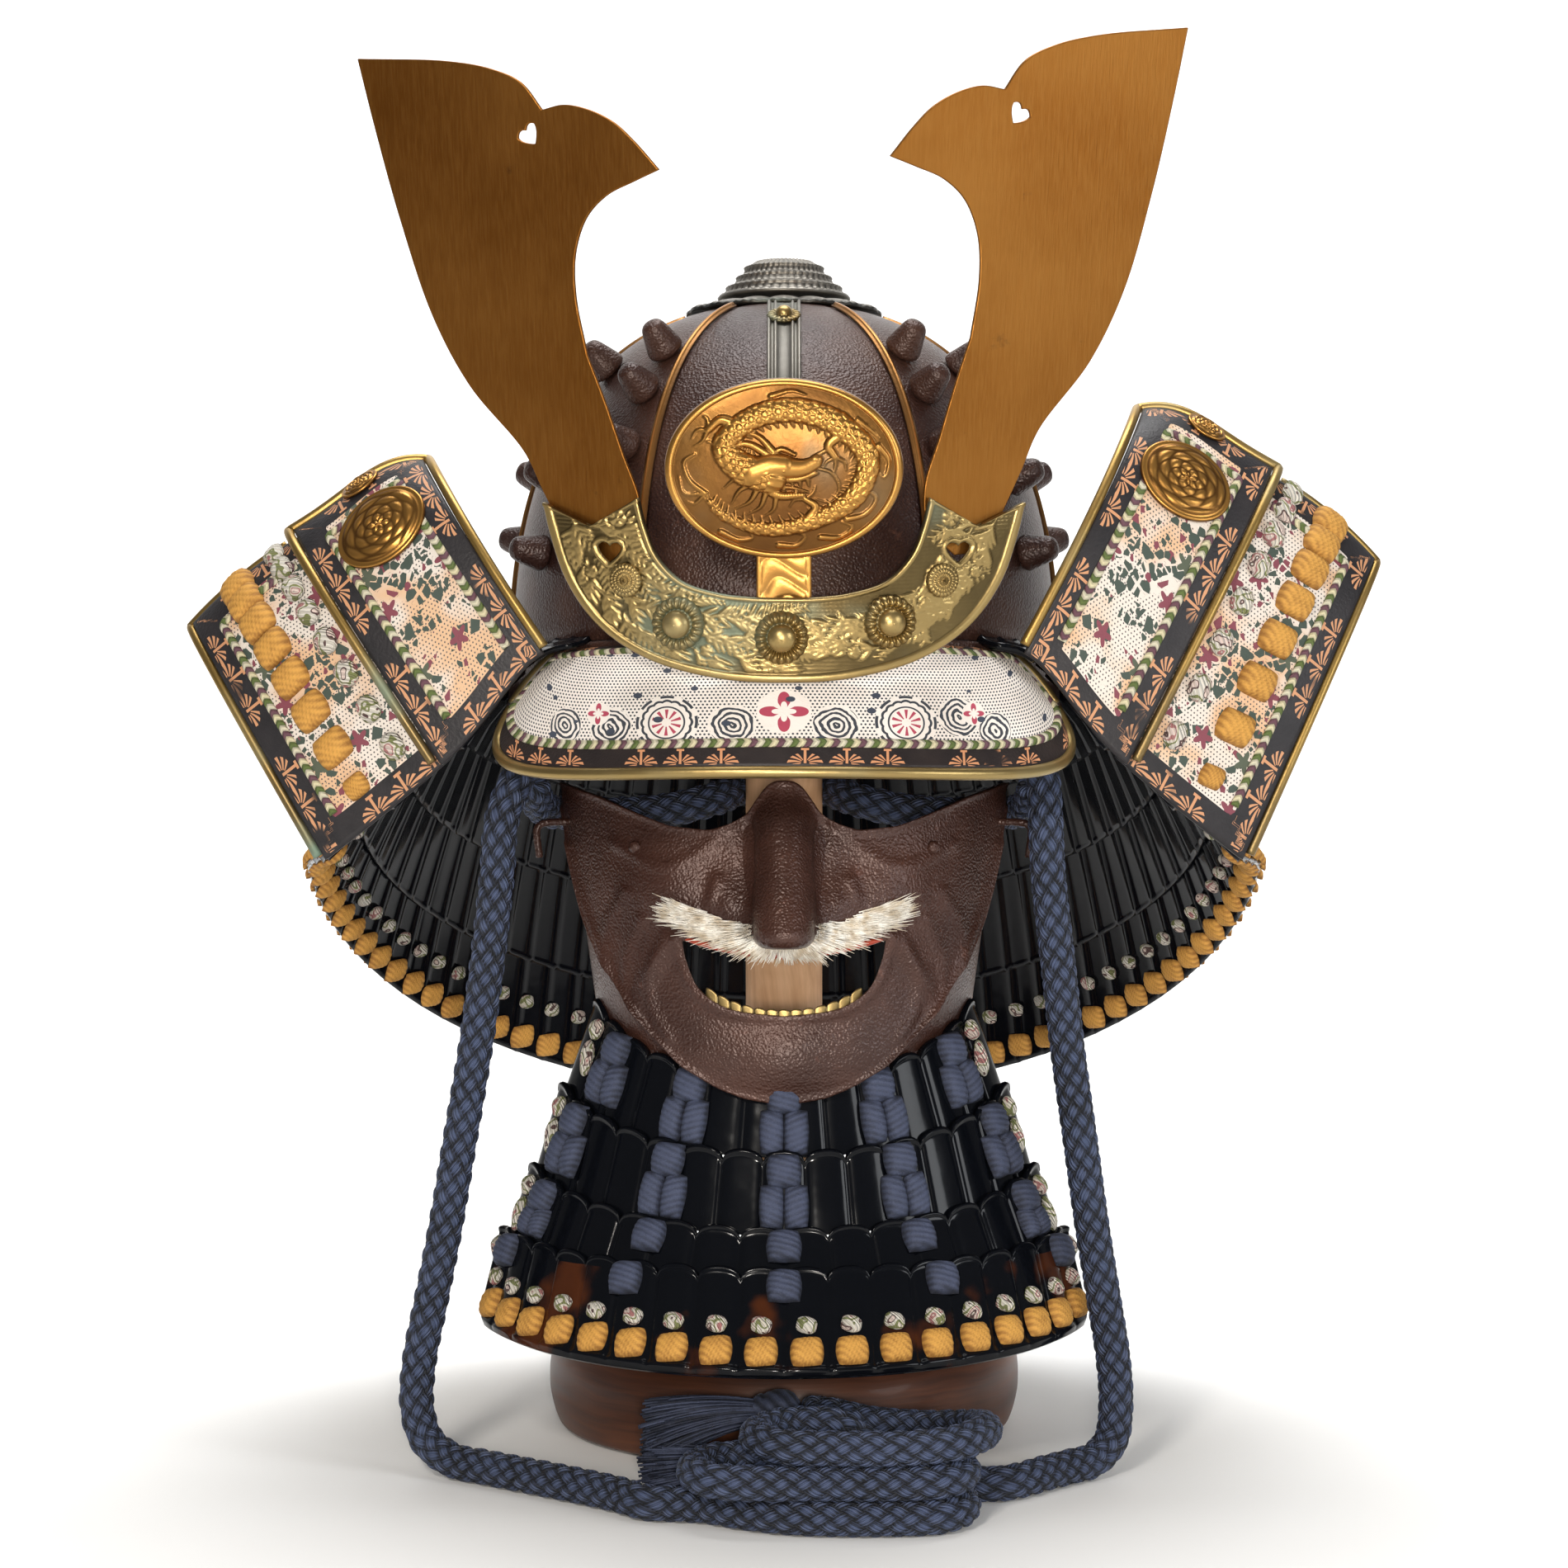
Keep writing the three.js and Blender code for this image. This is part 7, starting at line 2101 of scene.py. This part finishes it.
def addGuardBlocks():
    # The lowest lame of the neck guard carries the same blocks and knots on both faces
    edge = fromHelmet(neckSurface(3, np.linspace(-0.97, 0.97, 400), np.full(400, 1.0))[0])
    run = runOf(edge)
    count = int(run[-1] / guardBlocks["pitch"])
    for turn in np.interp(np.linspace(0, run[-1], count), run, np.linspace(-0.97, 0.97, 400)):
        for key, places, size, proud in (("blockShare", wovenPlaces, (0.92, 0.95, 0.85), 1.7),
                ("knotShare", knotPlaces, (1, 1.1, 0.9), 1.6)):
            point, inward = neckSurface(3, np.array(turn), np.array(guardBlocks[key]))
            above = neckSurface(3, np.array(turn), np.array(guardBlocks[key] - 0.03))[0] - point
            for face in (1, -1):
                turnHere = helmetTurn @ turnTo(inward * face, above)
                places.append((fromHelmet(point + inward * face * proud), turnHere, size))


# Stand

stand = {"baseRadius": 97, "baseHeight": 48, "postRadius": 15.8, "headRadius": 42, "headHeight": 34}
basePoints = [(0, 0), (0.9, 0), (0.955, 0.03), (0.975, 0.1), (1, 0.3), (1.003, 0.42), (1, 0.55),
    (0.985, 0.68), (0.955, 0.8), (0.9, 0.9), (0.82, 0.955), (0.74, 0.98), (0.5, 0.995), (0.1, 1), (0, 1)]


def turnedSolid(name, rows, sides, finish):
    dense = evenly(np.array([(r, 0, z) for r, z in rows], float), 1.1)[:, [0, 2]]
    points, _ = lathe(dense[1:-1], sides)
    form = Form(points.reshape(-1, 3), [gridFaces(len(dense) - 2, sides, 0, False, True)])
    last = (len(dense) - 3) * sides
    return piece(name, closeCentre(form, np.arange(sides), np.arange(last, last + sides)), finish,
        outward=True)


def makeStand():
    rows = [(max(r, 0.02) * stand["baseRadius"], z * stand["baseHeight"]) for r, z in basePoints]
    curve = curveAt([(r, 0, z) for r, z in rows], np.linspace(0, 1, 200))[:, [0, 2]]
    curve[:, 1] = np.clip(curve[:, 1], 0, stand["baseHeight"])
    settle(turnedSolid("standBase", curve, 128, darkWood), "dark_wood", "stand_base")
    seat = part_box("stand_post")[1][2] / mm - stand["headHeight"]
    radius, head = stand["postRadius"], stand["headRadius"]
    dome = [(head * cos(a), seat + stand["headHeight"] * sin(a)) for a in np.linspace(0, pi / 2 - 0.01, 24)]
    post = [(0.3, stand["baseHeight"] - 2), (radius + 2.5, stand["baseHeight"] - 2),
        (radius + 2.5, stand["baseHeight"] + 1.5), (radius, stand["baseHeight"] + 4), (radius, seat - 14),
        (head * 0.78, seat - 5.5), (head * 0.93, seat - 3)] + dome
    settle(turnedSolid("standPost", post, 72, paleWood), "pale_wood", "stand_post")
    print("stand made")


setView()
setLights()
makeBackdrop()
russet = russetFinish("russetIron", (0.03, 0.012, 0.0095), (0.062, 0.028, 0.019), 0.3)
maskIron = russetFinish("maskIron", (0.04, 0.0155, 0.0105), (0.068, 0.028, 0.019), 0.25)
ridgeBrass = brassFinish("ridgeBrass", (0.3, 0.14, 0.04), (0.06, 0.03, 0.015), 0, 0.36)
brass = brassFinish("antiqueBrass", (0.36, 0.255, 0.1), (0.085, 0.06, 0.025), 0.55, 0.32)
crestBrass = brassFinish("crestBrass", (0.46, 0.23, 0.055), (0.11, 0.045, 0.012), 0.25, 0.3)
rimBrass = brassFinish("rimBrass", (0.36, 0.23, 0.07), (0.18, 0.13, 0.06), 1.0, 0.36)
bronze = brassFinish("darkBronze", (0.2, 0.185, 0.16), (0.03, 0.03, 0.028), 0.2, 0.42)
hornBrass = hornFinish()
lacquer = lacquerFinish("blackLacquer")
# navyBraid: the first colour is navy lifted as painted highlight for the strand tops; the second,
# near-black, is painted shade for the valleys.
navyBraid = braidFinish("navyBraid", (0.062, 0.085, 0.165), (0.003, 0.004, 0.008))
# In both thread finishes the second, darker colour is painted shade for the edges and grooves of each lobe,
# block and tassel head.
navyThread = threadFinish("navyThread", (0.048, 0.06, 0.108), (0.009, 0.011, 0.021))
ochreThread = threadFinish("ochreThread", (0.6, 0.31, 0.06), (0.26, 0.11, 0.018))
knotThread = knotFinish()
cream = bristleFinish()
vermilion = Finish("vermilionLacquer", (0.33, 0.036, 0.01), 0.4, coat=0.2).material
darkWood = woodFinish("turnedDarkWood", (0.12, 0.038, 0.014), (0.04, 0.013, 0.006), 0.38, 0.08, True)
paleWood = woodFinish("turnedPaleWood", (0.8, 0.5, 0.29), (0.56, 0.31, 0.16), 0.5, 0.0, False)
visorPrint, wingPrint, piping = visorLeather(), wingLeather(), pipingFinish()
copies = copyTree()

makeCords()
makeBowl()
makeCrown()
makeVisor()
makeNeckGuard()
for side in (-1, 1):
    makeWing(side)
makeHolder()
makeHorn("hornLeft", -1, 0, 0)
makeHorn("hornRight", 1, horn["rightTurn"], horn["rightLift"])
makeCrest()
makeMask()
makeMoustache()
makeThroatGuard()
addGuardBlocks()
finishWeaving()
makeStand()
